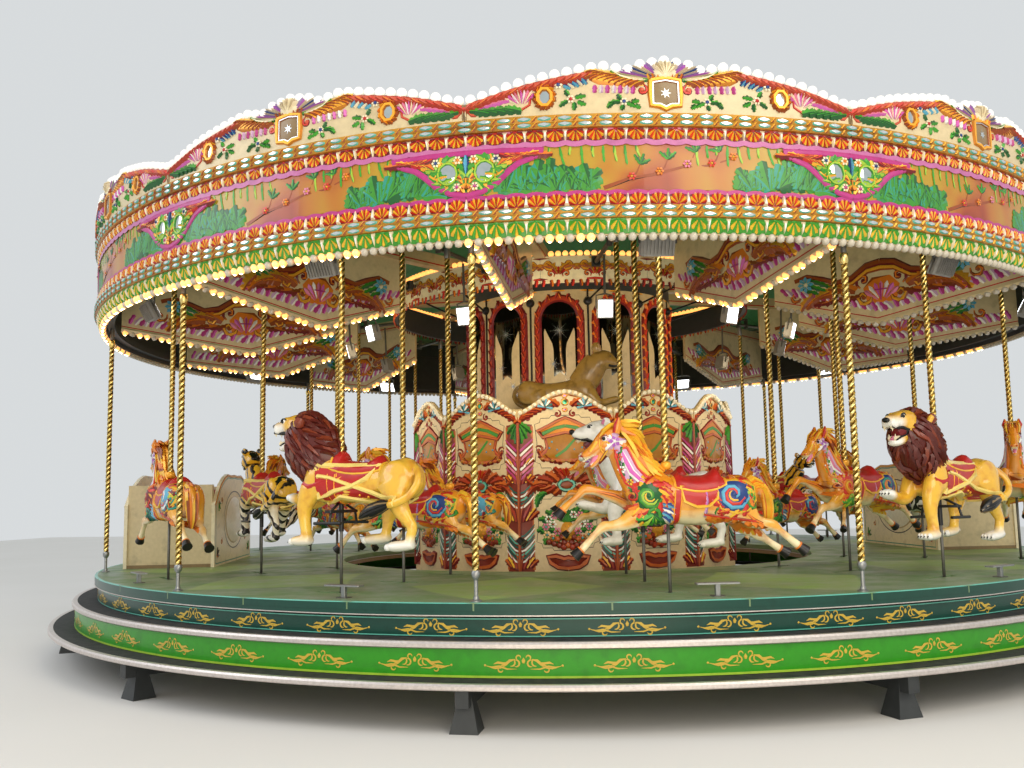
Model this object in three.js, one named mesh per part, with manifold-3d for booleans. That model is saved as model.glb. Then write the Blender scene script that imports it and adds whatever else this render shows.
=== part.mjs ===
// A three-row fairground carousel: a fixed base with two steps, a centre housing and a mast,
// and a turning top from which the ride floor hangs on rim poles, with galloping animals.
// Millimetres, +Z up, origin on the ground under the mast. Angles run from -Y towards +X.
import * as THREE from "three";
import { mergeVertices } from "three/addons/utils/BufferGeometryUtils.js";
import Module from "manifold-3d";

const wasm = await Module();
wasm.setup();

// Plan of the ride
const SECTIONS = 12;
const SECTION = (2 * Math.PI) / SECTIONS;
const RING_STEPS = 36;
const TOUCH = 0.3; // gap kept between pieces that rest on each other
const BITE = 20; // how far a bar runs into the piece that it is welded to

// Ground frame
const FOOT_TOP_HALF = 70;
const FOOT_BASE_HALF = 150;
const FOOT_RADII = [3000, 6250];
const BEAM_WIDTH = 100;
const BEAM_HEIGHT = 130;
const BEAM_TOP = 319 - TOUCH;
const BEAM_END = 6400;
const FOOTING_RADIUS = 480;

// Steps
const LOWER_TREAD = { inner: 5950, outer: 6455, low: 319, high: 365 };
const LOWER_RISER = { inner: 6160, outer: 6190, low: 365 + TOUCH, high: 573 - TOUCH };
const UPPER_TREAD = { inner: 5900, outer: 6222, low: 573, high: 623 };
const UPPER_RISER = { inner: 5930, outer: 5960, low: 623 + TOUCH, high: 766 };

// Ride floor
const FLOOR = { inner: 3100, outer: 6000, low: 820, high: 880 };
const EDGE_BAND = { inner: 5960, outer: 6000, low: 780, high: 820 - TOUCH };
const INNER_BAND = { inner: 3100, outer: 3135, low: 755, high: 820 - TOUCH };
const SLOT_LENGTH = 420;
const SLOT_WIDTH = 60;

// Centre housing, which does not turn
const HOUSING_TURN = THREE.MathUtils.degToRad(20.5);
const SHUTTER_RADIUS = 2150; // at the corners of the twelve-sided wall
const SHUTTER_THICKNESS = 35;
const SHUTTER_VALLEY = 2655;
const SHUTTER_ARCH = 250;
const SHUTTER_CREST_POWER = 1.5; // over 1, the foot of each crest sweeps out
const SHUTTER_STEPS = 4; // along each shutter
const DECK = { inner: 1250, low: 2400, high: 2440 };
const MAST_RADIUS = 220;
const MAST_TOP = 4250;
const SPIGOT_RADIUS = 90;
const SPIGOT_HEIGHT = 120;
const SPIGOT_PLAY = 8;

// Turning top
const HUB_RADIUS = 700;
const HUB_TOP = 4640;
const SWIFT = { width: 120, low: 4400, high: 4560 };
const SWIFT_BOARD_THICKNESS = 40;
const SWIFT_BOARD_EDGE = [[3100, 3860], [4300, 3500], [5800, 3730]]; // radius and height
const CRANK_SHAFT = { half: 30, low: 4290, high: 4350, end: 5800 };
const FLOODLIGHT = { half: 150, inner: 5560, outer: 5700, low: 3560, high: 3850, stemHalf: 20 };
const SCROLL_BAND = { inner: 2370, outer: 2420, low: 4070, high: SWIFT.low + BITE };
const DRUM = { inner: 1370, outer: 1400, low: 2640, high: SWIFT.low - TOUCH };
const CORNICE_INNER = 5960;
const LOWER_CORNICE = [[6010, 3690], [6085, 3850], [6045, 4026]];
const PICTURE_BAND = { inner: 5985, outer: 6040, low: 4026 + TOUCH, high: 4400 };
const UPPER_CORNICE = [[6045, 4400 + TOUCH], [6095, 4590], [6080, 4637]];
const CROWN = { inner: 6040, outer: 6080, low: 4637 + TOUCH, valley: 4730, peak: 5035 };
const CROWN_STEPS = 6; // along each section
const CROWN_SWELL = 0.45; // the low swell's share of the rise, and the middle arch has the rest
const CROWN_ARCH_TURNS = 2.4; // half turns of the arch's cosine along a section
const CROWN_ARCH_POWER = 1.5;
const ROOF = { edge: 4650, eye: 450, eyeHeight: 6100, thickness: 30 };
const FINIAL = [[0, 0], [560, 0], [520, 90], [260, 200], [110, 330], [210, 440], [210, 560], [0, 700]];

// Rim poles
const RIM_POLE_CIRCLE = 5900;
const RIM_POLE_RADIUS = 30;
const RIM_ROD_RADIUS = 16;
const RIM_ROD_TOP = 1060;
const RIM_RING = { inner: 5870, outer: CORNICE_INNER - TOUCH, low: 3740, high: 3820 };

// Animals: the pole stands in front of the saddle
const ROWS = [5400, 4400, 3500];
const ROW_SCALE = [1, 0.9, 0.8];
const POLE_RADIUS = 26;
const POLE_TOP = 4500;
const ROD_RADIUS = 14;
const ROD_LOW = 600;
const BODY_HEIGHT = [1700, 1640, 1560]; // of a body's middle, by row
const GALLOP_LIFT = [0, 60, 120]; // where each gallop group stands at rest
const CHARIOT_SECTION = 3; // and the one opposite
const RIDERS = [
  ["horse", "bear", "horse"],
  ["lion", "horse", "horse"],
  ["horse", "zebra", "horse"],
  [],
  ["horse", "tiger", "horse"],
  ["lion", "horse", "horse"],
];

// Poles stand beside the crank shaft, which runs along the middle of the section.
const POLE_SIDE = CRANK_SHAFT.half + POLE_RADIUS * Math.cos(Math.PI / 6) + TOUCH;

// Animal forms: each station is [forward of the pole, height, half width, half depth, sideways]
const HORSE_EAR = [[400, 600, 25, 25], [400, 710, 6, 6]];
const HORSE = {
  body: [[-730, 40, 60, 80], [-600, 30, 165, 185], [-260, 0, 195, 195], [80, 20, 175, 205]],
  head: [[270, 170, 120, 180], [340, 400, 75, 130], [430, 570, 65, 95], [680, 350, 48, 56]],
  limbs: [
    { y: -110, path: [[190, -70, 75, 110], [400, -200, 50, 60], [540, -215, 42, 48], [740, -410, 50, 42]] },
    { y: 110, path: [[190, -50, 75, 110], [430, 20, 50, 60], [660, 80, 42, 48], [850, -90, 50, 42]] },
    { y: -115, path: [[-550, -20, 85, 150], [-700, -170, 58, 70], [-870, -210, 42, 50], [-1120, -400, 48, 42]] },
    { y: 115, path: [[-530, -30, 85, 150], [-660, -220, 58, 70], [-810, -300, 42, 50], [-1020, -440, 48, 42]] },
    { y: -45, path: HORSE_EAR },
    { y: 45, path: HORSE_EAR },
  ],
  tail: [[-690, 110, 40, 50], [-870, 80, 60, 70], [-980, -90, 45, 50], [-1000, -210, 15, 20]],
};

const CAT = {
  body: [[-800, 40, 60, 90], [-660, 20, 160, 175], [-250, 0, 165, 165], [130, 20, 180, 200]],
  limbs: [
    { y: -110, path: [[230, -40, 80, 110], [330, -240, 62, 70], [280, -400, 58, 62], [380, -480, 70, 50]] },
    { y: 110, path: [[230, -30, 80, 110], [380, -180, 60, 65], [560, -140, 68, 60]] },
    { y: -110, path: [[-600, 0, 95, 160], [-650, -210, 70, 90], [-790, -380, 52, 56], [-610, -540, 70, 50]] },
    { y: 110, path: [[-520, 0, 95, 160], [-430, -240, 70, 90], [-400, -370, 52, 56], [-230, -490, 70, 50]] },
  ],
  tail: [[-730, 110, 40, 45], [-850, 20, 34, 38, -120], [-700, -170, 34, 38, -210], [-360, -240, 45, 50, -200]],
};

const MANE_HEAD = [[210, 200, 190, 250], [340, 400, 200, 250], [480, 490, 120, 150], [650, 480, 75, 95]];
const SLEEK_HEAD = [[270, 190, 120, 160], [420, 400, 110, 130], [560, 410, 85, 95], [640, 390, 65, 70]];
const BEAR_HEAD = [[270, 180, 145, 185], [430, 390, 120, 145], [580, 400, 85, 95], [700, 380, 60, 65]];
const BEAR_TAIL = [[-780, 80, 50, 60], [-870, 30, 30, 35]];

const FORMS = {
  horse: HORSE,
  zebra: HORSE,
  lion: { ...CAT, head: MANE_HEAD },
  tiger: { ...CAT, head: SLEEK_HEAD },
  bear: { ...CAT, head: BEAR_HEAD, tail: BEAR_TAIL },
  lioness: { ...CAT, head: SLEEK_HEAD },
};
const SADDLE = [[-50, 210, 90, 40], [-130, 175, 150, 60], [-320, 175, 160, 60], [-450, 270, 100, 35]];
const BODY_SIDES = 6;
const LIMB_SIDES = 4;

// A lioness figure standing on the deck behind the shutters' crest
const LIONESS = { scale: 0.85, radius: 1740, turn: THREE.MathUtils.degToRad(2) };

// Chariots: two facing benches between shaped side boards, on their own floor
const CHARIOT = {
  inner: 4560,
  outer: 5640,
  half: 1100,
  board: 40,
  floor: 40,
  seat: 430,
  seatFront: 560,
  seatBack: 1000,
  back: 1000,
  backThickness: 90,
  backInset: 20,
  seam: 10, // how far the benches run into the side boards
};
const CHARIOT_EDGE = [[1100, 760], [820, 1000], [420, 1140]]; // half of the side board's top

const PAINT = {
  steel: [0x8c8f8e, 0.5, 0.7],
  darkSteel: [0x35393a, 0.6, 0.6],
  tread: [0x2a2b2c, 0.8, 0],
  brightGreen: [0x3f8f3a, 0.5, 0],
  teal: [0x11604f, 0.45, 0],
  floorGreen: [0x7d8f6f, 0.7, 0],
  cream: [0xd9c9a0, 0.5, 0],
  brass: [0xc9a04a, 0.3, 0.9],
  gold: [0xb8862f, 0.4, 0.4],
  sunset: [0xd99a2b, 0.5, 0],
  canvas: [0x2f9a4a, 0.8, 0],
  horse: [0xe0a050, 0.35, 0],
  lion: [0xdfb23a, 0.35, 0],
  tiger: [0xe0a832, 0.35, 0],
  bear: [0xe9e4d6, 0.35, 0],
  zebra: [0xd8d4cc, 0.35, 0],
  lioness: [0xa88a5a, 0.6, 0],
};

const carousel = new THREE.Group();

function material(paint) {
  const [color, roughness, metalness] = PAINT[paint];
  return new THREE.MeshStandardMaterial({ color, roughness, metalness });
}

// Booleans: a geometry becomes a solid, and a solid becomes a geometry again.
function solidOf(geometry) {
  const bare = geometry.clone();
  bare.deleteAttribute("normal");
  bare.deleteAttribute("uv");
  const merged = mergeVertices(bare, 1e-3);
  return new wasm.Manifold(
    new wasm.Mesh({
      numProp: 3,
      vertProperties: merged.attributes.position.array,
      triVerts: new Uint32Array(merged.index.array),
    }),
  );
}

function geometryOf(solid) {
  const mesh = solid.getMesh();
  const indexed = new THREE.BufferGeometry();
  indexed.setAttribute("position", new THREE.BufferAttribute(mesh.vertProperties, 3));
  indexed.setIndex(new THREE.BufferAttribute(mesh.triVerts, 1));
  const flat = indexed.toNonIndexed();
  flat.computeVertexNormals();
  return flat;
}

const joined = (geometries) =>
  geometryOf(geometries.map(solidOf).reduce((whole, piece) => whole.add(piece)));

const cut = (geometry, holes) =>
  geometryOf(holes.map(solidOf).reduce((rest, hole) => rest.subtract(hole), solidOf(geometry)));

function addPiece(name, geometry, paint, angle = 0) {
  const mesh = new THREE.Mesh(geometry, material(paint));
  mesh.name = name;
  mesh.rotation.z = angle;
  carousel.add(mesh);
}

// A box given by its low and high corners.
function block(low, high) {
  const size = high.map((value, axis) => value - low[axis]);
  const middle = high.map((value, axis) => (value + low[axis]) / 2);
  return new THREE.BoxGeometry(...size).translate(...middle);
}

// An upright bar with flat sides facing +X and -X.
function bar(radius, low, high, sides, x = 0, y = 0) {
  return new THREE.CylinderGeometry(radius, radius, high - low, sides)
    .rotateX(Math.PI / 2)
    .rotateZ(sides % 4 ? 0 : Math.PI / sides)
    .translate(x, y, (low + high) / 2);
}

// A solid turned round the mast from points of radius and height, counterclockwise.
function turned(points, steps) {
  const outline = points.map(([radius, height]) => new THREE.Vector2(radius, height));
  outline.push(outline[0].clone());
  return new THREE.LatheGeometry(outline, steps).rotateX(Math.PI / 2);
}

const ring = ({ inner, outer, low, high }, steps = RING_STEPS) =>
  turned([[inner, low], [outer, low], [outer, high], [inner, high]], steps);

// A flat board standing on a radius: its outline is radius and height, at angle 0.
function radialBoard(outline, thickness) {
  const shape = new THREE.Shape(outline.map(([radius, height]) => new THREE.Vector2(radius, height)));
  return new THREE.ExtrudeGeometry(shape, { depth: thickness, bevelEnabled: false })
    .translate(0, 0, -thickness / 2)
    .rotateX(Math.PI / 2)
    .rotateZ(-Math.PI / 2);
}

// A closed wall round the mast whose top edge rises and falls: inner and outer give the radius
// at an angle, and top gives the height.
function wavyWall(steps, inner, outer, low, top) {
  const positions = [];
  const index = [];
  for (let i = 0; i < steps; i++) {
    const angle = (i / steps) * 2 * Math.PI;
    const corners = [[inner, low], [outer, low], [outer, top(angle)], [inner, top(angle)]];
    for (const [radius, height] of corners) {
      const reach = radius(angle);
      const rise = typeof height === "number" ? height : height(angle);
      positions.push(reach * Math.sin(angle), -reach * Math.cos(angle), rise);
    }
    const next = ((i + 1) % steps) * 4;
    for (let j = 0; j < 4; j++) {
      const k = (j + 1) % 4;
      index.push(4 * i + j, next + j, next + k, 4 * i + j, next + k, 4 * i + k);
    }
  }
  const geometry = new THREE.BufferGeometry();
  geometry.setAttribute("position", new THREE.Float32BufferAttribute(positions, 3));
  geometry.setIndex(index);
  return geometry;
}

// A limb or a body from stations as the animal forms give them, and forward is -X.
function limb(stations, sides, y = 0) {
  const positions = [];
  const index = [];
  stations.forEach(([forward, height, width, depth, side = 0], i) => {
    const before = stations[Math.max(i - 1, 0)];
    const after = stations[Math.min(i + 1, stations.length - 1)];
    const run = Math.hypot(after[0] - before[0], after[1] - before[1]);
    const along = (after[0] - before[0]) / run;
    const rise = (after[1] - before[1]) / run;
    for (let j = 0; j < sides; j++) {
      const turn = ((j + 0.5) / sides) * 2 * Math.PI;
      const out = depth * Math.sin(turn);
      positions.push(-forward + rise * out, y + side + width * Math.cos(turn), height + along * out);
    }
  });
  const last = (stations.length - 1) * sides;
  for (let i = 0; i < last; i += sides)
    for (let j = 0; j < sides; j++) {
      const k = (j + 1) % sides;
      index.push(i + j, i + sides + j, i + sides + k, i + j, i + sides + k, i + k);
    }
  for (let j = 1; j < sides - 1; j++)
    index.push(0, j, j + 1, last, last + j + 1, last + j);
  const geometry = new THREE.BufferGeometry();
  geometry.setAttribute("position", new THREE.Float32BufferAttribute(positions, 3));
  geometry.setIndex(index);
  return geometry;
}

// Fixed base
function groundFrame() {
  const pieces = [bar(FOOTING_RADIUS, 0, BEAM_TOP, SECTIONS)];
  for (let k = 0; k < SECTIONS; k++) {
    const beam = block(
      [-BEAM_WIDTH / 2, -BEAM_END, BEAM_TOP - BEAM_HEIGHT],
      [BEAM_WIDTH / 2, -FOOTING_RADIUS / 2, BEAM_TOP],
    );
    pieces.push(beam.rotateZ(k * SECTION));
    for (const radius of FOOT_RADII) {
      const height = BEAM_TOP - BEAM_HEIGHT / 2;
      const foot = new THREE.CylinderGeometry(FOOT_TOP_HALF, FOOT_BASE_HALF, height, 4)
        .rotateX(Math.PI / 2)
        .rotateZ(Math.PI / 4)
        .translate(0, -radius, height / 2);
      pieces.push(foot.rotateZ(k * SECTION));
    }
  }
  return joined(pieces);
}

// From the mast to the side of a polygon with a corner at angle 0, at any angle
const sideReach = (cornerRadius, sides) => (angle) => {
  const side = (2 * Math.PI) / sides;
  return (cornerRadius * Math.cos(side / 2)) / Math.cos((angle % side) - side / 2);
};

function shutterTop(angle) {
  const across = (angle % SECTION) / SECTION;
  return SHUTTER_VALLEY + SHUTTER_ARCH * Math.sin(Math.PI * across) ** SHUTTER_CREST_POWER;
}

function centreShutters() {
  return wavyWall(
    SECTIONS * SHUTTER_STEPS,
    sideReach(SHUTTER_RADIUS - SHUTTER_THICKNESS, SECTIONS),
    sideReach(SHUTTER_RADIUS, SECTIONS),
    BEAM_TOP + TOUCH,
    shutterTop,
  );
}

function mast() {
  return joined([
    bar(MAST_RADIUS, BEAM_TOP + TOUCH, MAST_TOP, SECTIONS),
    bar(SPIGOT_RADIUS, MAST_TOP - BITE, MAST_TOP + SPIGOT_HEIGHT, SECTIONS),
  ]);
}

// Ride floor with a slot under each animal's rod
function rideFloor() {
  const slots = [];
  for (let k = 0; k < SECTIONS; k++) {
    RIDERS[k % RIDERS.length].forEach((rider, row) => {
      const slot = block(
        [-SLOT_LENGTH / 2, -ROWS[row] - SLOT_WIDTH / 2, FLOOR.low - BITE],
        [SLOT_LENGTH / 2, -ROWS[row] + SLOT_WIDTH / 2, FLOOR.high + BITE],
      );
      slots.push(slot.rotateZ((k + 0.5) * SECTION));
    });
  }
  return cut(ring(FLOOR), slots);
}

function rimPoles() {
  const pieces = [ring(RIM_RING)];
  for (let k = 0; k < SECTIONS; k++) {
    const pole = bar(RIM_POLE_RADIUS, RIM_ROD_TOP, RIM_RING.low + BITE, 6, 0, -RIM_POLE_CIRCLE);
    const rod = bar(RIM_ROD_RADIUS, FLOOR.high + TOUCH, RIM_ROD_TOP + BITE, 4, 0, -RIM_POLE_CIRCLE);
    pieces.push(pole.rotateZ(k * SECTION), rod.rotateZ(k * SECTION));
  }
  return joined(pieces);
}

// From the mast to the middle of a flat side of a twelve-sided piece
const flatReach = (cornerRadius) => cornerRadius * Math.cos(SECTION / 2);

// A lamp housing and the stem that it hangs by from the end of a crank shaft
function floodlight() {
  const { half, inner, outer, low, high, stemHalf } = FLOODLIGHT;
  const middle = (inner + outer) / 2;
  return [
    block([-half, -outer, low], [half, -inner, high]),
    bar(stemHalf, high - BITE, CRANK_SHAFT.low + BITE, 4, 0, -middle),
  ];
}

// Hub, twelve swifts with their scalloped boards, the scroll band, the crank shafts and floodlights
function swiftFrame() {
  const slack = (SWIFT.width / 2) * Math.tan(Math.PI / RING_STEPS);
  const swiftEnd = CORNICE_INNER - slack - 2 * TOUCH;
  const socket = bar(SPIGOT_RADIUS + SPIGOT_PLAY, 0, MAST_TOP + SPIGOT_HEIGHT + SPIGOT_PLAY, SECTIONS);
  const hub = cut(bar(HUB_RADIUS, MAST_TOP + TOUCH, HUB_TOP, SECTIONS), [socket]);
  const boardEdge = [...SWIFT_BOARD_EDGE];
  const boardTop = SWIFT.low + BITE;
  boardEdge.push([boardEdge.at(-1)[0], boardTop], [boardEdge[0][0], boardTop]);
  const pieces = [hub, ring(SCROLL_BAND, SECTIONS)];
  for (let k = 0; k < SECTIONS; k++) {
    const swift = block(
      [-SWIFT.width / 2, -swiftEnd, SWIFT.low],
      [SWIFT.width / 2, BITE - flatReach(HUB_RADIUS), SWIFT.high],
    );
    pieces.push(swift.rotateZ(k * SECTION));
    pieces.push(radialBoard(boardEdge, SWIFT_BOARD_THICKNESS).rotateZ(k * SECTION));
    if (!RIDERS[k % RIDERS.length].length) continue;
    const shaft = block(
      [-CRANK_SHAFT.half, -CRANK_SHAFT.end, CRANK_SHAFT.low],
      [CRANK_SHAFT.half, -flatReach(SCROLL_BAND.inner + BITE), CRANK_SHAFT.high],
    );
    pieces.push(shaft.rotateZ((k + 0.5) * SECTION));
    pieces.push(...floodlight().map((piece) => piece.rotateZ((k + 0.5) * SECTION)));
  }
  return joined(pieces);
}

// A ring whose outer side follows a moulding's points, from the bottom to the top
const cornice = (points) =>
  turned([[CORNICE_INNER, points[0][1]], ...points, [CORNICE_INNER, points.at(-1)[1]]], RING_STEPS);

// The crown's top edge: a low swell along each section, with an arch in its middle
function crownTop(angle) {
  const across = (angle % SECTION) / SECTION;
  const swell = Math.sin(Math.PI * across);
  const arch = Math.max(0, Math.cos(Math.PI * (across - 0.5) * CROWN_ARCH_TURNS));
  const rise = CROWN_SWELL * swell + (1 - CROWN_SWELL) * arch ** CROWN_ARCH_POWER;
  return CROWN.valley + (CROWN.peak - CROWN.valley) * rise;
}

function crownBoards() {
  const [inner, outer] = [CROWN.inner, CROWN.outer].map((radius) => sideReach(radius, RING_STEPS));
  return wavyWall(SECTIONS * CROWN_STEPS, inner, outer, CROWN.low, crownTop);
}

function roofCanvas() {
  const rim = CROWN.inner - TOUCH;
  return turned(
    [
      [rim, ROOF.edge],
      [rim, ROOF.edge + ROOF.thickness],
      [ROOF.eye, ROOF.eyeHeight + ROOF.thickness],
      [ROOF.eye, ROOF.eyeHeight],
    ],
    RING_STEPS,
  );
}

function finial() {
  const base = ROOF.eyeHeight + ROOF.thickness + TOUCH;
  const points = FINIAL.map(([radius, height]) => new THREE.Vector2(radius, base + height));
  return new THREE.LatheGeometry(points, SECTIONS).rotateX(Math.PI / 2);
}

// Animals
function animalPieces(form) {
  return [
    limb([...form.body, ...form.head], BODY_SIDES),
    ...form.limbs.map(({ y, path }) => limb(path, LIMB_SIDES, y)),
    limb(form.tail, LIMB_SIDES),
  ];
}

// An animal on its pole, and the plain rod below it that runs through the floor
function rider(species, row, lift) {
  const scale = ROW_SCALE[row];
  const height = BODY_HEIGHT[row] + lift;
  const body = [...animalPieces(FORMS[species]), limb(SADDLE, BODY_SIDES)].map((piece) =>
    piece.scale(scale, scale, scale).translate(0, 0, height),
  );
  return joined([
    ...body,
    bar(POLE_RADIUS, height, POLE_TOP + lift, 6),
    bar(ROD_RADIUS, ROD_LOW + lift, height, 4),
  ]);
}

function addRiders() {
  for (let k = 0; k < SECTIONS; k++)
    RIDERS[k % RIDERS.length].forEach((species, row) => {
      const lift = GALLOP_LIFT[(k + row) % GALLOP_LIFT.length];
      const geometry = rider(species, row, lift).translate(POLE_SIDE, -ROWS[row], 0);
      const rowName = ["outer", "middle", "inner"][row];
      const number = String(k + 1).padStart(2, "0");
      addPiece(`${species}_${rowName}_${number}`, geometry, species, (k + 0.5) * SECTION);
    });
}

function chariot() {
  const base = FLOOR.high + TOUCH;
  const { inner, outer, half, seat, seatFront, seatBack, back, backInset, seam } = CHARIOT;
  const mirrored = CHARIOT_EDGE.map(([x, z]) => [-x, z]).reverse();
  const outline = [[-half, 0], [half, 0], ...CHARIOT_EDGE, ...mirrored];
  const shape = new THREE.Shape(outline.map(([x, z]) => new THREE.Vector2(x, z)));
  const board = (radius) =>
    new THREE.ExtrudeGeometry(shape, { depth: CHARIOT.board, bevelEnabled: false })
      .rotateX(Math.PI / 2)
      .translate(0, -radius, base);
  const across = (from, to, height) =>
    block([from, seam - outer, base], [to, -inner - seam, base + height]);
  const backEnd = half - backInset;
  const backStart = backEnd - CHARIOT.backThickness;
  return joined([
    board(inner),
    board(outer - CHARIOT.board),
    across(-half, half, CHARIOT.floor),
    across(-seatBack, -seatFront, seat),
    across(seatFront, seatBack, seat),
    across(-backEnd, -backStart, back),
    across(backStart, backEnd, back),
  ]);
}

function lioness() {
  const { scale, radius } = LIONESS;
  const geometry = joined(animalPieces(FORMS.lioness))
    .scale(scale, scale, scale)
    .rotateZ(Math.PI);
  geometry.computeBoundingBox();
  const lift = DECK.high + TOUCH - geometry.boundingBox.min.z;
  return geometry.translate(0, -radius, lift);
}

addPiece("ground_frame", groundFrame(), "darkSteel");
addPiece("lower_tread", ring(LOWER_TREAD), "tread");
addPiece("lower_riser", ring(LOWER_RISER), "brightGreen");
addPiece("upper_tread", ring(UPPER_TREAD), "tread");
addPiece("upper_riser", ring(UPPER_RISER), "teal");
addPiece("centre_shutters", centreShutters(), "cream", HOUSING_TURN);
const deckRadius = SHUTTER_RADIUS - SHUTTER_THICKNESS - 2 * TOUCH;
addPiece("centre_deck", ring({ ...DECK, outer: deckRadius }, SECTIONS), "darkSteel", HOUSING_TURN);
addPiece("mast", mast(), "steel");
addPiece("lioness_figure", lioness(), "lioness", LIONESS.turn);

addPiece("ride_floor", rideFloor(), "floorGreen");
addPiece("floor_edge_band", ring(EDGE_BAND), "teal");
addPiece("floor_inner_band", ring(INNER_BAND), "cream");
addPiece("rim_poles", rimPoles(), "brass");
addPiece("swift_frame", swiftFrame(), "cream");
addPiece("mirror_drum", ring(DRUM, SECTIONS), "cream");
addPiece("lower_cornice", cornice(LOWER_CORNICE), "gold");
addPiece("picture_band", ring(PICTURE_BAND), "sunset");
addPiece("upper_cornice", cornice(UPPER_CORNICE), "gold");
addPiece("crown_boards", crownBoards(), "cream");
addPiece("roof_canvas", roofCanvas(), "canvas");
addPiece("roof_finial", finial(), "gold");
for (const [name, k] of [["chariot_right", CHARIOT_SECTION], ["chariot_left", CHARIOT_SECTION + 6]])
  addPiece(name, chariot(), "cream", (k + 0.5) * SECTION);
addRiders();

export default carousel;
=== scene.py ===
"""Dresses a fairground carousel: finishes, carved boards, lamps and riding animals, in metres."""

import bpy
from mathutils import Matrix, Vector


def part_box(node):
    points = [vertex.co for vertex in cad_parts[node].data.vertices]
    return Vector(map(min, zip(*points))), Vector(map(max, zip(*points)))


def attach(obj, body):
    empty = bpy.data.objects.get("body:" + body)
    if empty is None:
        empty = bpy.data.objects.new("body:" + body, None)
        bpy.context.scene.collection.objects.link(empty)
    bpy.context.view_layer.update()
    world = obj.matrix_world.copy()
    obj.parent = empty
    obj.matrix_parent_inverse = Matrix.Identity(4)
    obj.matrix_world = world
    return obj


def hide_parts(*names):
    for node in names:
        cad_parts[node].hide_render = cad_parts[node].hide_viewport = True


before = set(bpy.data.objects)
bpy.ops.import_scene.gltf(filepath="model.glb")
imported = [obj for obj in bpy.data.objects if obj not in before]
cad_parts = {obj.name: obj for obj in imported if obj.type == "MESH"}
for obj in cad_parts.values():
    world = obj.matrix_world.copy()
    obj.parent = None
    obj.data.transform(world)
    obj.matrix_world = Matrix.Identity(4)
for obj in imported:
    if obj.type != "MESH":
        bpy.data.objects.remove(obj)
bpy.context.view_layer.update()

import math
import random

import bpy
from bpy.props import FloatProperty, FloatVectorProperty, IntProperty, PointerProperty
from mathutils import Matrix, Vector
from mathutils.bvhtree import BVHTree

bl_info = {
    "name": "Fairground Carousel",
    "version": (1, 0, 0),
    "blender": (4, 5, 0),
    "location": "View3D > Sidebar > Carousel",
    "description": "Carved boards, lamps, floor and riding animals of a three-row carousel",
    "category": "Add Mesh",
}

# Plan of the ride
SECTIONS = 12
SECTION = math.tau / SECTIONS
HALF_SECTION = SECTION / 2
MM = 0.001


def node_top(name):
    """Height of a CAD node's top."""
    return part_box(name)[1].z


def node_foot(name):
    """Height of a CAD node's underside."""
    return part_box(name)[0].z


FLOOR_TOP = node_top("ride_floor")
FLOOR_FOOT = node_foot("ride_floor")
FLOOR_HOLE = 3.1
RIM_POLE_CIRCLE = 5.9
ROW_RADII = (5.4, 4.4, 3.5)
ROW_SCALES = (1.0, 0.9, 0.8)
POLE_SIDE = 0.0528  # poles stand beside the crank shaft
POLE_TOP = 4.5
POLE_RADIUS = 0.031
ROD_FOOT = 0.6
CORNICE_FOOT = node_foot("lower_cornice")
PICTURE_FOOT = node_foot("picture_band")
PICTURE_TOP = node_top("picture_band")
CROWN_FOOT = node_top("upper_cornice")
CROWN_PEAK = node_top("crown_boards")
CROWN_FACE = 6.08
CROWN_BACK = 6.04
DRUM_FACE = 1.4
SHUTTER_CORNER = 2.15
SHUTTER_FOOT = node_foot("centre_shutters")
SHUTTER_VALLEY = 2.655
SHUTTER_ARCH = 0.25
HOUSING_TURN = math.radians(20.5)
SWIFT_FOOT = 4.4
SWIFT_TOP = 4.56
SWIFT_WIDTH = 0.12
SWIFT_BOARD_EDGE = ((3.1, 3.86), (4.3, 3.5), (5.8, 3.73))

# The camera stands in front of the joint between two sections, slightly to its right.
CAMERA_DISTANCE = 13.367
CAMERA_HEIGHT = FLOOR_TOP + 0.81
CAMERA_AZIMUTH = math.radians(7.4)
CAMERA_PITCH = math.radians(6.52)
CAMERA_YAW = math.radians(-3.46)
CAMERA_ROLL = math.radians(-1.06)
FOCAL_PIXELS = 966.7
PHOTO_WIDTH = 1024
SENSOR_WIDTH = 36.0


def polar(angle, radius, height):
    """A point round the mast: angle 0 is the front and grows towards +X."""
    return Vector((radius * math.sin(angle), -radius * math.cos(angle), height))


def linear(code):
    """Turns an sRGB hex code to linear RGBA."""
    parts = [int(code[i:i + 2], 16) / 255 for i in (1, 3, 5)]
    return tuple(p / 12.92 if p <= 0.04045 else ((p + 0.055) / 1.055) ** 2.4 for p in parts) + (1.0,)


def shade(colour, factor):
    """A linear colour lightened or darkened by a factor."""
    return tuple(min(1.0, part * factor) for part in colour[:3]) + (1.0,)


# Sizes and colours that a user may change

class CarouselSizes(bpy.types.PropertyGroup):
    """Sizes that a user may change."""
    globe_radius: FloatProperty(
        name="Globe radius", description="Radius of the opal globes along the crown", default=0.045,
        min=0.01, max=0.06, subtype="DISTANCE")
    globes_per_section: IntProperty(
        name="Globes per section", description="Opal globes along each crown board", default=33, min=6,
        max=60)
    lamp_radius: FloatProperty(
        name="Lamp radius", description="Radius of the opal lamp caps", default=0.037, min=0.01, max=0.06,
        subtype="DISTANCE")
    lamps_per_section: IntProperty(
        name="Lamps per section", description="Lamp caps under each lower cornice", default=39, min=6,
        max=60)
    lamp_glow: FloatProperty(
        name="Lamp glow", description="Strength of the lit lamp caps", default=1.7, min=0.0, max=50.0)
    rope_pitch: FloatProperty(
        name="Rope pitch", description="Height of one turn of a twisted pole", default=0.168, min=0.05,
        max=1.0, subtype="DISTANCE")


def paint(label, code):
    """A colour that a user may change, from its sRGB hex code."""
    return FloatVectorProperty(name=label, description=f"Colour of the {label.lower()}", subtype="COLOR",
                               size=4, default=linear(code), min=0.0, max=1.0)


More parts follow.
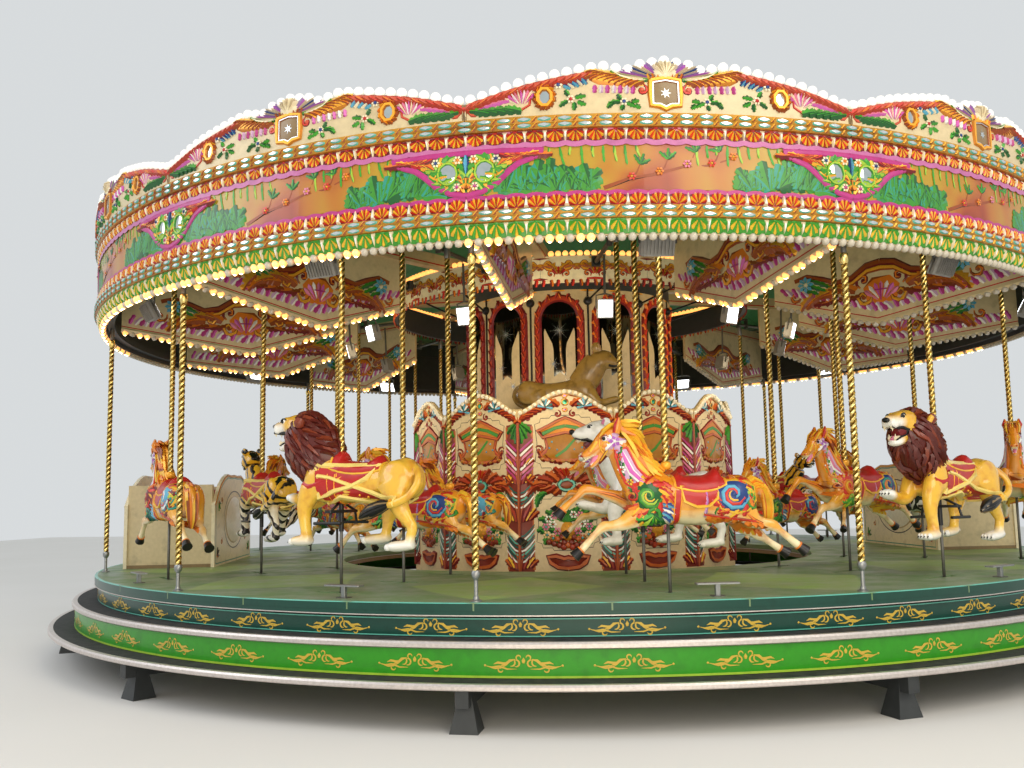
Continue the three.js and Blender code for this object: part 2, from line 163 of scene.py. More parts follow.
class CarouselColours(bpy.types.PropertyGroup):
    """Colours that a user may change."""
    cream: paint("Cream enamel", "#d2bf95")
    riser_green: paint("Green riser", "#2c8f12")
    riser_teal: paint("Teal riser", "#0c4034")
    gilding: paint("Gilding", "#d99a2c")
    crimson: paint("Crimson enamel", "#b3231f")
    magenta: paint("Magenta enamel", "#b0357c")
    leaf_green: paint("Leaf green enamel", "#3d8a2c")
    canvas: paint("Roof canvas", "#2c9a4c")
    horse: paint("Horse coat", "#dc8a1e")
    lion: paint("Lion coat", "#e2b03c")


def sizes():
    """The sizes in the sidebar."""
    return bpy.context.scene.carousel_sizes


def colours():
    """The colours in the sidebar."""
    return bpy.context.scene.carousel_colours


# Finishes

class Finish:
    """A material that is being mixed."""

    def __init__(self, name):
        self.material = bpy.data.materials.new(name)
        self.material.use_nodes = True
        self.material.node_tree.nodes.clear()
        self.place = self.add("TexCoord", out="Object")

    def add(self, kind, inputs=None, stops=(), out=0, **own):
        """Adds a node: inputs are values or other nodes' outputs, stops a ramp's, the rest settings."""
        tree = self.material.node_tree
        made = tree.nodes.new("ShaderNode" + kind)
        for name, value in own.items():
            setattr(made, name, value)
        for i, (place, colour) in enumerate(stops):
            elements = made.color_ramp.elements
            element = elements[i] if i < 2 else elements.new(place)
            element.position = place
            element.color = colour
        for name, source in (inputs or {}).items():
            if isinstance(source, bpy.types.NodeSocket):
                tree.links.new(source, made.inputs[name])
            else:
                made.inputs[name].default_value = source
        return made.outputs[out] if made.outputs else None

    def surface(self, **sockets):
        """Ends the material with its one shaded surface."""
        shader = self.add("BsdfPrincipled", {name.replace("_", " "): value for name,
                                             value in sockets.items()})
        self.add("OutputMaterial", {"Surface": shader})
        return self.material


def gloss_enamel(name, colour, roughness=0.34, drift=0.14):
    """Gloss enamel brushed on moulded glass fibre: soft highlights, faint brush waves, drift and grime."""
    made = Finish(name)
    add, at = made.add, made.place
    waves = add("TexNoise", {"Vector": at, "Scale": 1 / (45 * MM), "Detail": 3.0})
    clean = add("Mix", {0: waves, 6: shade(colour, 1 - drift), 7: shade(colour, 1 + drift)}, out=2,
                data_type="RGBA")
    dirt = add("TexNoise", {"Vector": at, "Scale": 1 / (130 * MM), "Detail": 5.0})
    grime = add("MapRange", {"Value": dirt, "From Min": 0.55, "From Max": 0.75, "To Max": 0.4})
    worn = add("Mix", {0: grime, 6: clean, 7: shade(colour, 0.4)}, out=2, data_type="RGBA")
    brush = add("TexNoise", {"Vector": at, "Scale": 1 / (9 * MM), "Detail": 2.0})
    bump = add("Bump", {"Height": brush, "Strength": 0.08, "Distance": 1 * MM})
    return made.surface(Base_Color=worn, Roughness=roughness, Coat_Weight=0.2, Coat_Roughness=0.12,
                        Specular_IOR_Level=0.35, Normal=bump)


def gilding(name, light, dark):
    """Bronze-powder gilding over carving, with painted light: a brighter painted highlight on the crests and
    brown painted shade in the hollows.
    """
    made = Finish(name)
    add, at = made.add, made.place
    # Painted light from pointiness: brown painted shade in the hollows, a painted highlight on the crests
    crest = add("MapRange", {"Value": add("NewGeometry", out="Pointiness"), "From Min": 0.42,
                             "From Max": 0.56, "To Min": -0.1, "To Max": 0.6})
    blotch = add("TexNoise", {"Vector": at, "Scale": 1 / (22 * MM), "Detail": 4.0})
    worn = add("Math", {0: blotch, 1: 0.5, 2: crest}, operation="MULTIPLY_ADD")
    # The ramp runs from painted shade through the gilding to a brighter painted highlight
    colour = add("ValToRGB", {"Fac": worn}, ((0.15, dark), (0.6, light), (0.9, shade(light, 1.4))))
    grain = add("TexNoise", {"Vector": at, "Scale": 1 / (12 * MM), "Detail": 3.0})
    bump = add("Bump", {"Height": grain, "Strength": 0.15, "Distance": 1.5 * MM})
    return made.surface(Base_Color=colour, Roughness=0.34, Metallic=0.3, Normal=bump)


def polished_brass(name, light, dark, groove):
    """Lacquered brass tube: mirror-like strands, duller fingermarked patches, painted shade in the grooves.
    """
    made = Finish(name)
    add, at = made.add, made.place
    smudge = add("TexNoise", {"Vector": at, "Scale": 1 / (60 * MM), "Detail": 4.0})
    strand = add("Mix", {0: smudge, 6: light, 7: dark}, out=2, data_type="RGBA")
    # Painted shade: the colour turns dark where pointiness finds a groove
    groove_shade = add("MapRange", {"Value": add("NewGeometry", out="Pointiness"), "From Min": 0.52,
                              "From Max": 0.44})
    colour = add("Mix", {0: groove_shade, 6: strand, 7: groove}, out=2, data_type="RGBA")
    dull = add("MapRange", {"Value": smudge, "From Min": 0.3, "From Max": 0.7, "To Min": 0.14,
                            "To Max": 0.36})
    return made.surface(Base_Color=colour, Roughness=dull, Metallic=0.92)


def bare_metal(name, colour, roughness=0.4):
    """Mill-finish metal: satin, with dull spots and a drawn grain, 3 mm wide so that it shows."""
    made = Finish(name)
    add, at = made.add, made.place
    spots = add("TexNoise", {"Vector": at, "Scale": 1 / (25 * MM), "Detail": 5.0})
    colour = add("Mix", {0: spots, 6: shade(colour, 0.7), 7: shade(colour, 1.2)}, out=2, data_type="RGBA")
    grain = add("TexNoise", {"Vector": at, "Scale": 1 / (3 * MM), "Detail": 2.0})
    bump = add("Bump", {"Height": grain, "Strength": 0.1, "Distance": 0.4 * MM})
    return made.surface(Base_Color=colour, Roughness=roughness, Metallic=0.85, Normal=bump)


def satin_paint(name, colour, roughness=0.5):
    """Satin machinery paint sprayed on steel: dark, even, dusty, with a faint orange peel."""
    made = Finish(name)
    add, at = made.add, made.place
    dust = add("TexNoise", {"Vector": at, "Scale": 1 / (80 * MM), "Detail": 6.0})
    colour = add("Mix", {0: dust, 6: shade(colour, 0.7), 7: shade(colour, 1.6)}, out=2, data_type="RGBA")
    peel = add("TexNoise", {"Vector": at, "Scale": 1 / (6 * MM), "Detail": 3.0})
    bump = add("Bump", {"Height": peel, "Strength": 0.12, "Distance": 0.8 * MM})
    return made.surface(Base_Color=colour, Roughness=roughness, Normal=bump)


def silvered_glass(name, tint):
    """Silvered float glass: a clean mirror with a faint ripple and a darker bloom."""
    made = Finish(name)
    add, at = made.add, made.place
    bloom = add("TexNoise", {"Vector": at, "Scale": 1 / (70 * MM), "Detail": 3.0})
    colour = add("Mix", {0: bloom, 6: tint, 7: shade(tint, 0.7)}, out=2, data_type="RGBA")
    ripple = add("TexNoise", {"Vector": at, "Scale": 1 / (120 * MM), "Detail": 3.0})
    bump = add("Bump", {"Height": ripple, "Strength": 0.06, "Distance": 2 * MM})
    return made.surface(Base_Color=colour, Roughness=0.05, Metallic=1.0, Normal=bump)


def opal_glass(name, colour, glow=0.0, light="#ffffff"):
    """Blown opal glass: milky and smooth, and a lit cap glows evenly."""
    made = Finish(name)
    add, at = made.add, made.place
    milk = add("TexNoise", {"Vector": at, "Scale": 1 / (30 * MM), "Detail": 3.0})
    colour = add("Mix", {0: milk, 6: shade(colour, 0.85), 7: shade(colour, 1.1)}, out=2, data_type="RGBA")
    return made.surface(Base_Color=colour, Roughness=0.22, Coat_Weight=0.4, Emission_Strength=glow,
                        Emission_Color=linear(light))


def ribbed_rubber(name):
    """Moulded black rubber matting: matt, with dust in grooves 12 mm apart that run round the ride."""
    made = Finish(name)
    add, at = made.add, made.place
    level = add("VectorMath", {0: at, 1: (1.0, 1.0, 0.0)}, operation="MULTIPLY")
    radius = add("VectorMath", {0: level}, out="Value", operation="LENGTH")
    dust = add("TexNoise", {"Vector": at, "Scale": 1 / (90 * MM), "Detail": 5.0})
    share = add("MapRange", {"Value": dust, "From Min": 0.35, "From Max": 0.8})
    colour = add("Mix", {0: share, 6: linear("#17181a"), 7: linear("#3b3a38")}, out=2, data_type="RGBA")
    turns = add("Math", {0: radius, 1: math.tau / (12 * MM)}, operation="MULTIPLY")
    bump = add("Bump", {"Height": add("Math", {0: turns}, operation="SINE"), "Strength": 0.6,
                        "Distance": 2 * MM})
    return made.surface(Base_Color=colour, Roughness=0.75, Normal=bump)


def deck_paint(name):
    """Worn non-slip deck paint: olive green rubbed through to grey, with a lighter green star of wedges."""
    made = Finish(name)
    add, at = made.add, made.place
    level = add("VectorMath", {0: at, 1: (1.0, 1.0, 0.0)}, operation="MULTIPLY")
    radius = add("VectorMath", {0: level}, out="Value", operation="LENGTH")
    x = add("SeparateXYZ", {"Vector": at}, out="X")
    back = add("Math", {0: add("SeparateXYZ", {"Vector": at}, out="Y"), 1: -1.0}, operation="MULTIPLY")
    turn = add("Math", {0: x, 1: back}, operation="ARCTAN2")
    count = add("Math", {0: turn, 1: 1 / SECTION, 2: 64.5}, operation="MULTIPLY_ADD")
    share = add("Math", {0: add("Math", {0: count}, operation="FRACT"), 1: 0.5}, operation="SUBTRACT")
    off_joint = add("Math", {0: share}, operation="ABSOLUTE")
    off_row = add("Math", {0: add("Math", {0: radius, 1: 4.75}, operation="SUBTRACT")}, operation="ABSOLUTE")
    slope = add("Math", {0: off_row, 1: 0.34, 2: off_joint}, operation="MULTIPLY_ADD")
    wedge = add("MapRange", {"Value": slope, "From Min": 0.37, "From Max": 0.35, "To Max": 0.7})
    rubbed = add("TexNoise", {"Vector": at, "Scale": 1 / 0.42, "Detail": 7.0, "Roughness": 0.62})
    worn = add("MapRange", {"Value": rubbed, "From Min": 0.3, "From Max": 0.7})
    grit = add("TexNoise", {"Vector": at, "Scale": 1 / (14 * MM), "Detail": 6.0, "Roughness": 0.7})
    bare = add("Mix", {0: grit, 6: linear("#5f6b58"), 7: linear("#8d9a80")}, out=2, data_type="RGBA")
    ground = add("Mix", {0: worn, 6: bare, 7: linear("#5f8248")}, out=2, data_type="RGBA")
    star = add("Mix", {0: worn, 6: linear("#8a9c68"), 7: linear("#98b85c")}, out=2, data_type="RGBA")
    colour = add("Mix", {0: wedge, 6: ground, 7: star}, out=2, data_type="RGBA")
    dull = add("MapRange", {"Value": worn, "To Min": 0.32, "To Max": 0.6})
    bump = add("Bump", {"Height": grit, "Strength": 0.25, "Distance": 1.2 * MM})
    return made.surface(Base_Color=colour, Roughness=dull, Normal=bump)


def coated_canvas(name, colour):
    """PVC-coated polyester canvas, woven: even colour, slight sheen, weave drawn 8 mm apart to show."""
    made = Finish(name)
    add, at = made.add, made.place
    threads = add("VectorMath", {0: at, 1: (math.tau / (8 * MM),) * 3}, operation="MULTIPLY")
    warp = add("Math", {0: add("SeparateXYZ", {"Vector": threads}, out="X")}, operation="SINE")
    weft = add("Math", {0: add("SeparateXYZ", {"Vector": threads}, out="Y")}, operation="SINE")
    weave = add("Math", {0: warp, 1: weft}, operation="MULTIPLY")
    fade = add("TexNoise", {"Vector": at, "Scale": 1 / 0.6, "Detail": 4.0})
    colour = add("Mix", {0: fade, 6: shade(colour, 0.65), 7: shade(colour, 1.3)}, out=2, data_type="RGBA")
    bump = add("Bump", {"Height": weave, "Strength": 0.2, "Distance": 1 * MM})
    return made.surface(Base_Color=colour, Roughness=0.5, Sheen_Weight=0.25, Normal=bump)


def airbrushed_panel(name):
    """Enamel airbrushed on a panel: russet in the middle that runs out into orange and mustard clouds."""
    made = Finish(name)
    add, at = made.add, made.place
    aside = add("Math", {0: add("SeparateXYZ", {"Vector": at}, out="X")}, operation="ABSOLUTE")
    cloud = add("TexNoise", {"Vector": at, "Scale": 1 / 0.55, "Detail": 2.0, "Roughness": 0.4,
                             "Distortion": 0.6})
    level = add("Math", {0: cloud, 1: 1.1, 2: aside}, operation="MULTIPLY_ADD")
    reach = add("MapRange", {"Value": level, "From Min": 0.3, "From Max": 1.5})
    colour = add("ValToRGB", {"Fac": reach}, ((0.12, linear("#6a1c06")), (0.3, linear("#9a3c0a")),
                                              (0.48, linear("#b06c10")), (0.7, linear("#b08c1c"))))
    spray = add("TexNoise", {"Vector": at, "Scale": 1 / (9 * MM), "Detail": 2.0})
    bump = add("Bump", {"Height": spray, "Strength": 0.05, "Distance": 1 * MM})
    return made.surface(Base_Color=colour, Roughness=0.3, Coat_Weight=0.3, Normal=bump)


def white_ends(made, x, z, coat):
    """Big cats turn white at their paws, muzzle and chin."""
    paws = made.add("MapRange", {"Value": z, "From Min": -0.44, "From Max": -0.52})
    near = made.add("MapRange", {"Value": x, "From Min": -0.54, "From Max": -0.6})
    low = made.add("MapRange", {"Value": z, "From Min": 0.57, "From Max": 0.5})
    muzzle = made.add("Math", {0: near, 1: low}, operation="MULTIPLY")
    share = made.add("Math", {0: paws, 1: muzzle}, operation="MAXIMUM")
    return made.add("Mix", {0: share, 6: coat, 7: linear("#efece2")}, out=2, data_type="RGBA")


def brushed_ripple(made):
    """The ripple of hand-laid lacquer, 12 mm wide and very shallow."""
    ripple = made.add("TexNoise", {"Vector": made.place, "Scale": 1 / (12 * MM), "Detail": 2.0})
    return made.add("Bump", {"Height": ripple, "Strength": 0.06, "Distance": 1 * MM})


def airbrushed_coat(name, back, flank, belly, patch_and_crease_shade, white_ends_too=False):
    """Enamel airbrushed on moulded glass fibre: strong back, pale underside, painted shade in the creases, a
    wet shine.
    """
    made = Finish(name)
    add, at = made.add, made.place
    x = add("SeparateXYZ", {"Vector": at}, out="X")
    z = add("SeparateXYZ", {"Vector": at}, out="Z")
    drift = add("TexNoise", {"Vector": at, "Scale": 1 / 0.13, "Detail": 2.0})
    height = add("Math", {0: drift, 1: 0.36, 2: z}, operation="MULTIPLY_ADD")
    level = add("MapRange", {"Value": height, "From Min": -0.36, "From Max": 0.4})
    sprayed = add("ValToRGB", {"Fac": level}, ((0.08, belly), (0.42, flank), (0.8, back)))
    facing = add("SeparateXYZ", {"Vector": add("NewGeometry", out="Normal")}, out="Z")
    down = add("MapRange", {"Value": facing, "From Min": -0.3, "From Max": -0.8})
    under = add("Mix", {0: down, 6: sprayed, 7: belly}, out=2, data_type="RGBA")
    patch = add("TexNoise", {"Vector": at, "Scale": 1 / (90 * MM), "Detail": 2.0})
    burnt = add("MapRange", {"Value": patch, "From Min": 0.5, "From Max": 0.72, "To Max": 0.45})
    coat = add("Mix", {0: burnt, 6: under, 7: patch_and_crease_shade}, out=2, data_type="RGBA")
    if white_ends_too:
        coat = white_ends(made, x, z, coat)
    # Painted shade: the coat turns to the crease colour where pointiness finds a crease
    crease_shade = add("MapRange", {"Value": add("NewGeometry", out="Pointiness"), "From Min": 0.495,
                            "From Max": 0.455, "To Max": 0.8})
    colour = add("Mix", {0: crease_shade, 6: coat, 7: patch_and_crease_shade}, out=2, data_type="RGBA")
    return made.surface(Base_Color=colour, Roughness=0.24, Coat_Weight=0.5, Coat_Roughness=0.06,
                        Specular_IOR_Level=0.4, Normal=brushed_ripple(made))


def striped_coat(name, back, belly, stripe, pitch, width, white_ends_too=False):
    """Enamel with stripes airbrushed by hand: ragged edges, and stripes a hand's width apart."""
    made = Finish(name)
    add, at = made.add, made.place
    x = add("SeparateXYZ", {"Vector": at}, out="X")
    z = add("SeparateXYZ", {"Vector": at}, out="Z")
    drift = add("TexNoise", {"Vector": at, "Scale": 1 / 0.16, "Detail": 2.0})
    height = add("Math", {0: drift, 1: 0.2, 2: z}, operation="MULTIPLY_ADD")
    low = add("MapRange", {"Value": height, "From Min": 0.02, "From Max": -0.12})
    ground = add("Mix", {0: low, 6: back, 7: belly}, out=2, data_type="RGBA")
    if white_ends_too:
        ground = white_ends(made, x, z, ground)
    slant = add("Math", {0: z, 1: 0.75, 2: x}, operation="MULTIPLY_ADD")
    stray = add("TexNoise", {"Vector": at, "Scale": 1 / 0.22, "Detail": 2.0})
    wander = add("Math", {0: stray, 1: 9.0}, operation="MULTIPLY")
    turns = add("Math", {0: slant, 1: math.tau / pitch, 2: wander}, operation="MULTIPLY_ADD")
    wave = add("Math", {0: add("Math", {0: turns}, operation="SINE"), 1: 0.45}, operation="SUBTRACT")
    rough = add("TexNoise", {"Vector": at, "Scale": 1 / (50 * MM), "Detail": 2.0})
    ragged = add("Math", {0: rough, 1: 0.9, 2: wave}, operation="MULTIPLY_ADD")
    band = add("MapRange", {"Value": ragged, "From Min": width, "From Max": width + 0.2})
    colour = add("Mix", {0: band, 6: ground, 7: stripe}, out=2, data_type="RGBA")
    return made.surface(Base_Color=colour, Roughness=0.26, Coat_Weight=0.5, Coat_Roughness=0.08,
                        Normal=brushed_ripple(made))


def cut_glass(name, colour):
    """Pressed glass jewel over foil: deep colour with painted glints, light and dark facets 14 mm wide
    painted into the colour.
    """
    made = Finish(name)
    # Painted glints: each facet's colour is made lighter or darker at random in the base colour
    facet_glints = made.add("TexVoronoi", {"Vector": made.place, "Scale": 1 / (14 * MM)})
    colour = made.add("Mix", {0: facet_glints, 6: shade(colour, 2.2), 7: shade(colour, 0.4)}, out=2,
                      data_type="RGBA")
    return made.surface(Base_Color=colour, Roughness=0.08, Metallic=0.6, Coat_Weight=1.0)


def leathercloth(name, colour):
    """Leathercloth, PVC pressed on cotton: a soft sheen, with a grain drawn 5 mm wide so that it shows."""
    made = Finish(name)
    add, at = made.add, made.place
    rubbed = add("TexNoise", {"Vector": at, "Scale": 1 / 0.1, "Detail": 4.0})
    colour = add("Mix", {0: rubbed, 6: shade(colour, 0.7), 7: shade(colour, 1.2)}, out=2, data_type="RGBA")
    grain = add("TexVoronoi", {"Vector": at, "Scale": 1 / (5 * MM)})
    bump = add("Bump", {"Height": grain, "Strength": 0.25, "Distance": 1 * MM})
    return made.surface(Base_Color=colour, Roughness=0.42, Normal=bump)


def studio_floor(name):
    """The studio's floor, painted: smooth, pale grey."""
    made = Finish(name)
    drift = made.add("TexNoise", {"Vector": made.place, "Scale": 1 / 2.5})
    colour = made.add("Mix", {0: drift, 6: linear("#dedcd7"), 7: linear("#e6e4e0")}, out=2, data_type="RGBA")
    return made.surface(Base_Color=colour, Roughness=0.85)


ENAMELS = {
    "ivory": "#e9dcb8", "drum_beige": "#c2ad84", "maroon": "#6e1a1c", "scarlet": "#d0382a",
    "orange": "#dd7a22", "yellow": "#e6b432", "deep_green": "#1f5a2a", "sea_green": "#2f8f7c",
    "teal": "#0f5a50", "teal_line": "#5fb3a0", "sky_blue": "#5aa6c4", "navy": "#243f7a",
    "pink": "#d97a9c", "lilac": "#c9a3c4", "mauve": "#8a6f9e", "white": "#eceae2", "black": "#141414",
    "lime": "#9cc03a", "tan": "#8a7350", "russet": "#8f4319", "hoof": "#1d1a1a", "brick": "#a0341a",
    "orchid": "#cf5fb0", "fringe_green": "#3f9a2c", "dark_mane": "#5a2018", "chestnut": "#7d3620",
    "violet": "#a356b0", "peach": "#e8c48c", "sand": "#bba98a", "coral": "#c65438", "mint": "#3f9058",
    "rose": "#bb6a9c", "burnt_orange": "#b65a20", "oxide_red": "#9e3419", "dark_brick": "#7a2a15",
    "ochre": "#a9731f", "straw": "#efd678",
}
OTHER_FINISHES = {
    # The second colour of each gilding is the brown painted shade in its hollows
    "gold": lambda: gilding("gilding_yellow", colours().gilding, linear("#8a4c12")),
    "moulding": lambda: gilding("gilding_moulding", linear("#b9852a"), linear("#5a300c")),
    "old_gold": lambda: gilding("gilding_brown", linear("#b4701f"), linear("#5c2c0c")),
    "scroll_gold": lambda: gloss_enamel("enamel_scroll_gold", linear("#c9a83c"), 0.35),
    # The last brass colour and the whole darker brass are painted shade in the rope's grooves
    "brass": lambda: polished_brass("brass_lacquered", linear("#f6e49c"), linear("#d8b356"),
                                    linear("#3a2608")),
    "brass_groove_shade": lambda: polished_brass("brass_in_hollows", linear("#b08a3a"), linear("#80601f"),
                                           linear("#4a3010")),
    "steel": lambda: bare_metal("steel_bright", linear("#9a9c9b")),
    "old_steel": lambda: bare_metal("steel_dull", linear("#77756f"), 0.55),
    "alloy": lambda: bare_metal("aluminium_nosing", linear("#d8cfc9"), 0.45),
    "silver": lambda: bare_metal("foil_silver", linear("#dfe6e6"), 0.18),
    "dark_paint": lambda: satin_paint("paint_dark_grey", linear("#2c2f30")),
    "black_paint": lambda: satin_paint("paint_black", linear("#131313"), 0.38),
    "lamp_housing": lambda: satin_paint("paint_lamp_grey", linear("#7d7b76")),
    "mirror": lambda: silvered_glass("glass_silvered", linear("#dfe8e4")),
    "old_mirror": lambda: silvered_glass("glass_engraved", linear("#8d8a7c")),
    "globe": lambda: opal_glass("opal_globe", linear("#f4f1ea"), 0.3, "#fff6ea"),
    "pearl": lambda: opal_glass("opal_cap_unlit", linear("#c4bba8")),
    # The beads glow faintly though they are not lamps: painted light that brightens them
    "bead": lambda: opal_glass("opal_bead", linear("#ece6d2"), 0.12, "#fff0d0"),
    "lit": lambda: opal_glass("opal_cap_lit", linear("#ffc98a"), sizes().lamp_glow, "#ffa652"),
    "bulb": lambda: opal_glass("opal_bulb_lit", linear("#fff2d8"), 6 * sizes().lamp_glow, "#ffe0a8"),
    "floodlight": lambda: opal_glass("floodlight_glass", linear("#ffffff"), 5.0, "#f4f8ff"),
    "rubber": lambda: ribbed_rubber("rubber_ribbed"),
    "deck": lambda: deck_paint("deck_paint_worn"),
    "canvas": lambda: coated_canvas("canvas_coated_green", colours().canvas),
    "sunset": lambda: airbrushed_panel("enamel_airbrushed"),
    "jewel_pink": lambda: cut_glass("glass_jewel_pink", linear("#c4507c")),
    "jewel_green": lambda: cut_glass("glass_jewel_green", linear("#2f9a6a")),
    "hide": lambda: leathercloth("leathercloth_red", linear("#8f1f22")),
    # The last colour of each coat is used for random patches and for the painted shade in its creases
    "horse_coat": lambda: airbrushed_coat("enamel_horse_coat", colours().horse, linear("#e3a63c"),
                                          linear("#f1e3b8"), linear("#a8501a")),
    "lion_coat": lambda: airbrushed_coat("enamel_lion_coat", colours().lion, linear("#edba38"),
                                         linear("#f0c650"), linear("#bd651c"), True),
    "bear_coat": lambda: airbrushed_coat("enamel_bear_coat", linear("#fbf8ee"), linear("#f6f2e6"),
                                         linear("#ece8d8"), linear("#b4ac98")),
    "lioness_coat": lambda: airbrushed_coat("enamel_lioness_coat", linear("#7c6230"), linear("#8a7038"),
                                            linear("#a08a58"), linear("#3c2c14")),
    "tiger_coat": lambda: striped_coat("enamel_tiger_coat", linear("#e6b02c"), linear("#ece3c8"),
                                       linear("#14110e"), 0.115, 0.25, True),
    "zebra_coat": lambda: striped_coat("enamel_zebra_coat", linear("#ece8dd"), linear("#e6e0d2"),
                                       linear("#151414"), 0.085, 0.0),
    "studio": lambda: studio_floor("studio_floor"),
}
FINISHES = {}


def finish(name):
    """The finish that faces carry under a name, mixed the first time that it is asked for."""
    if name not in FINISHES:
        if name in OTHER_FINISHES:
            FINISHES[name] = OTHER_FINISHES[name]()
        elif name in ENAMELS:
            FINISHES[name] = gloss_enamel("enamel_" + name, linear(ENAMELS[name]))
        else:
            FINISHES[name] = gloss_enamel("enamel_" + name, getattr(colours(), name))
    return FINISHES[name]


# Shapes

class Shape:
    """Points and faces gathered for one mesh; each face carries the name of its finish."""

    def __init__(self):
        self.points = []
        self.faces = []
        self.wears = []

    def add(self, points, faces, wears, place=None):
        """Adds faces; wears is one finish or a list with one for each face."""
        start = len(self.points)
        self.points += [place(*p) for p in points] if place else [Vector(p) for p in points]
        if getattr(place, "turned", False):
            faces = [face[::-1] for face in faces]
        self.faces += [tuple(start + i for i in face) for face in faces]
        self.wears += [wears] * len(faces) if isinstance(wears, str) else wears

    def mesh(self, name, keep=1.0):
        made = bpy.data.meshes.new(name)
        made.from_pydata(self.points, [], self.faces)
        names = sorted(set(self.wears))
        for wear in names:
            made.materials.append(finish(wear))
        made.polygons.foreach_set("material_index", [names.index(wear) for wear in self.wears])
        made.polygons.foreach_set("use_smooth", [True] * len(self.faces))
        made.update()
        return thinned(made, keep) if keep < 1 else made


def put(name, mesh, body, node=None, slot=None, turn=0.0, at=(0, 0, 0), scale=1.0):
    """Places a mesh as a piece that rides on a body, and hides the part of the frame that it stands for."""
    piece = bpy.data.objects.new(name, mesh)
    bpy.context.scene.collection.objects.link(piece)
    piece.location = at
    piece.rotation_euler.z = turn
    piece.scale = (scale, scale, scale)
    bpy.context.view_layer.update()
    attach(piece, body)
    if node:
        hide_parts(node)
    return piece


BOARD_KEEP = 0.66


def thinned(mesh, keep):
    """A mesh with only a share of its triangles left, fewest where it is flat."""
    holder = bpy.data.objects.new("holder", mesh)
    bpy.context.scene.collection.objects.link(holder)
    thin = holder.modifiers.new("thin", "DECIMATE")
    thin.ratio = keep
    made = bpy.data.meshes.new_from_object(holder.evaluated_get(bpy.context.evaluated_depsgraph_get()))
    bpy.data.objects.remove(holder)
    return made


def sharpen(mesh, degrees=35):
    """Keeps the hard edges of a smooth-shaded mesh."""
    mesh.set_sharp_from_angle(angle=math.radians(degrees))
    return mesh


def ring_faces(rings, sides, start=0, closed=False):
    """Faces between rings of as many points, from the first to the last and round again where closed."""
    faces = []
    for i in range(rings if closed else rings - 1):
        a, b = start + i * sides, start + (i + 1) % rings * sides
        for j in range(sides):
            k = (j + 1) % sides
            faces.append((a + j, a + k, b + k, b + j))
    return faces


def end_caps(rings, sides):
    """Faces that close the first and the last ring."""
    return [tuple(reversed(range(sides))), tuple(range((rings - 1) * sides, rings * sides))]


def tube_frames(path):
    """Directions along a path with two even side directions, carried along without twist."""
    count = len(path)
    frames = []
    side = None
    for i in range(count):
        along = (path[min(i + 1, count - 1)] - path[max(i - 1, 0)]).normalized()
        if side is None:
            side = along.orthogonal().normalized()
        side = (side - along * side.dot(along)).normalized()
        frames.append((side, along.cross(side)))
    return frames


def tube(shape, path, radii, wears, sides=8, place=None, flatten=1.0, closed=False):
    """A round rod along a path, with closed ends; radii is a number or one for each point."""
    path = [Vector(p) for p in path]
    if not hasattr(radii, "__len__"):
        radii = [radii] * len(path)
    points = []
    for point, (side, up), radius in zip(path, tube_frames(path), radii):
        for j in range(sides):
            turn = math.tau * (j + 0.5) / sides
            points.append(point + side * (radius * math.cos(turn)) + up
                          * (radius * flatten * math.sin(turn)))
    faces = ring_faces(len(path), sides, 0, closed)
    if not closed:
        faces += end_caps(len(path), sides)
    shape.add(points, faces, wears, place)


def ball(shape, centre, radii, wears, sides=10, rings=6):
    """A ball or an egg."""
    if not hasattr(radii, "__len__"):
        radii = (radii,) * 3
    points = [(centre[0], centre[1], centre[2] - radii[2])]
    for i in range(1, rings):
        tilt = math.pi * i / rings
        for j in range(sides):
            turn = math.tau * j / sides
            points.append((centre[0] + radii[0] * math.sin(tilt) * math.cos(turn),
                           centre[1] + radii[1] * math.sin(tilt) * math.sin(turn),
                           centre[2] - radii[2] * math.cos(tilt)))
    points.append((centre[0], centre[1], centre[2] + radii[2]))
    last = len(points) - 1
    faces = [(0, 1 + (j + 1) % sides, 1 + j) for j in range(sides)]
    faces += ring_faces(rings - 1, sides, 1)
    top = 1 + (rings - 2) * sides
    faces += [(last, top + j, top + (j + 1) % sides) for j in range(sides)]
    shape.add(points, faces, wears)


def lathe(shape, profile, wears, sides=16, place=None):
    """A turned piece round its own upright axis, from points of radius and height."""
    points = []
    for radius, height in profile:
        for j in range(sides):
            turn = math.tau * j / sides
            points.append((radius * math.cos(turn), radius * math.sin(turn), height))
    shape.add(points, ring_faces(len(profile), sides) + end_caps(len(profile), sides), wears, place)


def block(shape, low, high, wears, place=None, chamfer=0.0):
    """A box with chamfered upright edges."""
    (x0, y0, z0), (x1, y1, z1) = low, high
    c = chamfer
    outline = [(x0, y0), (x1, y0), (x1, y1), (x0, y1)]
    if c:
        outline = [(x0 + c, y0), (x1 - c, y0), (x1, y0 + c), (x1, y1 - c), (x1 - c, y1), (x0 + c, y1),
                   (x0, y1 - c), (x0, y0 + c)]
    slab(shape, [(x, y) for x, y in outline], z0, z1, wears, place)


def slab(shape, outline, low, high, wears, place=None):
    """A flat plate: its outline is counterclockwise and it runs from low to high along the third axis."""
    count = len(outline)
    points = [(x, y, low) for x, y in outline] + [(x, y, high) for x, y in outline]
    faces = [tuple(reversed(range(count))), tuple(range(count, 2 * count))]
    faces += [(i, (i + 1) % count, count + (i + 1) % count, count + i) for i in range(count)]
    shape.add(points, faces, wears, place)


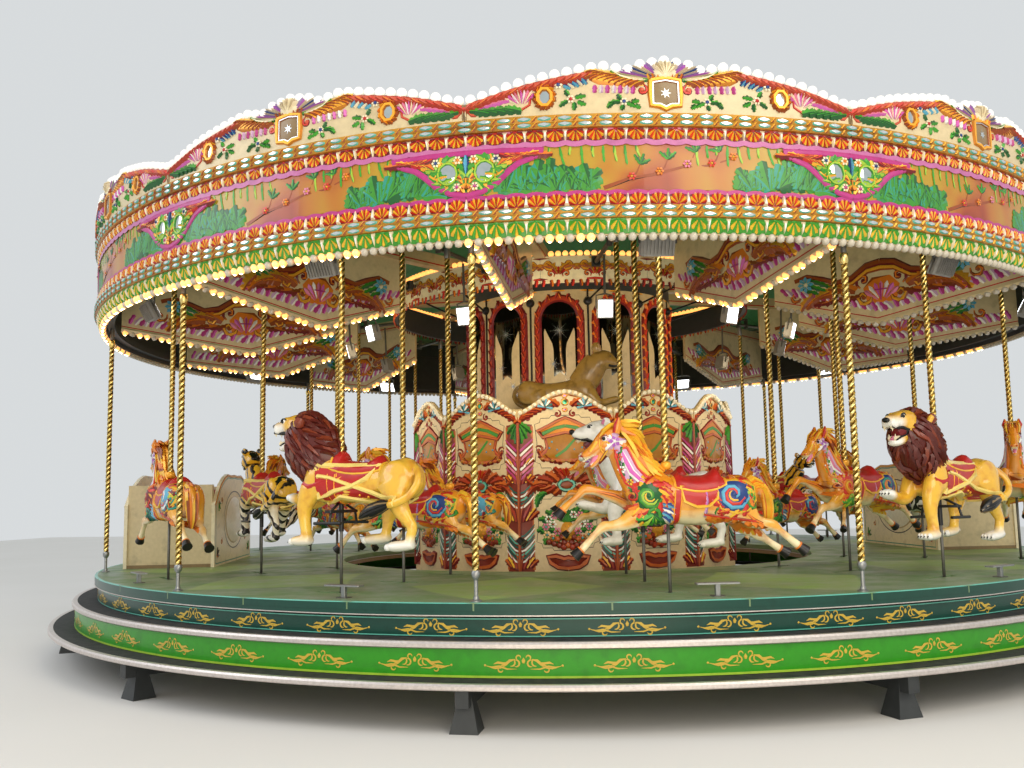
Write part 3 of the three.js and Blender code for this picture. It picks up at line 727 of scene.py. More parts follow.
def hoop(shape, profile, wears, steps, start=0.0, end=math.tau, place=None):
    """A moulding swept round the mast: its profile is closed, points of radius and height.
    wears is one finish or one for each side of the profile."""
    count = len(profile)
    full = abs(end - start - math.tau) < 1e-6
    rows = steps if full else steps + 1
    points = []
    for i in range(rows):
        angle = start + (end - start) * i / steps
        points += [polar(angle, radius, height) for radius, height in profile]
    faces = []
    worn = []
    for i in range(steps):
        a, b = i * count, (i + 1) % rows * count
        for j in range(count):
            k = (j + 1) % count
            faces.append((a + j, b + j, b + k, a + k))
            worn.append(wears if isinstance(wears, str) else wears[j])
    if not full:
        faces += [tuple(reversed(range(count))), tuple(range((rows - 1) * count, rows * count))]
        worn += [worn[0]] * 2
    shape.add(points, faces, worn, place)


# Carving: paths and outlines lie in a board's plane, and place carries them onto the board

def ridge(shape, path, widths, place, light, dark, rise=0.55):
    """A carved ridge along a path: a light crest between flanks in the dark paint, which is painted shade
    where it is a darker copy of the crest's colour.
    """
    path = [Vector(p) for p in path]
    if not hasattr(widths, "__len__"):
        widths = [widths] * len(path)
    points = []
    last = len(path) - 1
    for i, (point, width) in enumerate(zip(path, widths)):
        along = path[min(i + 1, last)] - path[max(i - 1, 0)]
        across = Vector((-along.y, along.x)).normalized() * width
        for share, height in ((-1, 0), (-0.5, 0.9), (0.5, 0.9), (1, 0)):
            flat = point + across * share
            points.append((flat.x, flat.y, height * rise * width))
    faces = []
    worn = []
    for i in range(last):
        # The flanks take the dark paint and the crest the light one: painted shade on the flanks
        for j, wear in ((0, dark), (1, light), (2, dark)):
            a, b = 4 * i + j, 4 * (i + 1) + j
            faces.append((a, b, b + 1, a + 1))
            worn.append(wear)
    shape.add(points, faces, worn, place)


def curl(at, radius, start, turns, steps=11, tail=0.12, hand=1):
    """A spiral path that starts on the rim of a circle and winds in to its middle."""
    path = []
    for i in range(steps + 1):
        share = i / steps
        reach = radius * (1 - share * (1 - tail))
        turn = start + hand * math.tau * turns * share
        path.append((at[0] + reach * math.cos(turn), at[1] + reach * math.sin(turn)))
    return path


def arc(at, radius, start, end, steps=8):
    """Points along an arc."""
    return [(at[0] + radius * math.cos(start + (end - start) * i / steps),
             at[1] + radius * math.sin(start + (end - start) * i / steps)) for i in range(steps + 1)]


def taper(count, width, end=0.25, start=1.0):
    """Widths along a path: from start to full to end, as shares of width."""
    widths = []
    for i in range(count):
        share = i / (count - 1)
        swell = min(1.0, start + (1 - start) * share * 4)
        widths.append(width * swell * (1 - (1 - end) * share))
    return widths


def scroll(shape, place, at, radius, start, turns, light, dark, width=0.25, hand=1, steps=11):
    """A carved volute that ends in a round eye."""
    path = curl(at, radius, start, turns, steps, 0.12, hand)
    ridge(shape, path, taper(len(path), radius * width, 0.45, 0.3), place, light, dark)
    boss(shape, place, at, radius * width * 0.8, dark)


def boss(shape, place, at, radius, wears, sides=8, rise=0.6):
    """A round or oval button."""
    if not hasattr(radius, "__len__"):
        radius = (radius, radius)
    points = []
    for share, height in ((1.0, 0.0), (0.7, 0.75)):
        for j in range(sides):
            turn = math.tau * (j + 0.5) / sides
            points.append((at[0] + radius[0] * share * math.cos(turn), at[1] + radius[1] * share
                           * math.sin(turn), height * rise * min(radius)))
    points.append((at[0], at[1], rise * min(radius)))
    faces = [(j, (j + 1) % sides, sides + (j + 1) % sides, sides + j) for j in range(sides)]
    faces += [(sides + j, sides + (j + 1) % sides, 2 * sides) for j in range(sides)]
    shape.add(points, faces, wears, place)


def field(shape, place, outline, light, dark=None, rise=0.012, shoulder=0.82, base=0.0):
    """A raised panel: a gently domed light face inside a sloping edge in the dark paint, which is painted
    shade where it is a darker copy of the face's colour.
    """
    count = len(outline)
    middle = Vector((sum(p[0] for p in outline) / count, sum(p[1] for p in outline) / count))
    points = [(x, y, base) for x, y in outline]
    points += [(middle.x + (x - middle.x) * shoulder, middle.y + (y - middle.y) * shoulder, base + rise)
               for x, y in outline]
    points.append((middle.x, middle.y, base + rise * 1.25))
    faces = [(i, (i + 1) % count, count + (i + 1) % count, count + i) for i in range(count)]
    # The sloping edge takes the dark paint: painted shade on the bevel
    worn = [dark or light] * count
    faces += [(count + i, count + (i + 1) % count, 2 * count) for i in range(count)]
    shape.add(points, faces, worn + [light] * count, place)


def leaf(shape, place, at, angle, length, width, light, dark, lobes=3, bend=0.0, rise=0.35):
    """An acanthus leaf: a raised bent rib with a light half and a dark half, each cut into lobes; the dark
    half is painted shade on one side of the rib where it is a darker copy of the light half.
    """
    steps = 2 * lobes
    points = []
    heading = angle
    spine = Vector(at)
    for i in range(steps + 1):
        share = i / steps
        notch = 1.0 if i % 2 else 0.62
        spread = width * math.sin(math.pi * (0.12 + 0.88 * share)) ** 0.7 * (notch if 0 < i < steps else 1)
        spread = 0.002 if i == steps else spread
        out = Vector((-math.sin(heading), math.cos(heading))) * spread
        back = Vector((math.cos(heading), math.sin(heading))) * (length / steps * 0.5 if i % 2 else 0)
        left, right = spine + out + back, spine - out + back
        points += [(left.x, left.y, 0.002), (spine.x, spine.y, rise * width + 0.002),
                   (right.x, right.y, 0.002)]
        heading = angle + bend * share
        spine = spine + Vector((math.cos(heading), math.sin(heading))) * (length / steps)
    faces = []
    worn = []
    for i in range(steps):
        a, b = 3 * i, 3 * (i + 1)
        faces += [(a + 1, b + 1, b, a), (a + 2, b + 2, b + 1, a + 1)]
        # Light half and dark half: painted shade on one side of the rib
        worn += [light, dark]
    shape.add(points, faces, worn, place)


def fan(shape, place, at, radius, start, end, ribs, paints, hem=0.0, rise=0.012, inner=0.18):
    """A shell of wedge-shaped ribs, its paints taken in turn, with rounded rib ends."""
    for i in range(ribs):
        low = start + (end - start) * i / ribs
        high = start + (end - start) * (i + 1) / ribs
        middle = (low + high) / 2
        points = []
        for turn, reach, height in ((low, inner, 0.0), (high, inner, 0.0), (high, 0.9, 0.0),
                                    (middle, 1.0 + hem, 0.3), (low, 0.9, 0.0), (middle, inner, 0.5),
                                    (middle, 0.85, 1.0)):
            points.append((at[0] + radius * reach * math.cos(turn), at[1] + radius * reach * math.sin(turn),
                           0.002 + rise * height))
        faces = [(0, 5, 6, 4), (5, 1, 2, 6), (6, 2, 3), (4, 6, 3)]
        if end < start:
            faces = [tuple(reversed(face)) for face in faces]
        shape.add(points, faces, paints[i % len(paints)], place)


def flower(shape, place, at, radius, petal, heart, petals=6):
    """A rosette of pointed petals round a button."""
    points = []
    faces = []
    for i in range(petals):
        turn = math.tau * i / petals
        for reach, offset, height in ((0.25, 0, 0.25), (0.72, -0.42, 0.3), (1.0, 0, 0.12),
                                      (0.72, 0.42, 0.3)):
            bearing = turn + offset * math.tau / petals
            points.append((at[0] + radius * reach * math.cos(bearing), at[1] + radius * reach
                           * math.sin(bearing), 0.003 + height * radius))
        a = 4 * i
        faces.append((a, a + 1, a + 2, a + 3))
    shape.add(points, faces, petal, place)
    boss(shape, place, at, radius * 0.34, heart, 6, 1.2)


def oval(at, radii, count=16, start=0.0):
    """Points round an oval."""
    return [(at[0] + radii[0] * math.cos(start + math.tau * i / count),
             at[1] + radii[1] * math.sin(start + math.tau * i / count)) for i in range(count)]


def framed_glass(shape, place, at, radii, glass, light, dark, square=False, width=0.016):
    """A mirror or jewel in a carved frame, oval or with cut corners."""
    count = 8 if square else 16
    outline = oval(at, [r * (1.06 if square else 1.0) for r in radii], count, math.pi / 8 if square else 0.0)
    field(shape, place, outline, glass, glass, 0.006)
    loop = outline + outline[:1]
    ridge(shape, loop, width, place, light, dark, 1.0)


def starburst(shape, place, at, reach, spikes, width=0.007):
    """A star of thin silver spikes cut into glass."""
    for i in range(spikes):
        bearing = math.tau * i / spikes
        end = (at[0] + reach * (1, 0.55)[i % 2] * math.cos(bearing), at[1] + reach * (1, 0.55)[i % 2]
               * math.sin(bearing))
        stroke(shape, place, (at, end), (width, 0.001), "silver", 0.012)


def stroke(shape, place, path, widths, wears, lift=0.0025):
    """A flat brush stroke of changing width."""
    path = [Vector(p) for p in path]
    if not hasattr(widths, "__len__"):
        widths = [widths] * len(path)
    last = len(path) - 1
    points = []
    for i, (point, width) in enumerate(zip(path, widths)):
        along = path[min(i + 1, last)] - path[max(i - 1, 0)]
        across = Vector((-along.y, along.x)).normalized() * width / 2
        points += [(*(point - across), lift), (*(point + across), lift)]
    faces = [(2 * i, 2 * i + 2, 2 * i + 3, 2 * i + 1) for i in range(last)]
    shape.add(points, faces, wears, place)


def strip(shape, place, path, width, wears, lift=0.003):
    """A painted line of even width along a path."""
    stroke(shape, place, path, width, wears, lift)


def shifted(place, u0=0.0, v0=0.0, hand=1, lift=0.0):
    """A placing moved along its board, with left and right changed over where hand is -1."""
    def moved(u, v, w):
        return place(u0 + hand * u, v0 + v, lift + w)
    moved.turned = getattr(place, "turned", False) != (hand < 0)
    return moved


def drum_wall(radius):
    """Placing on an upright round board: u runs along it, v is the height and w stands out."""
    return lambda u, v, w: polar(u / radius, radius + w, v)


def flat_wall(distance):
    """Placing on a flat board that faces outwards at angle 0."""
    return lambda u, v, w: Vector((u, -distance - w, v))


def twisted_rod(shape, x, y, low, high, radius, wears="brass", starts=3, sides=12, turns=7):
    """A rope-twisted tube with three rounded strands, in so many steps a turn; faces along each groove wear
    a darker copy of the finish, painted shade.
    """
    pitch = sizes().rope_pitch
    steps = max(2, round((high - low) / pitch * turns))
    points = []
    for i in range(steps + 1):
        height = low + (high - low) * i / steps
        twist = math.tau * (height - low) / pitch
        for j in range(sides):
            turn = math.tau * j / sides
            reach = radius * (0.7 + 0.3 * abs(math.cos(starts * turn / 2)) ** 0.6)
            points.append((x + reach * math.cos(turn + twist), y + reach * math.sin(turn + twist), height))
    # Faces next to a groove wear the darker copy of the brass: painted shade in the grooves
    worn = []
    for j in range(sides):
        lowest = min(abs(math.cos(starts * math.pi * n / sides)) for n in (j, j + 1))
        worn.append(wears + "_hollow" if lowest < 0.3 else wears)
    faces = ring_faces(steps + 1, sides) + end_caps(steps + 1, sides)
    shape.add(points, faces, worn * steps + [wears] * 2)


def lamp(shape, spot, lit, sides=8, rings=4):
    """An opal lamp cap; a lit one shows its bulb."""
    ball(shape, spot, sizes().lamp_radius, "lit" if lit else "pearl", sides, rings)
    if lit:
        ball(shape, (spot[0], spot[1], spot[2] - sizes().lamp_radius * 0.42), sizes().lamp_radius * 0.66,
             "bulb", 6, 3)


def stand(x, y):
    """Placing of a turned piece at a spot."""
    return lambda u, v, w: Vector((x + u, y + v, w))


# Steps and floor

def swelling(count, width, start=0.2, end=0.15):
    """Brush widths that grow from the start to the middle and thin out to the end."""
    widths = []
    for i in range(count):
        share = i / (count - 1)
        edge = start if share < 0.5 else end
        widths.append(width * (edge + (1 - edge) * math.sin(math.pi * share) ** 0.7))
    return widths


RISER_ARCS = (  # centre, radius, start and end in degrees, brush width
    ((0.036, 0.046), 0.017, -70, 190, 0.011),
    ((0.054, 0.006), 0.024, 70, 300, 0.013),
    ((0.168, -0.038), 0.018, 60, -170, 0.011),
    ((0.088, 0.012), 0.026, 120, 290, 0.012),
)
RISER_STROKES = (  # points, brush width
    (((0.06, 0.035), (0.1, 0.026), (0.13, 0.0), (0.17, -0.012)), 0.022),
    (((0.1, 0.012), (0.15, 0.006), (0.19, 0.012), (0.22, 0.0)), 0.018),
    (((0.05, -0.034), (0.12, -0.034), (0.18, -0.014), (0.235, -0.022), (0.285, -0.01)), 0.013),
    (((0.13, -0.01), (0.17, -0.026), (0.21, -0.03), (0.24, -0.026)), 0.012),
)


def riser_motif(shape, place, at, wears):
    """A gold acanthus spray: a bud between two runs of leaves."""
    for hand in (-1, 1):
        across = shifted(place, at[0], at[1], hand)
        for centre, radius, start, end, width in RISER_ARCS:
            path = arc(centre, radius, math.radians(start), math.radians(end))
            stroke(shape, across, path, swelling(len(path), width), wears)
        for path, width in RISER_STROKES:
            stroke(shape, across, path, swelling(len(path), width), wears, 0.003)
        boss(shape, across, (0.284, -0.01), 0.009, wears, 6, 0.3)
    bud = [(0, 0.048), (-0.014, 0.026), (-0.008, 0.006), (0.008, 0.006), (0.014, 0.026)]
    field(shape, shifted(place, *at), bud, wears, wears, 0.003)


NOSING_DEPTH = 0.055
RISER_MOTIFS = (-1.21, -0.41, 0.41, 1.21)
ROUND_STEPS = 288


def tread(name, inner, outer, foot, top):
    """A rubber-topped tread with an aluminium nosing, dark below."""
    shape = Shape()
    lip = outer - NOSING_DEPTH
    hoop(shape, [(inner, foot), (lip, foot), (lip, top - 0.003), (inner, top - 0.003)],
         ["dark_paint", "dark_paint", "rubber", "dark_paint"], ROUND_STEPS)
    rounding = 0.008
    hoop(shape, [(lip, foot), (outer - rounding, foot), (outer, foot + rounding), (outer, top - 0.015),
                 (outer - 0.012, top), (lip, top)], "alloy", ROUND_STEPS)
    put(name + "_dressed", sharpen(shape.mesh(name)), "base", name, "rubber_tread")


def riser(name, slot, face, foot, top, paint, lines):
    """An enamelled riser with painted lines and gold sprays."""
    shape = Shape()
    hoop(shape, [(face - 0.03, foot), (face, foot), (face, top), (face - 0.03, top)], paint, ROUND_STEPS)
    for low, high, wear in lines:
        hoop(shape, [(face, low), (face + 0.002, low), (face + 0.002, high), (face, high)], wear,
             ROUND_STEPS)
    middle = (foot + top) / 2 - 0.004
    for k in range(SECTIONS):
        for u in RISER_MOTIFS:
            turn = (k + 0.5) * SECTION + u / face
            riser_motif(shape, lambda a, v, w: polar(turn + a / face, face + w, middle + v), (0, 0),
                        "scroll_gold")
    put(name + "_dressed", sharpen(shape.mesh(name)), "base", name, slot)


def build_steps():
    """Both treads and both risers."""
    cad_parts["ground_frame"].data.materials[0] = finish("dark_paint")
    for name in ("lower_tread", "upper_tread"):
        low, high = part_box(name)
        tread(name, 5.95 if name == "lower_tread" else 5.9, high.x, low.z, high.z)
    low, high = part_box("lower_riser")
    riser("lower_riser", "green_riser", high.x, low.z, high.z, "riser_green",
          [(low.z, low.z + 0.016, "lime")])
    low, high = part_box("upper_riser")
    lines = [(low.z + 0.002, low.z + 0.01, "teal_line"), (high.z - 0.012, high.z - 0.004, "teal_line")]
    riser("upper_riser", "teal_riser", high.x, low.z, high.z, "riser_teal", lines)


def build_floor():
    """The painted floor with its outer and inner bands, and the mounting steps."""
    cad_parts["ride_floor"].data.materials[0] = finish("deck")
    band_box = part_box("floor_edge_band")
    shape = Shape()
    face = band_box[1].x
    foot = band_box[0].z
    hoop(shape, [(face - 0.04, foot), (face - 0.004, foot), (face - 0.004, band_box[1].z),
                 (face - 0.04, band_box[1].z)],
         "riser_teal", ROUND_STEPS)
    hoop(shape, [(face - 0.004, foot), (face, foot), (face, foot + 0.008), (face - 0.004, foot + 0.008)],
         "alloy", ROUND_STEPS)
    put("floor_edge_band_dressed", sharpen(shape.mesh("floor_edge_band")), "turntable", "floor_edge_band",
        "teal_riser")
    shape = Shape()
    hoop(shape, [(face - 0.012, FLOOR_FOOT), (face - 0.0005, FLOOR_FOOT), (face - 0.0005, FLOOR_TOP - 0.006),
                 (face - 0.006, FLOOR_TOP + 0.0005), (face - 0.03, FLOOR_TOP + 0.001),
                 (face - 0.03, FLOOR_TOP)],
         ["riser_teal", "riser_teal", "teal_line", "teal_line", "teal_line", "teal_line"], ROUND_STEPS)
    put("floor_rim_paint", sharpen(shape.mesh("floor_rim")), "turntable", None, "teal_riser")
    shape = Shape()
    low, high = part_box("floor_inner_band")
    inner = FLOOR_HOLE
    hoop(shape, [(inner, low.z), (inner + 0.035, low.z), (inner + 0.035, high.z), (inner, high.z)], "tan",
         144)
    hoop(shape, [(inner - 0.001, high.z - 0.014), (inner, high.z - 0.014), (inner, high.z - 0.004),
                 (inner - 0.001, high.z - 0.004)], "alloy", 144)
    put("floor_inner_band_dressed", sharpen(shape.mesh("floor_inner_band")), "turntable", "floor_inner_band",
        "cream_board")
    build_mounting_steps()


def build_mounting_steps():
    """Steel steps on posts beside the outer animals."""
    shape = Shape()
    top = FLOOR_TOP + 0.105
    for k in range(SECTIONS):
        if k % 6 == 3:
            continue
        turn = (k + 0.5) * SECTION
        spin = Matrix.Rotation(turn, 3, "Z")

        def place(u, v, w, spin=spin):
            return spin @ Vector((u, v, w))
        reach = -(ROW_RADII[0] + 0.36)
        side = 0.34
        block(shape, (side - 0.17, reach - 0.045, top - 0.012), (side + 0.17, reach + 0.045, top), "steel",
              place, 0.006)
        block(shape, (side - 0.02, reach - 0.02, FLOOR_TOP), (side + 0.02, reach + 0.02, top - 0.012),
              "steel", place, 0.004)
        block(shape, (side - 0.05, reach - 0.05, FLOOR_TOP), (side + 0.05, reach + 0.05, FLOOR_TOP + 0.006),
              "old_steel", place, 0.01)
    put("mounting_steps", sharpen(shape.mesh("mounting_steps")), "turntable", None, "steel")


def build_rim_poles():
    """Twelve rope-twisted poles with a turned collar and ball above a plain foot rod."""
    shape = Shape()
    top = CORNICE_FOOT + 0.05
    foot = FLOOR_TOP + 0.18
    for k in range(SECTIONS):
        spot = polar(k * SECTION, RIM_POLE_CIRCLE, 0)
        x, y = spot.x, spot.y
        twisted_rod(shape, x, y, foot + 0.05, top - 0.2, POLE_RADIUS)
        lathe(shape, [(0.026, top - 0.22), (0.036, top - 0.2), (0.038, top - 0.17), (0.034, top - 0.14),
                      (0.024, top - 0.13)],
              "brass", 14, stand(x, y))
        lathe(shape, [(0.024, top - 0.13), (0.024, top)], "old_steel", 12, stand(x, y))
        collar = [(0.016, -0.02), (0.03, 0.0), (0.036, 0.02), (0.036, 0.04), (0.028, 0.055)]
        lathe(shape, [(r, foot + h) for r, h in collar], "steel", 14, stand(x, y))
        lathe(shape, [(0.016, FLOOR_TOP + 0.0004), (0.016, foot)], "steel", 12, stand(x, y))
        lathe(shape, [(0.045, FLOOR_TOP + 0.0004), (0.045, FLOOR_TOP + 0.01), (0.024, FLOOR_TOP + 0.018),
                      (0.022, FLOOR_TOP + 0.04)], "steel", 14, stand(x, y))
    rim = node_top("rim_poles")
    hoop(shape, [(5.87, rim - 0.08), (5.955, rim - 0.08), (5.955, rim), (5.87, rim)], "dark_paint", 144)
    put("rim_poles_twisted", sharpen(shape.mesh("rim_poles"), 50), "turntable", "rim_poles", "twisted_brass")


# Rounding boards: one section's carving is made once and stands twelve times round the ride

MOTIF_PITCH = 3.15 / 20  # of the fans, pillars and lozenges
SECTION_STEPS = 24
JOINT_GAP = 0.0006  # half the angle of the seam between two boards


def board(profile, wears, name, slot, node, carve):
    """Twelve boards swept from a profile, each with the same carving."""
    shape = Shape()
    hoop(shape, profile, wears, SECTION_STEPS, -HALF_SECTION + JOINT_GAP, HALF_SECTION - JOINT_GAP)
    carve(shape)
    mesh = sharpen(shape.mesh(name, BOARD_KEEP))
    for k in range(SECTIONS):
        put(f"{name}_{k + 1:02d}", mesh, "turntable", node, slot, (k + 0.5) * SECTION)


def leaning_wall(low, high):
    """Placing on a board that leans from one (radius, height) to another."""
    lean = (high[0] - low[0]) / (high[1] - low[1])
    return lambda u, v, w: polar(u / low[0], low[0] + lean * (v - low[1]) + w, v)


def along_section(radius, pitch=MOTIF_PITCH):
    """Places of a repeated motif along one section."""
    count = round(2 * HALF_SECTION * radius / pitch)
    pitch = 2 * HALF_SECTION * radius / count
    return [(-HALF_SECTION * radius + (i + 0.5) * pitch, pitch) for i in range(count)]


def fan_frieze(shape, place, radius, foot, top, up, ribs, ground):
    """A row of small shells between white pillars."""
    height = top - foot
    for u, pitch in along_section(radius):
        hub = (u, foot + 0.004) if up else (u, top - 0.004)
        spread = (math.radians(172), math.radians(8)) if up else (math.radians(188), math.radians(352))
        wall = [(u - pitch / 2, foot), (u + pitch / 2, foot), (u + pitch / 2, top), (u - pitch / 2, top)]
        shape.add([(*p, 0.0012) for p in wall], [(0, 1, 2, 3)], ground, place)

        def squeezed(a, b, w, hub=hub):
            return place(hub[0] + (a - hub[0]) * 0.98 * pitch / (2 * height), b, w)
        fan(shape, squeezed, hub, height * 0.99, *spread, len(ribs), ribs, 0.03, 0.016)
        boss(shape, place, hub, (0.02, 0.012), ribs[0], 6)
        edge = u + pitch / 2
        thin, thick = (0.006, 0.02) if up else (0.02, 0.006)
        pillar = [(edge - thick, foot), (edge + thick, foot), (edge + thin, top), (edge - thin, top)]
        field(shape, place, pillar, "white", "ivory", 0.02, 0.6)


def lozenge_moulding(shape, place, radius, rows):
    """Two rows of silver lozenges on a gilt moulding."""
    for v in rows:
        for u, pitch in along_section(radius):
            outline = oval((u + pitch / 2, v), (0.062, 0.0185), 8, math.pi / 8)
            field(shape, place, outline, "silver", "teal_line", 0.012, 0.74)
            leaf(shape, place, (u - 0.018, v - 0.019), 0.82, 0.055, 0.016, "gold", "russet", 2, 0.0, 0.5)


def scalloped_edge(shape, place, radius, v, hang, width, wears):
    """A wavy painted line with a dip at each shell."""
    path = []
    for u, pitch in along_section(radius):
        for share in (0.0, 0.25, 0.5, 0.75):
            path.append((u + (share - 0.5) * pitch, v + hang * math.sin(math.pi * share)))
    path.append((u + pitch / 2, v))
    strip(shape, place, path, width, wears, 0.006)


FAN_REDS = ("crimson", "yellow", "scarlet", "yellow", "crimson", "yellow", "scarlet", "yellow", "crimson")
FAN_GREENS = ("fringe_green", "yellow", "fringe_green", "yellow", "fringe_green", "yellow", "fringe_green")


def build_lower_cornice():
    """Leaf frieze, lozenge moulding and fan frieze over a lamp hem."""
    foot = CORNICE_FOOT
    leaf_top, bead_top, fan_top = foot + 0.112, foot + 0.214, node_top("lower_cornice")
    profile = [(5.96, foot), (6.012, foot), (6.03, foot + 0.05), (6.05, leaf_top), (6.072, leaf_top + 0.004),
               (6.084, leaf_top + 0.026), (6.072, leaf_top + 0.05), (6.084, leaf_top + 0.076),
               (6.07, bead_top), (6.045, bead_top + 0.003), (6.04, fan_top), (5.96, fan_top)]
    wears = ["dark_paint", "fringe_green", "fringe_green", "old_gold", "moulding", "moulding", "moulding",
             "moulding", "old_gold", "crimson", "dark_paint", "dark_paint"]

    def carve(shape):
        leaves = leaning_wall((6.014, foot), (6.05, leaf_top))
        fan_frieze(shape, leaves, 6.03, foot + 0.004, leaf_top - 0.002, False, FAN_GREENS, "leaf_green")
        lozenge_moulding(shape, drum_wall(6.078), 6.08, (leaf_top + 0.025, leaf_top + 0.077))
        shells = drum_wall(6.044)
        fan_frieze(shape, shells, 6.044, bead_top + 0.004, fan_top - 0.018, True, FAN_REDS, "maroon")
        scalloped_edge(shape, shells, 6.044, fan_top - 0.026, 0.016, 0.032, "magenta")
    board(profile, wears, "lower_cornice_carved", "gilt_carving", "lower_cornice", carve)


def build_upper_cornice():
    """Fan frieze and lozenge moulding under the crown."""
    foot, top = node_foot("upper_cornice"), node_top("upper_cornice")
    fan_foot, bead_foot = foot + 0.03, foot + 0.128
    profile = [(5.96, foot), (6.044, foot), (6.05, bead_foot), (6.078, bead_foot + 0.004),
               (6.094, bead_foot + 0.028), (6.08, bead_foot + 0.052), (6.093, bead_foot + 0.078),
               (6.08, top), (5.96, top)]
    wears = ["dark_paint", "pink", "old_gold", "moulding", "moulding", "moulding", "moulding", "old_gold",
             "dark_paint"]

    def carve(shape):
        shells = leaning_wall((6.044, foot), (6.05, bead_foot))
        fan_frieze(shape, shells, 6.048, fan_foot, bead_foot - 0.002, False, FAN_REDS, "maroon")
        scalloped_edge(shape, shells, 6.046, fan_foot - 0.01, -0.016, 0.042, "rose")
        lozenge_moulding(shape, drum_wall(6.086), 6.09, (bead_foot + 0.028, bead_foot + 0.077))
    board(profile, wears, "upper_cornice_carved", "gilt_carving", "upper_cornice", carve)


WING_EDGE = ((0.0, 0.352), (0.3, 0.35), (0.62, 0.338), (0.6, 0.312), (0.42, 0.245), (0.34, 0.185),
             (0.25, 0.1), (0.13, 0.035), (0.0, 0.008))


def joint_cartouche(shape, place, end, hand):
    """One half of the shield over a joint: end is the joint, and hand points into the section."""
    half = shifted(place, end, PICTURE_FOOT, hand, 0.012)
    loop = [Vector(p) for p in WING_EDGE]
    field(shape, half, [tuple(p) for p in reversed(loop)], "fringe_green", "maroon", 0.004, 0.98, -0.012)
    ridge(shape, WING_EDGE, 0.025, half, "magenta", "magenta", 0.4)
    for i in range(8):
        leaf(shape, half, (0.27 + 0.042 * i, 0.325 - 0.002 * i), -0.45 + 0.03 * i, 0.13, 0.036,
             ("scarlet", "orange", "coral")[i % 3], "maroon", 3, 0.5)
    for i in range(6):
        leaf(shape, half, (0.26 + 0.045 * i, 0.235 + 0.014 * i), 0.75 - 0.06 * i, 0.11, 0.036,
             ("orange", "yellow")[i % 2], "crimson", 3, -0.6)
    for i in range(7):
        at = WING_EDGE[4 + i // 2]
        after = WING_EDGE[5 + i // 2]
        share = 0.5 * (i % 2)
        spot = (at[0] + (after[0] - at[0]) * share - 0.05, at[1] + (after[1] - at[1]) * share + 0.02)
        leaf(shape, half, spot, 3.2 - 0.15 * i, 0.1, 0.036, ("gold", "lime", "fringe_green")[i % 3],
             "leaf_green", 3, 0.6)
    for turn in range(0, 360, 24):
        bearing = math.radians(turn + 20)
        spot = (0.15 + 0.1 * math.cos(bearing), 0.195 + 0.1 * math.sin(bearing))
        leaf(shape, half, spot, bearing + 0.8, 0.085, 0.03, ("lime", "gold", "fringe_green")[turn // 24 % 3],
             "leaf_green", 2, 0.8)
        boss(shape, half, spot, 0.013, ("gold", "yellow")[turn // 24 % 2], 6)
    framed_glass(shape, half, (0.15, 0.195), (0.078, 0.088), "mirror", "lime", "leaf_green", width=0.014)
    for spot, heart in (((0.245, 0.29), "navy"), ((0.072, 0.08), "magenta"), ((0.065, 0.3), "orange")):
        flower(shape, half, spot, 0.038, "ivory", heart)
        boss(shape, half, spot, 0.019, heart, 8, 1.4)
    for i in range(4):
        leaf(shape, half, (0.02, 0.03 + 0.035 * i), 1.0 - 0.1 * i, 0.085, 0.028, ("gold", "orange")[i % 2],
             "russet", 3, -0.6)
    ridge(shape, ((0.0, 0.15), (0.0, 0.06)), (0.016, 0.01), half, "gold", "russet", 0.9)
    ridge(shape, ((0.0, 0.335), (0.0, 0.27), (0.0, 0.16)), (0.014, 0.03, 0.007), half, "sky_blue", "navy",
          0.9)
    for spot in ((0.05, 0.352), (0.04, 0.01)):
        boss(shape, half, spot, 0.01, "white", 6)


def panel_leaf(shape, place, at, angle, length, rng):
    """A long soft leaf of three broad blades."""
    for offset in (-0.4, 0.0, 0.4):
        light, dark = rng.choice((("leaf_green", "deep_green"), ("mint", "leaf_green"),
                                  ("sea_green", "leaf_green")))
        leaf(shape, place, at, angle + offset, length * (1 - 0.6 * abs(offset)), length * 0.36, light, dark,
             4, rng.uniform(-0.7, 0.7), 0.08)


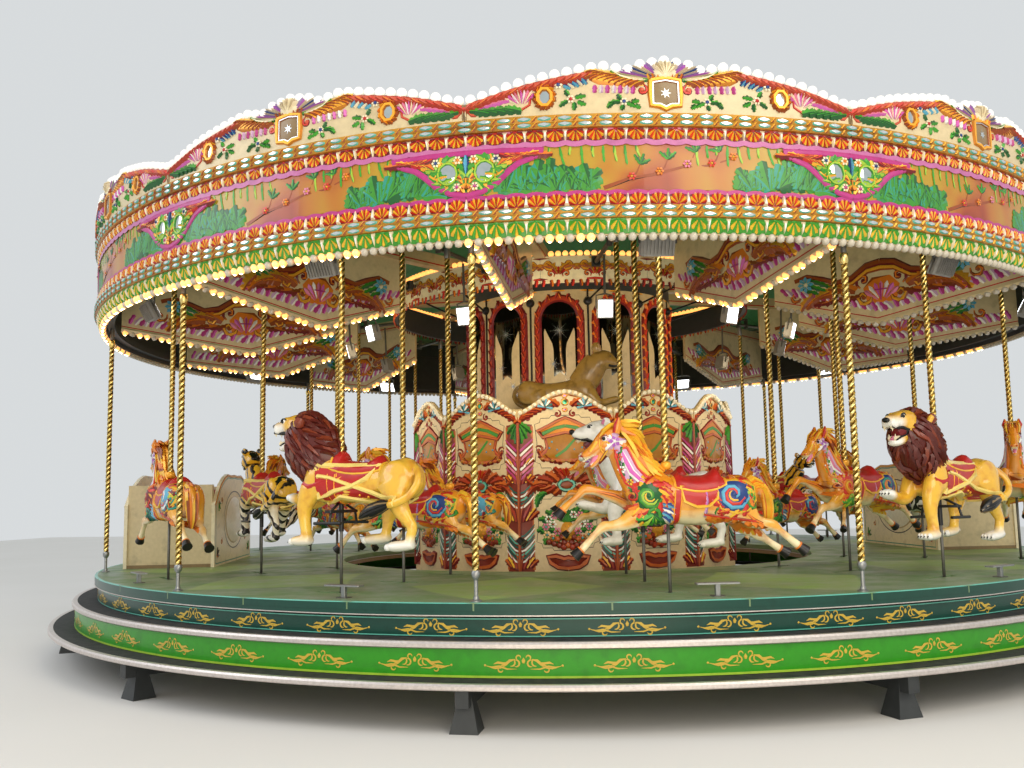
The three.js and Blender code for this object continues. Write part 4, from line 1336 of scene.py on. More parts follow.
def build_picture_band():
    """Sunset panels with foliage, and a shield of carving on each joint."""
    face = 6.04
    profile = [(5.985, PICTURE_FOOT), (face, PICTURE_FOOT), (face, PICTURE_TOP), (5.985, PICTURE_TOP)]
    wears = ["dark_paint", "sunset", "dark_paint", "dark_paint"]

    def carve(shape):
        place = drum_wall(face)
        rng = random.Random(7)
        reach = HALF_SECTION * face
        for hand in (-1, 1):
            joint_cartouche(shape, place, -hand * reach, hand)
            for i in range(22):
                share = i / 21
                spot = (-hand * (reach - 0.2 - 0.82 * share), PICTURE_FOOT + 0.01 + rng.uniform(0, 0.13)
                        * (1 - share))
                lean = math.pi / 2 - hand * rng.uniform(-1.2, 0.5)
                panel_leaf(shape, place, spot, lean, 0.26 - 0.1 * share + rng.uniform(0, 0.06), rng)
            for i in range(9):
                spot = (-hand * (reach - 0.66 - 0.085 * i), PICTURE_TOP - 0.012)
                leaf(shape, place, spot, -math.pi / 2 + rng.uniform(-0.25, 0.25), rng.uniform(0.07, 0.17),
                     0.014, ("lime", "fringe_green")[i % 2], "leaf_green", 2, 0.2, 0.1)
        bough = [(-0.5, 0.02), (-0.3, 0.09), (-0.08, 0.13), (0.14, 0.19), (0.34, 0.2), (0.52, 0.26)]
        bough = [(u, PICTURE_FOOT + v) for u, v in bough]
        ridge(shape, bough, taper(6, 0.016, 0.3), place, "russet", "hoof", 0.4)
        for i, (u, v) in enumerate(bough[1:]):
            twig = ((u, v), (u + 0.06, v + 0.05), (u + 0.09, v + 0.12))
            ridge(shape, twig, (0.008, 0.006, 0.003), place, "russet", "hoof", 0.4)
            for bearing in (0.3, 1.1, 2.0):
                leaf(shape, place, twig[2], bearing + 0.3 * i, 0.09, 0.02,
                     ("leaf_green", "fringe_green")[i % 2], "deep_green", 3, 0.3, 0.15)
            flower(shape, place, (u + 0.02, v + 0.02), 0.036, ("scarlet", "orange", "pink")[i % 3], "yellow",
                   6)
    board(profile, wears, "picture_band_painted", "painted_panel", "picture_band", carve)


CROWN_EDGE = ((0.0, 1.0), (0.1, 0.94), (0.185, 0.815), (0.24, 0.845), (0.3, 0.9), (0.38, 0.87),
              (0.52, 0.775), (0.67, 0.67),
              (0.8, 0.545), (0.92, 0.4),
              (1.0, 0.335))  # share of the way to the joint, and of the middle's height


def crown_top(u):
    """Height of the crown's edge at a distance from the section's middle."""
    share = min(1.0, abs(u) / (HALF_SECTION * CROWN_FACE))
    for (a, low), (b, high) in zip(CROWN_EDGE, CROWN_EDGE[1:]):
        if share <= b:
            ease = (0.5 - 0.5 * math.cos(math.pi * (share - a) / (b - a)) if a < 0.2
                    else (share - a) / (b - a))
            return CROWN_FOOT + (CROWN_PEAK - CROWN_FOOT) * (low + (high - low) * ease)


def crown_half(shape, place):
    """The right half of a crown board, from its middle to the joint."""
    edge = HALF_SECTION * CROWN_FACE
    place = shifted(place, 0, CROWN_FOOT)

    def spread_wide(u, v, w):
        return place(u * 2.6, v, w)
    spread_wide.turned = getattr(place, "turned", False)

    def top(u):
        return crown_top(u) - CROWN_FOOT
    fan(shape, spread_wide, (0.0, 0.255), 0.165, math.radians(22), math.radians(84), 11,
        ("sand", "violet", "mauve", "sand", "navy", "sand"), 0.0, 0.014, 0.3)
    ridge(shape, ((0.43, 0.34), (0.35, 0.297), (0.26, 0.268), (0.16, 0.255)), 0.011, place, "ivory",
          "leaf_green", 1.4)
    ridge(shape, ((0.585, 0.285), (0.52, 0.29), (0.42, 0.268), (0.3, 0.24), (0.16, 0.235)),
          (0.025, 0.06, 0.048, 0.03, 0.018), place, "gold", "old_gold", 0.3)
    for i in range(9):
        leaf(shape, place, (0.17 + 0.045 * i, 0.25 + 0.008 * i), -0.2 + 0.02 * i, 0.12, 0.032,
             ("gold", "orange", "gold")[i % 3], "russet", 3, -0.6, 0.6)
    for i in range(4):
        leaf(shape, place, (0.38 + 0.05 * i, 0.3 + 0.012 * i), 0.3, 0.11, 0.032, ("gold", "yellow")[i % 2],
             "russet", 3, -0.9, 0.7)
    scroll(shape, place, (0.555, 0.33), 0.034, 1.2, -1.2, "fringe_green", "deep_green", 0.34)
    scroll(shape, place, (0.185, 0.185), 0.05, 1.2, 1.2, "scarlet", "maroon", 0.34)
    boss(shape, place, (0.185, 0.185), 0.022, "coral")
    scroll(shape, place, (0.155, 0.262), 0.022, 0.5, 1.1, "fringe_green", "deep_green", 0.4)
    for i in range(7):
        spot = (0.255 + 0.05 * i, 0.212 + 0.002 * i)
        leaf(shape, place, spot, -math.pi / 2, 0.062, 0.025, ("orchid", "white")[i % 2],
             ("magenta", "lilac")[i % 2], 2, 0.2, 0.8)
        boss(shape, place, (spot[0], spot[1] - 0.012), 0.013, ("magenta", "pink")[i % 2], 6)
    for centre, heart in (((0.33, 0.088), "navy"), ((0.745, 0.118), "crimson"), ((0.84, 0.238), "navy")):
        flower(shape, place, centre, 0.036, "ivory", heart)
        boss(shape, place, centre, 0.02, heart, 8, 1.3)
    sprays = (((0.36, 0.085), 0.15, 0.12, -0.6), ((0.35, 0.105), 0.9, 0.07, 0.2),
              ((0.335, 0.06), -1.2, 0.055, 0.3), ((0.31, 0.08), 3.4, 0.1, 0.5),
              ((0.27, 0.085), 2.7, 0.08, 0.8), ((0.24, 0.06), 3.6, 0.06, 0.3),
              ((0.42, 0.075), -0.5, 0.07, -0.5), ((0.77, 0.105), -0.4, 0.1, -0.5),
              ((0.72, 0.09), -1.7, 0.08, 0.4), ((0.71, 0.13), 2.8, 0.11, 0.5),
              ((0.69, 0.1), 3.7, 0.09, -0.4), ((0.76, 0.15), 0.9, 0.07, 0.3))
    for spot, bearing, length, bend in sprays:
        leaf(shape, place, spot, bearing, 0.8 * length, 0.026, "fringe_green", "deep_green", 3, bend, 0.7)
    for i in range(5):
        leaf(shape, place, (0.8 - 0.036 * i, 0.232 + 0.013 * i), 3.5 + 0.1 * i, 0.065, 0.024,
             ("sky_blue", "ivory")[i % 2], "navy", 3, 0.3, 0.8)
    mirror_at = (0.95, 0.145)
    framed_glass(shape, place, mirror_at, (0.055, 0.068), "mirror", "gold", "old_gold", True, 0.022)
    for turn in range(0, 360, 30):
        bearing = math.radians(turn)
        leaf(shape, place, (mirror_at[0] + 0.07 * math.cos(bearing),
                            mirror_at[1] + 0.084 * math.sin(bearing)), bearing + 1.1, 0.045,
             0.02, ("gold", "orange")[turn // 30 % 2], "russet", 2, 0.8, 1.2)
    fan(shape, place, (1.13, 0.075), 0.15, math.radians(25), math.radians(140), 10,
        ("ivory", "orchid", "white", "pink"), 0.05, 0.022)
    ridge(shape, ((1.06, 0.16), (1.07, 0.09), (1.13, 0.055), (1.24, 0.06), (1.36, 0.075)), 0.011, place,
          "coral", "crimson", 0.9)
    scroll(shape, place, (1.06, 0.165), 0.036, 3.4, 1.2, "coral", "russet", 0.34)
    leaf(shape, place, (1.22, 0.135), -0.12, 0.27, 0.026, "pink", "orchid", 5, -0.25, 0.7)
    for i in range(16):
        u = 0.6 + 0.062 * i
        leaf(shape, place, (u, top(u) - 0.018), -0.75, 0.13, 0.036,
             ("coral", "orange", "coral", "scarlet")[i % 4], "brick", 3, 0.7, 0.6)
    run = [(u, top(u) - 0.022) for u in (0.56, 0.66, 0.76, 0.85, 1.0, 1.15, 1.3, edge - 0.04)]
    ridge(shape, run, 0.024, place, "coral", "brick")
    for i in range(5):
        leaf(shape, place, (1.13 + 0.065 * i, 0.035), 0.35, 0.17, 0.045,
             ("fringe_green", "leaf_green")[i % 2], "deep_green", 4, -0.35, 0.5)
    scroll(shape, place, (edge - 0.085, 0.068), 0.056, 1.9, -1.25, "coral", "brick", 0.32)
    boss(shape, place, (edge - 0.085, 0.068), 0.02, "scarlet")
    field(shape, place, [(edge - 0.02, 0), (edge - 0.001, 0), (edge - 0.001, top(edge)),
                         (edge - 0.02, top(edge))], "cream", "tan",
          0.012, 0.6)


def build_crown():
    """Crown boards with a scalloped edge, wings, shells and mirrors."""
    inner = CROWN_BACK
    steps = 60
    shape = Shape()
    edge = (HALF_SECTION - JOINT_GAP) * CROWN_FACE
    points = []
    for i in range(steps + 1):
        u = -edge + 2 * edge * i / steps
        for reach, height in ((inner, CROWN_FOOT), (CROWN_FACE, CROWN_FOOT), (CROWN_FACE, crown_top(u)),
                              (inner, crown_top(u))):
            points.append(polar(u / CROWN_FACE, reach, height))
    faces = []
    worn = []
    for i in range(steps):
        a, b = 4 * i, 4 * (i + 1)
        for j in range(4):
            k = (j + 1) % 4
            faces.append((a + j, b + j, b + k, a + k))
            worn.append("cream" if j == 1 else "drum_beige")
    faces += [(3, 2, 1, 0), (4 * steps, 4 * steps + 1, 4 * steps + 2, 4 * steps + 3)]
    shape.add(points, faces, worn + ["drum_beige"] * 2)
    place = drum_wall(CROWN_FACE)
    crown_half(shape, place)
    crown_half(shape, shifted(place, hand=-1))
    base = CROWN_FOOT
    square = ((-0.1, 0.245), (-0.105, 0.15), (-0.098, 0.07), (-0.04, 0.066), (0, 0.045), (0.04, 0.066),
              (0.098, 0.07), (0.105, 0.15), (0.1, 0.245), (0, 0.262))
    field(shape, place, [(u, base + v) for u, v in square], "tan", "tan", 0.008)
    for grow, width, light, dark in ((1.17, 0.022, "gold", "old_gold"), (1.0, 0.013, "silver", "russet")):
        loop = [(u * grow, base + 0.155 + (v - 0.155) * grow) for u, v in square]
        ridge(shape, loop + loop[:1], width, place, light, dark, 1.1)
    starburst(shape, place, (0, base + 0.155), 0.045, 14, 0.016)
    boss(shape, place, (0, base + 0.345), (0.1, 0.085), "ivory", 12, 0.4)
    fan(shape, place, (0, base + 0.285), 0.135, math.radians(35), math.radians(145), 7, ("ivory", "sand"),
        0.03, 0.055)
    framed_glass(shape, place, (0, base + 0.41), (0.036, 0.016), "jewel_green", "leaf_green", "deep_green",
                 width=0.008)
    for i in range(8):
        leaf(shape, place, (0.035 * (i - 3.5), base + 0.272), 1.57 - 0.12 * (i - 3.5), 0.05, 0.02,
             ("gold", "orange")[i % 2], "russet", 2, 0.0, 1.0)
    mesh = sharpen(shape.mesh("crown_board", BOARD_KEEP))
    for k in range(SECTIONS):
        put(f"crown_board_{k + 1:02d}", mesh, "turntable", "crown_boards", "cream_board",
            (k + 0.5) * SECTION)


def build_globes():
    """White opal globes along the crown's edge."""
    shape = Shape()
    length = 2 * HALF_SECTION * CROWN_FACE
    count = sizes().globes_per_section
    for i in range(count):
        u = -length / 2 + (i + 0.5) * length / count
        spot = polar(u / CROWN_FACE, (CROWN_FACE + CROWN_BACK) / 2, crown_top(u) + 0.03)
        ball(shape, spot, sizes().globe_radius, "globe", 9, 5)
    mesh = shape.mesh("crown_globes")
    for k in range(SECTIONS):
        put(f"crown_globes_{k + 1:02d}", mesh, "turntable", None, "cream_board", (k + 0.5) * SECTION)


LIT_RUNS = ((-75, -8), (0, 10.5), (105, 172), (180, 190.5))


def is_lit(angle, index):
    """Two lamps on and one off, along the runs that are switched on."""
    degrees = math.degrees(angle) % 360
    on = any((degrees - low) % 360 < high - low for low, high in LIT_RUNS)
    return on and index % 3 != 1


def build_rim_lamps():
    """The row of opal caps under the lower cornice, on a cream strip."""
    shape = Shape()
    height = CORNICE_FOOT - 0.02
    count = sizes().lamps_per_section * SECTIONS
    for i in range(count):
        angle = math.tau * i / count
        spot = polar(angle, 5.995, height)
        lamp(shape, spot, is_lit(angle, i))
    hoop(shape, [(5.962, CORNICE_FOOT - 0.012), (6.008, CORNICE_FOOT - 0.012), (6.008, CORNICE_FOOT),
                 (5.962, CORNICE_FOOT)], "drum_beige", ROUND_STEPS)
    put("rim_lamps", shape.mesh("rim_lamps"), "turntable", None, "cream_board")


# Swifts, their scalloped boards and what hangs from them

LAMP_PITCH = 0.085
BOARD_HALF = 0.02
SHAFT_HEIGHT = 4.32
SHAFT_RADIUS = 0.024
SHAFT_START = 2.42
SHAFT_END = 5.8
SCROLL_BAND_FOOT = 4.07
SCROLL_BAND_TOP = 4.42
SCROLL_BAND_FACE = 2.42
ANIMAL_SECTIONS = [k for k in range(SECTIONS) if k % 6 != 3]
CHARIOT_SECTIONS = (3, 9)


def board_face(hand):
    """Placing on one face of an upright board that runs outwards at angle 0: u is the radius."""
    def place(u, v, w):
        return Vector((hand * (BOARD_HALF + w), -u, v))
    place.turned = hand > 0
    return place


def spaced(path, pitch):
    """Points at even spacing along a path of straight runs."""
    path = [Vector(p) for p in path]
    total = sum((b - a).length for a, b in zip(path, path[1:]))
    count = round(total / pitch)
    wanted = [(i + 0.5) * total / count for i in range(count)]
    found = []
    gone = 0.0
    for a, b in zip(path, path[1:]):
        run = (b - a).length
        found += [a + (b - a) * ((s - gone) / run) for s in wanted if gone <= s < gone + run]
        gone += run
    return found


def swift_carving(shape, place):
    """Acanthus, shells and ribbons on one face of a swift board."""
    edge = ((3.2, 3.94), (4.3, 3.6), (5.7, 3.8))
    for i, spot in enumerate(spaced(edge, 0.06)):
        lean = 2.2 if i % 4 < 2 else 1.9
        leaf(shape, place, (spot.x + 0.04, spot.y + 0.015), lean, 0.13, 0.032,
             ("magenta", "white", "orchid", "white")[i % 4], "magenta" if i % 2 == 0 else "lilac", 2, 0.4)
    middle = (4.36, 3.84)
    outline = ((-0.16, -0.12), (0.16, -0.12), (0.2, 0.06), (0.1, 0.17), (-0.1, 0.17), (-0.2, 0.06))
    field(shape, place, [(middle[0] + u, middle[1] + v) for u, v in outline], "orange", "russet", 0.012)
    fan(shape, place, (middle[0], middle[1] - 0.12), 0.23, math.radians(150), math.radians(30), 7,
        ("pink", "white", "orchid"), 0.05, 0.026)
    stroke(shape, place, ((middle[0], middle[1] - 0.1), (middle[0], middle[1] + 0.09)), 0.016, "magenta",
           0.035)
    stroke(shape, place, ((middle[0] - 0.07, middle[1] + 0.02), (middle[0] + 0.07, middle[1] + 0.02)), 0.016,
           "magenta", 0.035)
    for hand in (-1, 1):
        side = shifted(place, *middle, hand)
        crest = ((0.0, 0.33), (0.15, 0.31), (0.32, 0.2), (0.5, 0.17), (0.66, 0.24), (0.85, 0.3), (1.0, 0.26))
        ridge(shape, crest, taper(7, 0.045, 0.5), side, "russet", "maroon", 0.6)
        ridge(shape, [(u, v - 0.06) for u, v in crest[:5]], taper(5, 0.036, 0.5), side, "gold", "russet",
              0.6)
        scroll(shape, side, (0.2, -0.04), 0.11, 2.4, 1.2, "gold", "russet", 0.34)
        scroll(shape, side, (0.2, 0.15), 0.09, -1.2, 1.1, "orange", "maroon", 0.34)
        scroll(shape, side, (0.42, 0.06), 0.09, 0.4, 1.2, "gold", "russet", 0.34)
        scroll(shape, side, (1.0, 0.08), 0.08, 2.8, 1.1, "orange", "russet", 0.32)
        for i in range(6):
            leaf(shape, side, (0.28 + 0.1 * i, 0.04 + 0.035 * (i % 2)), 0.6 - 0.25 * i, 0.24, 0.075,
                 ("orange", "gold")[i % 2], "russet", 4, -0.5)
            leaf(shape, side, (0.24 + 0.1 * i, -0.02), -0.35, 0.16, 0.05, ("russet", "orange")[i % 2],
                 "maroon", 3, 0.5)
        for i in range(3):
            leaf(shape, side, (0.56 + 0.05 * i, 0.13 - 0.045 * i), 0.42, 0.3, 0.035,
                 ("leaf_green", "fringe_green")[i % 2], "deep_green", 4, 0.1)
        flower(shape, side, (0.86, 0.2), 0.1, "sky_blue", "ivory", 8)
        flower(shape, side, (0.86, 0.2), 0.06, "teal_line", "steel", 8)
        boss(shape, side, (0.86, 0.2), 0.035, "ivory", 10)


def swift_board(lit):
    """A scalloped board with carving on both faces and a lamp row along its lower edge."""
    shape = Shape()
    low = [Vector(p) for p in SWIFT_BOARD_EDGE]
    outline = [(low[0].x, low[0].y), (low[1].x, low[1].y), (low[2].x, low[2].y), (low[2].x, SWIFT_FOOT),
               (low[0].x, SWIFT_FOOT)]
    for hand in (-1, 1):
        place = board_face(hand)
        shape.add([(x, y, 0.0) for x, y in outline], [(0, 1, 2, 3, 4)], "cream", place)
        edge = [(p.x, p.y + 0.05) for p in low]
        strip(shape, place, edge, 0.012, "crimson", 0.0015)
        strip(shape, place, [(x, y - 0.018) for x, y in edge], 0.008, "leaf_green", 0.0015)
        swift_carving(shape, place)
    for a, b in zip(outline, outline[1:] + outline[:1]):
        shape.add([(-BOARD_HALF, -a[0], a[1]), (BOARD_HALF, -a[0], a[1]), (BOARD_HALF, -b[0], b[1]),
                   (-BOARD_HALF, -b[0], b[1])], [(0, 1, 2, 3)], "drum_beige")
    rail = [(0.0, -p.x, p.y + 0.012) for p in low]
    tube(shape, rail, 0.034, "cream", 6)
    for i, spot in enumerate(spaced(SWIFT_BOARD_EDGE, LAMP_PITCH)):
        lamp(shape, (0.0, -spot.x, spot.y - 0.018), lit and i % 3 != 1)
    return sharpen(shape.mesh("swift_board_lit" if lit else "swift_board_unlit", BOARD_KEEP))


def build_swifts():
    """Twelve boards that hang from twelve beams on a hub."""
    boards = {lit: swift_board(lit) for lit in (True, False)}
    beam = Shape()
    half = SWIFT_WIDTH / 2
    block(beam, (-half, -SHAFT_END, SWIFT_FOOT), (half, -0.68, SWIFT_TOP), "drum_beige", None, 0.012)
    for hand in (-1, 1):
        block(beam, (hand * half - 0.004, -5.7, SWIFT_FOOT + 0.03),
              (hand * half + 0.004, -0.9, SWIFT_FOOT + 0.045), "crimson")
    beam_mesh = sharpen(beam.mesh("swift_beam"))
    for k in range(SECTIONS):
        turn = k * SECTION
        put(f"swift_beam_{k + 1:02d}", beam_mesh, "turntable", "swift_frame", "cream_board", turn)
        put(f"swift_board_{k + 1:02d}", boards[k < 2 or k > 6], "turntable", "swift_frame", "cream_board",
            turn)
    hub = Shape()
    lathe(hub, [(0.3, 4.25), (0.66, 4.25), (0.7, 4.29), (0.7, 4.38), (0.76, 4.4), (0.76, 4.56), (0.7, 4.58),
                (0.7, 4.63), (0.3, 4.64)], "dark_paint", 48)
    for i in range(24):
        spot = polar(math.tau * i / 24, 0.77, 4.48)
        ball(hub, spot, 0.022, "old_steel", 6, 4)
    put("swift_hub", sharpen(hub.mesh("swift_hub")), "turntable", "swift_frame", "steel")


def build_scroll_band():
    """The inner band of scrolls over a lamp row, between the swifts."""
    profile = [(2.37, SCROLL_BAND_FOOT + 0.03), (SCROLL_BAND_FACE, SCROLL_BAND_FOOT + 0.03),
               (SCROLL_BAND_FACE, SCROLL_BAND_TOP), (2.37, SCROLL_BAND_TOP)]

    def carve(shape):
        place = drum_wall(SCROLL_BAND_FACE)
        reach = HALF_SECTION * SCROLL_BAND_FACE
        for i, (u, _) in enumerate(along_section(SCROLL_BAND_FACE, 0.085)):
            leaf(shape, place, (u, SCROLL_BAND_FOOT + 0.07), -1.4 if i % 2 else -1.75, 0.08, 0.03,
                 ("scarlet", "orange")[i % 2], "maroon", 3)
        for u, _ in along_section(SCROLL_BAND_FACE, 0.42):
            for hand in (-1, 1):
                half = shifted(place, u, SCROLL_BAND_FOOT + 0.2, hand)
                scroll(shape, half, (0.11, 0.05), 0.075, 2.8, 1.3, "gold", "russet", 0.34)
                scroll(shape, half, (0.09, -0.06), 0.05, -2.4, -1.2, "orange", "maroon", 0.34)
                for i in range(3):
                    leaf(shape, half, (0.02 + 0.05 * i, -0.02 + 0.03 * i), 0.9 - 0.5 * i, 0.14, 0.042,
                         ("gold", "orange")[i % 2], "russet", 3, -0.6)
            fan(shape, place, (u, SCROLL_BAND_FOOT + 0.12), 0.1, math.radians(150), math.radians(30), 5,
                ("crimson", "gold"), 0.1, 0.02)
        for v, wear in ((SCROLL_BAND_TOP - 0.025, "gold"), (SCROLL_BAND_FOOT + 0.08, "scarlet")):
            ridge(shape, [(-reach, v), (0, v), (reach, v)], 0.018, place, wear, "maroon")
        for u, _ in along_section(SCROLL_BAND_FACE, LAMP_PITCH):
            if reach - abs(u) > SWIFT_WIDTH * 0.8:
                ball(shape, polar(u / SCROLL_BAND_FACE, SCROLL_BAND_FACE - 0.02, SCROLL_BAND_TOP + 0.03),
                     0.036, "lit", 8, 5)
    board(profile, ["dark_paint", "ivory", "dark_paint", "dark_paint"], "scroll_band", "cream_board",
          "swift_frame", carve)


def build_cranks():
    """Crank shafts with webs beside each animal's pole, and their end bearings."""
    shape = Shape()
    tube(shape, [(0, -SHAFT_START, SHAFT_HEIGHT), (0, -4.0, SHAFT_HEIGHT), (0, -SHAFT_END, SHAFT_HEIGHT)],
         SHAFT_RADIUS, "old_steel", 12)
    for radius in ROW_RADII:
        for side in (-0.095, 0.095):
            spot = radius + side
            slab(shape, [(0.03, SHAFT_HEIGHT - 0.05), (0.03, SHAFT_HEIGHT + 0.11),
                         (-0.03, SHAFT_HEIGHT + 0.11), (-0.03, SHAFT_HEIGHT - 0.05)], spot - 0.012,
                 spot + 0.012, "old_steel", lambda u, v, w: Vector((u, -w, v)))
        tube(shape, [(0, -(radius - 0.095), SHAFT_HEIGHT + 0.085),
                     (0, -(radius + 0.095), SHAFT_HEIGHT + 0.085)], 0.014, "old_steel", 8)
    for spot in (2.5, 5.68):
        block(shape, (-0.05, -spot - 0.03, SHAFT_HEIGHT - 0.05), (0.05, -spot + 0.03, SHAFT_HEIGHT + 0.06),
              "dark_paint", None, 0.01)
        lathe(shape, [(0.045, -0.032), (0.045, 0.032)], "black_paint", 12,
              lambda u, v, w, spot=spot: Vector((u, -spot - w, SHAFT_HEIGHT + v)))
    mesh = sharpen(shape.mesh("crank_shaft"))
    for k in ANIMAL_SECTIONS:
        put(f"crank_shaft_{k + 1:02d}", mesh, "turntable", "swift_frame", "steel", (k + 0.5) * SECTION)


FLOOD_RADIUS = 5.63
FLOOD_HEIGHT = 3.71
FLOOD_TILT = math.radians(28)
INNER_FLOOD_RADIUS = 3.05
INNER_FLOOD_HEIGHT = FLOOR_TOP + 2.79


def build_floodlights():
    """Ribbed grey floodlights on yokes at the shafts' ends, turned in towards the riders."""
    shape = Shape()
    lean = Matrix.Rotation(FLOOD_TILT, 3, "X")

    def place(u, v, w):
        return lean @ Vector((u, v, w)) + Vector((0, -FLOOD_RADIUS, FLOOD_HEIGHT))
    block(shape, (-0.14, -0.045, -0.1), (0.14, 0.02, 0.1), "lamp_housing", place, 0.02)
    block(shape, (-0.148, 0.02, -0.108), (0.148, 0.036, 0.108), "lamp_housing", place, 0.004)
    block(shape, (-0.13, 0.036, -0.09), (0.13, 0.041, 0.09), "floodlight", place)
    for i in range(9):
        u = -0.12 + 0.03 * i
        block(shape, (u - 0.004, -0.062, -0.085), (u + 0.004, -0.045, 0.085), "lamp_housing", place)
    for hand in (-1, 1):
        tube(shape, [(hand * 0.154, -FLOOD_RADIUS, FLOOD_HEIGHT),
                     (hand * 0.154, -FLOOD_RADIUS, FLOOD_HEIGHT + 0.16),
                     (hand * 0.1, -FLOOD_RADIUS, FLOOD_HEIGHT + 0.18),
                     (0, -FLOOD_RADIUS, FLOOD_HEIGHT + 0.18)], 0.009, "old_steel", 6)
    tube(shape, [(0, -FLOOD_RADIUS, FLOOD_HEIGHT + 0.17), (0, -FLOOD_RADIUS, SHAFT_HEIGHT - 0.05)], 0.014,
         "old_steel", 8)
    mesh = sharpen(shape.mesh("floodlight"))
    for k in ANIMAL_SECTIONS:
        put(f"floodlight_{k + 1:02d}", mesh, "turntable", "swift_frame", "steel", (k + 0.5) * SECTION)
    inner = Shape()

    def outward(u, v, w):
        return (Vector((u, -INNER_FLOOD_RADIUS, INNER_FLOOD_HEIGHT))
                + Matrix.Rotation(0.25, 3, "X") @ Vector((0, -w, v)))
    block(inner, (-0.084, -0.098, -0.1), (0.084, 0.098, -0.02), "lamp_housing", outward, 0.02)
    block(inner, (-0.09, -0.104, -0.02), (0.09, 0.104, 0.0), "lamp_housing", outward, 0.004)
    block(inner, (-0.076, -0.09, 0.0), (0.076, 0.09, 0.005), "floodlight", outward)
    for hand in (-1, 1):
        tube(inner, [outward(hand * 0.095, 0, -0.06), outward(hand * 0.095, 0.14, -0.06),
                     outward(0, 0.16, -0.06)], 0.009, "old_steel",
             6)
    tube(inner, [outward(0, 0.15, -0.06), (0, -INNER_FLOOD_RADIUS, SHAFT_HEIGHT - 0.05)], 0.014, "old_steel",
         8)
    mesh = sharpen(inner.mesh("inner_floodlight"))
    for k in range(SECTIONS):
        put(f"inner_floodlight_{k + 1:02d}", mesh, "turntable", "swift_frame", "steel", (k + 0.5) * SECTION)


# Mirror drum

DRUM_TURN = math.radians(2.5)
DRUM_ARCH_HALF = 0.272
DRUM_ARCH_SPRING = 3.86
DRUM_ARCH_FOOT = 2.74
DRUM_TOP = 4.24


def arched_path(half, foot, spring, steps=14):
    """Up one side, round the arch and down the other."""
    arch = arc((0, spring), half, math.pi, 0.0, steps)
    return [(-half, foot), (-half, (foot + spring) / 2), *arch, (half, (foot + spring) / 2), (half, foot)]


def build_drum():
    """Twelve mirror panels with arches round the mast, and the mast."""
    shape = Shape()
    top, foot = node_top("mirror_drum"), node_foot("mirror_drum")
    hoop(shape, [(1.372, foot), (DRUM_FACE - 0.004, foot), (DRUM_FACE - 0.004, DRUM_TOP), (1.372, DRUM_TOP)],
         "drum_beige", 8, -HALF_SECTION, HALF_SECTION)
    hoop(shape, [(1.372, DRUM_TOP), (DRUM_FACE - 0.004, DRUM_TOP), (DRUM_FACE - 0.004, top), (1.372, top)],
         "dark_paint", 8, -HALF_SECTION, HALF_SECTION)
    place = drum_wall(DRUM_FACE - 0.003)
    path = arched_path(DRUM_ARCH_HALF, DRUM_ARCH_FOOT, DRUM_ARCH_SPRING)
    glass = [(0, 3.3)] + path[::-1]
    count = len(path)
    shape.add([(*p, 0.004) for p in glass], [(0, i, i + 1) for i in range(1, count)] + [(0, count, 1)],
              "old_mirror", place)
    ridge(shape, path, 0.05, place, "brick", "maroon", 0.45)
    for inset, wear in ((0.036, "gold"), (-0.038, "gold")):
        ridge(shape, arched_path(DRUM_ARCH_HALF + inset, DRUM_ARCH_FOOT, DRUM_ARCH_SPRING), 0.006, place,
              wear, "russet", 0.8)
    for i, spot in enumerate(spaced(path, 0.07)):
        leaf(shape, place, spot, 1.2 if i % 2 else 2.0, 0.085, 0.036, ("orange", "scarlet")[i % 2], "maroon",
             2, 0.0, 0.9)
    for centre, spikes, reach in (((0.0, 3.72), 16, 0.13), ((-0.08, 3.3), 12, 0.09),
                                  ((0.1, 3.05), 12, 0.08)):
        starburst(shape, place, centre, reach, spikes)
    ridge(shape, [(-0.36, DRUM_TOP - 0.012), (0, DRUM_TOP - 0.012), (0.36, DRUM_TOP - 0.012)], 0.014, place,
          "gold", "russet")
    seam = HALF_SECTION * DRUM_FACE
    slab(shape, [(seam - 0.011, foot), (seam + 0.011, foot), (seam + 0.011, DRUM_TOP),
                 (seam - 0.011, DRUM_TOP)], 0.0, 0.014,
         "black_paint", place)
    lathe(shape, [(0.055, 0.0), (0.055, 0.02), (0.04, 0.045), (0.015, 0.055)], "black_paint", 14,
          lambda u, v, w: place(seam + u, 4.09 + v, w))
    tube(shape, [place(seam, 4.09, 0.05), polar(HALF_SECTION + 0.09, 1.9, 4.25),
                 polar(HALF_SECTION + 0.18, 2.36, 4.4)], 0.012, "black_paint", 8)
    mesh = sharpen(shape.mesh("drum_panel"))
    for k in range(SECTIONS):
        put(f"drum_panel_{k + 1:02d}", mesh, "turntable", "mirror_drum", "drum_panel",
            DRUM_TURN + k * SECTION)
    mast = Shape()
    mast_top = node_top("mast")
    lathe(mast, [(0.22, node_foot("mast")), (0.22, 4.1), (0.24, 4.12), (0.24, 4.16), (0.22, 4.18),
                 (0.22, mast_top)], "dark_paint",
          32)
    put("mast_painted", sharpen(mast.mesh("mast")), "base", "mast", "steel")


# Centre shutters

SHUTTER_HALF = SHUTTER_CORNER * math.sin(HALF_SECTION)
SHUTTER_FACE = SHUTTER_CORNER * math.cos(HALF_SECTION)
SHUTTER_CREST_POWER = 1.5
SHUTTER_THICKNESS = 0.035
PEARLS = 18


def shutter_top(u):
    """Height of a shutter's scalloped edge at a distance from its middle."""
    share = min(1.0, max(0.0, 0.5 + u / (2 * SHUTTER_HALF)))
    return SHUTTER_VALLEY + SHUTTER_ARCH * math.sin(math.pi * share) ** SHUTTER_CREST_POWER


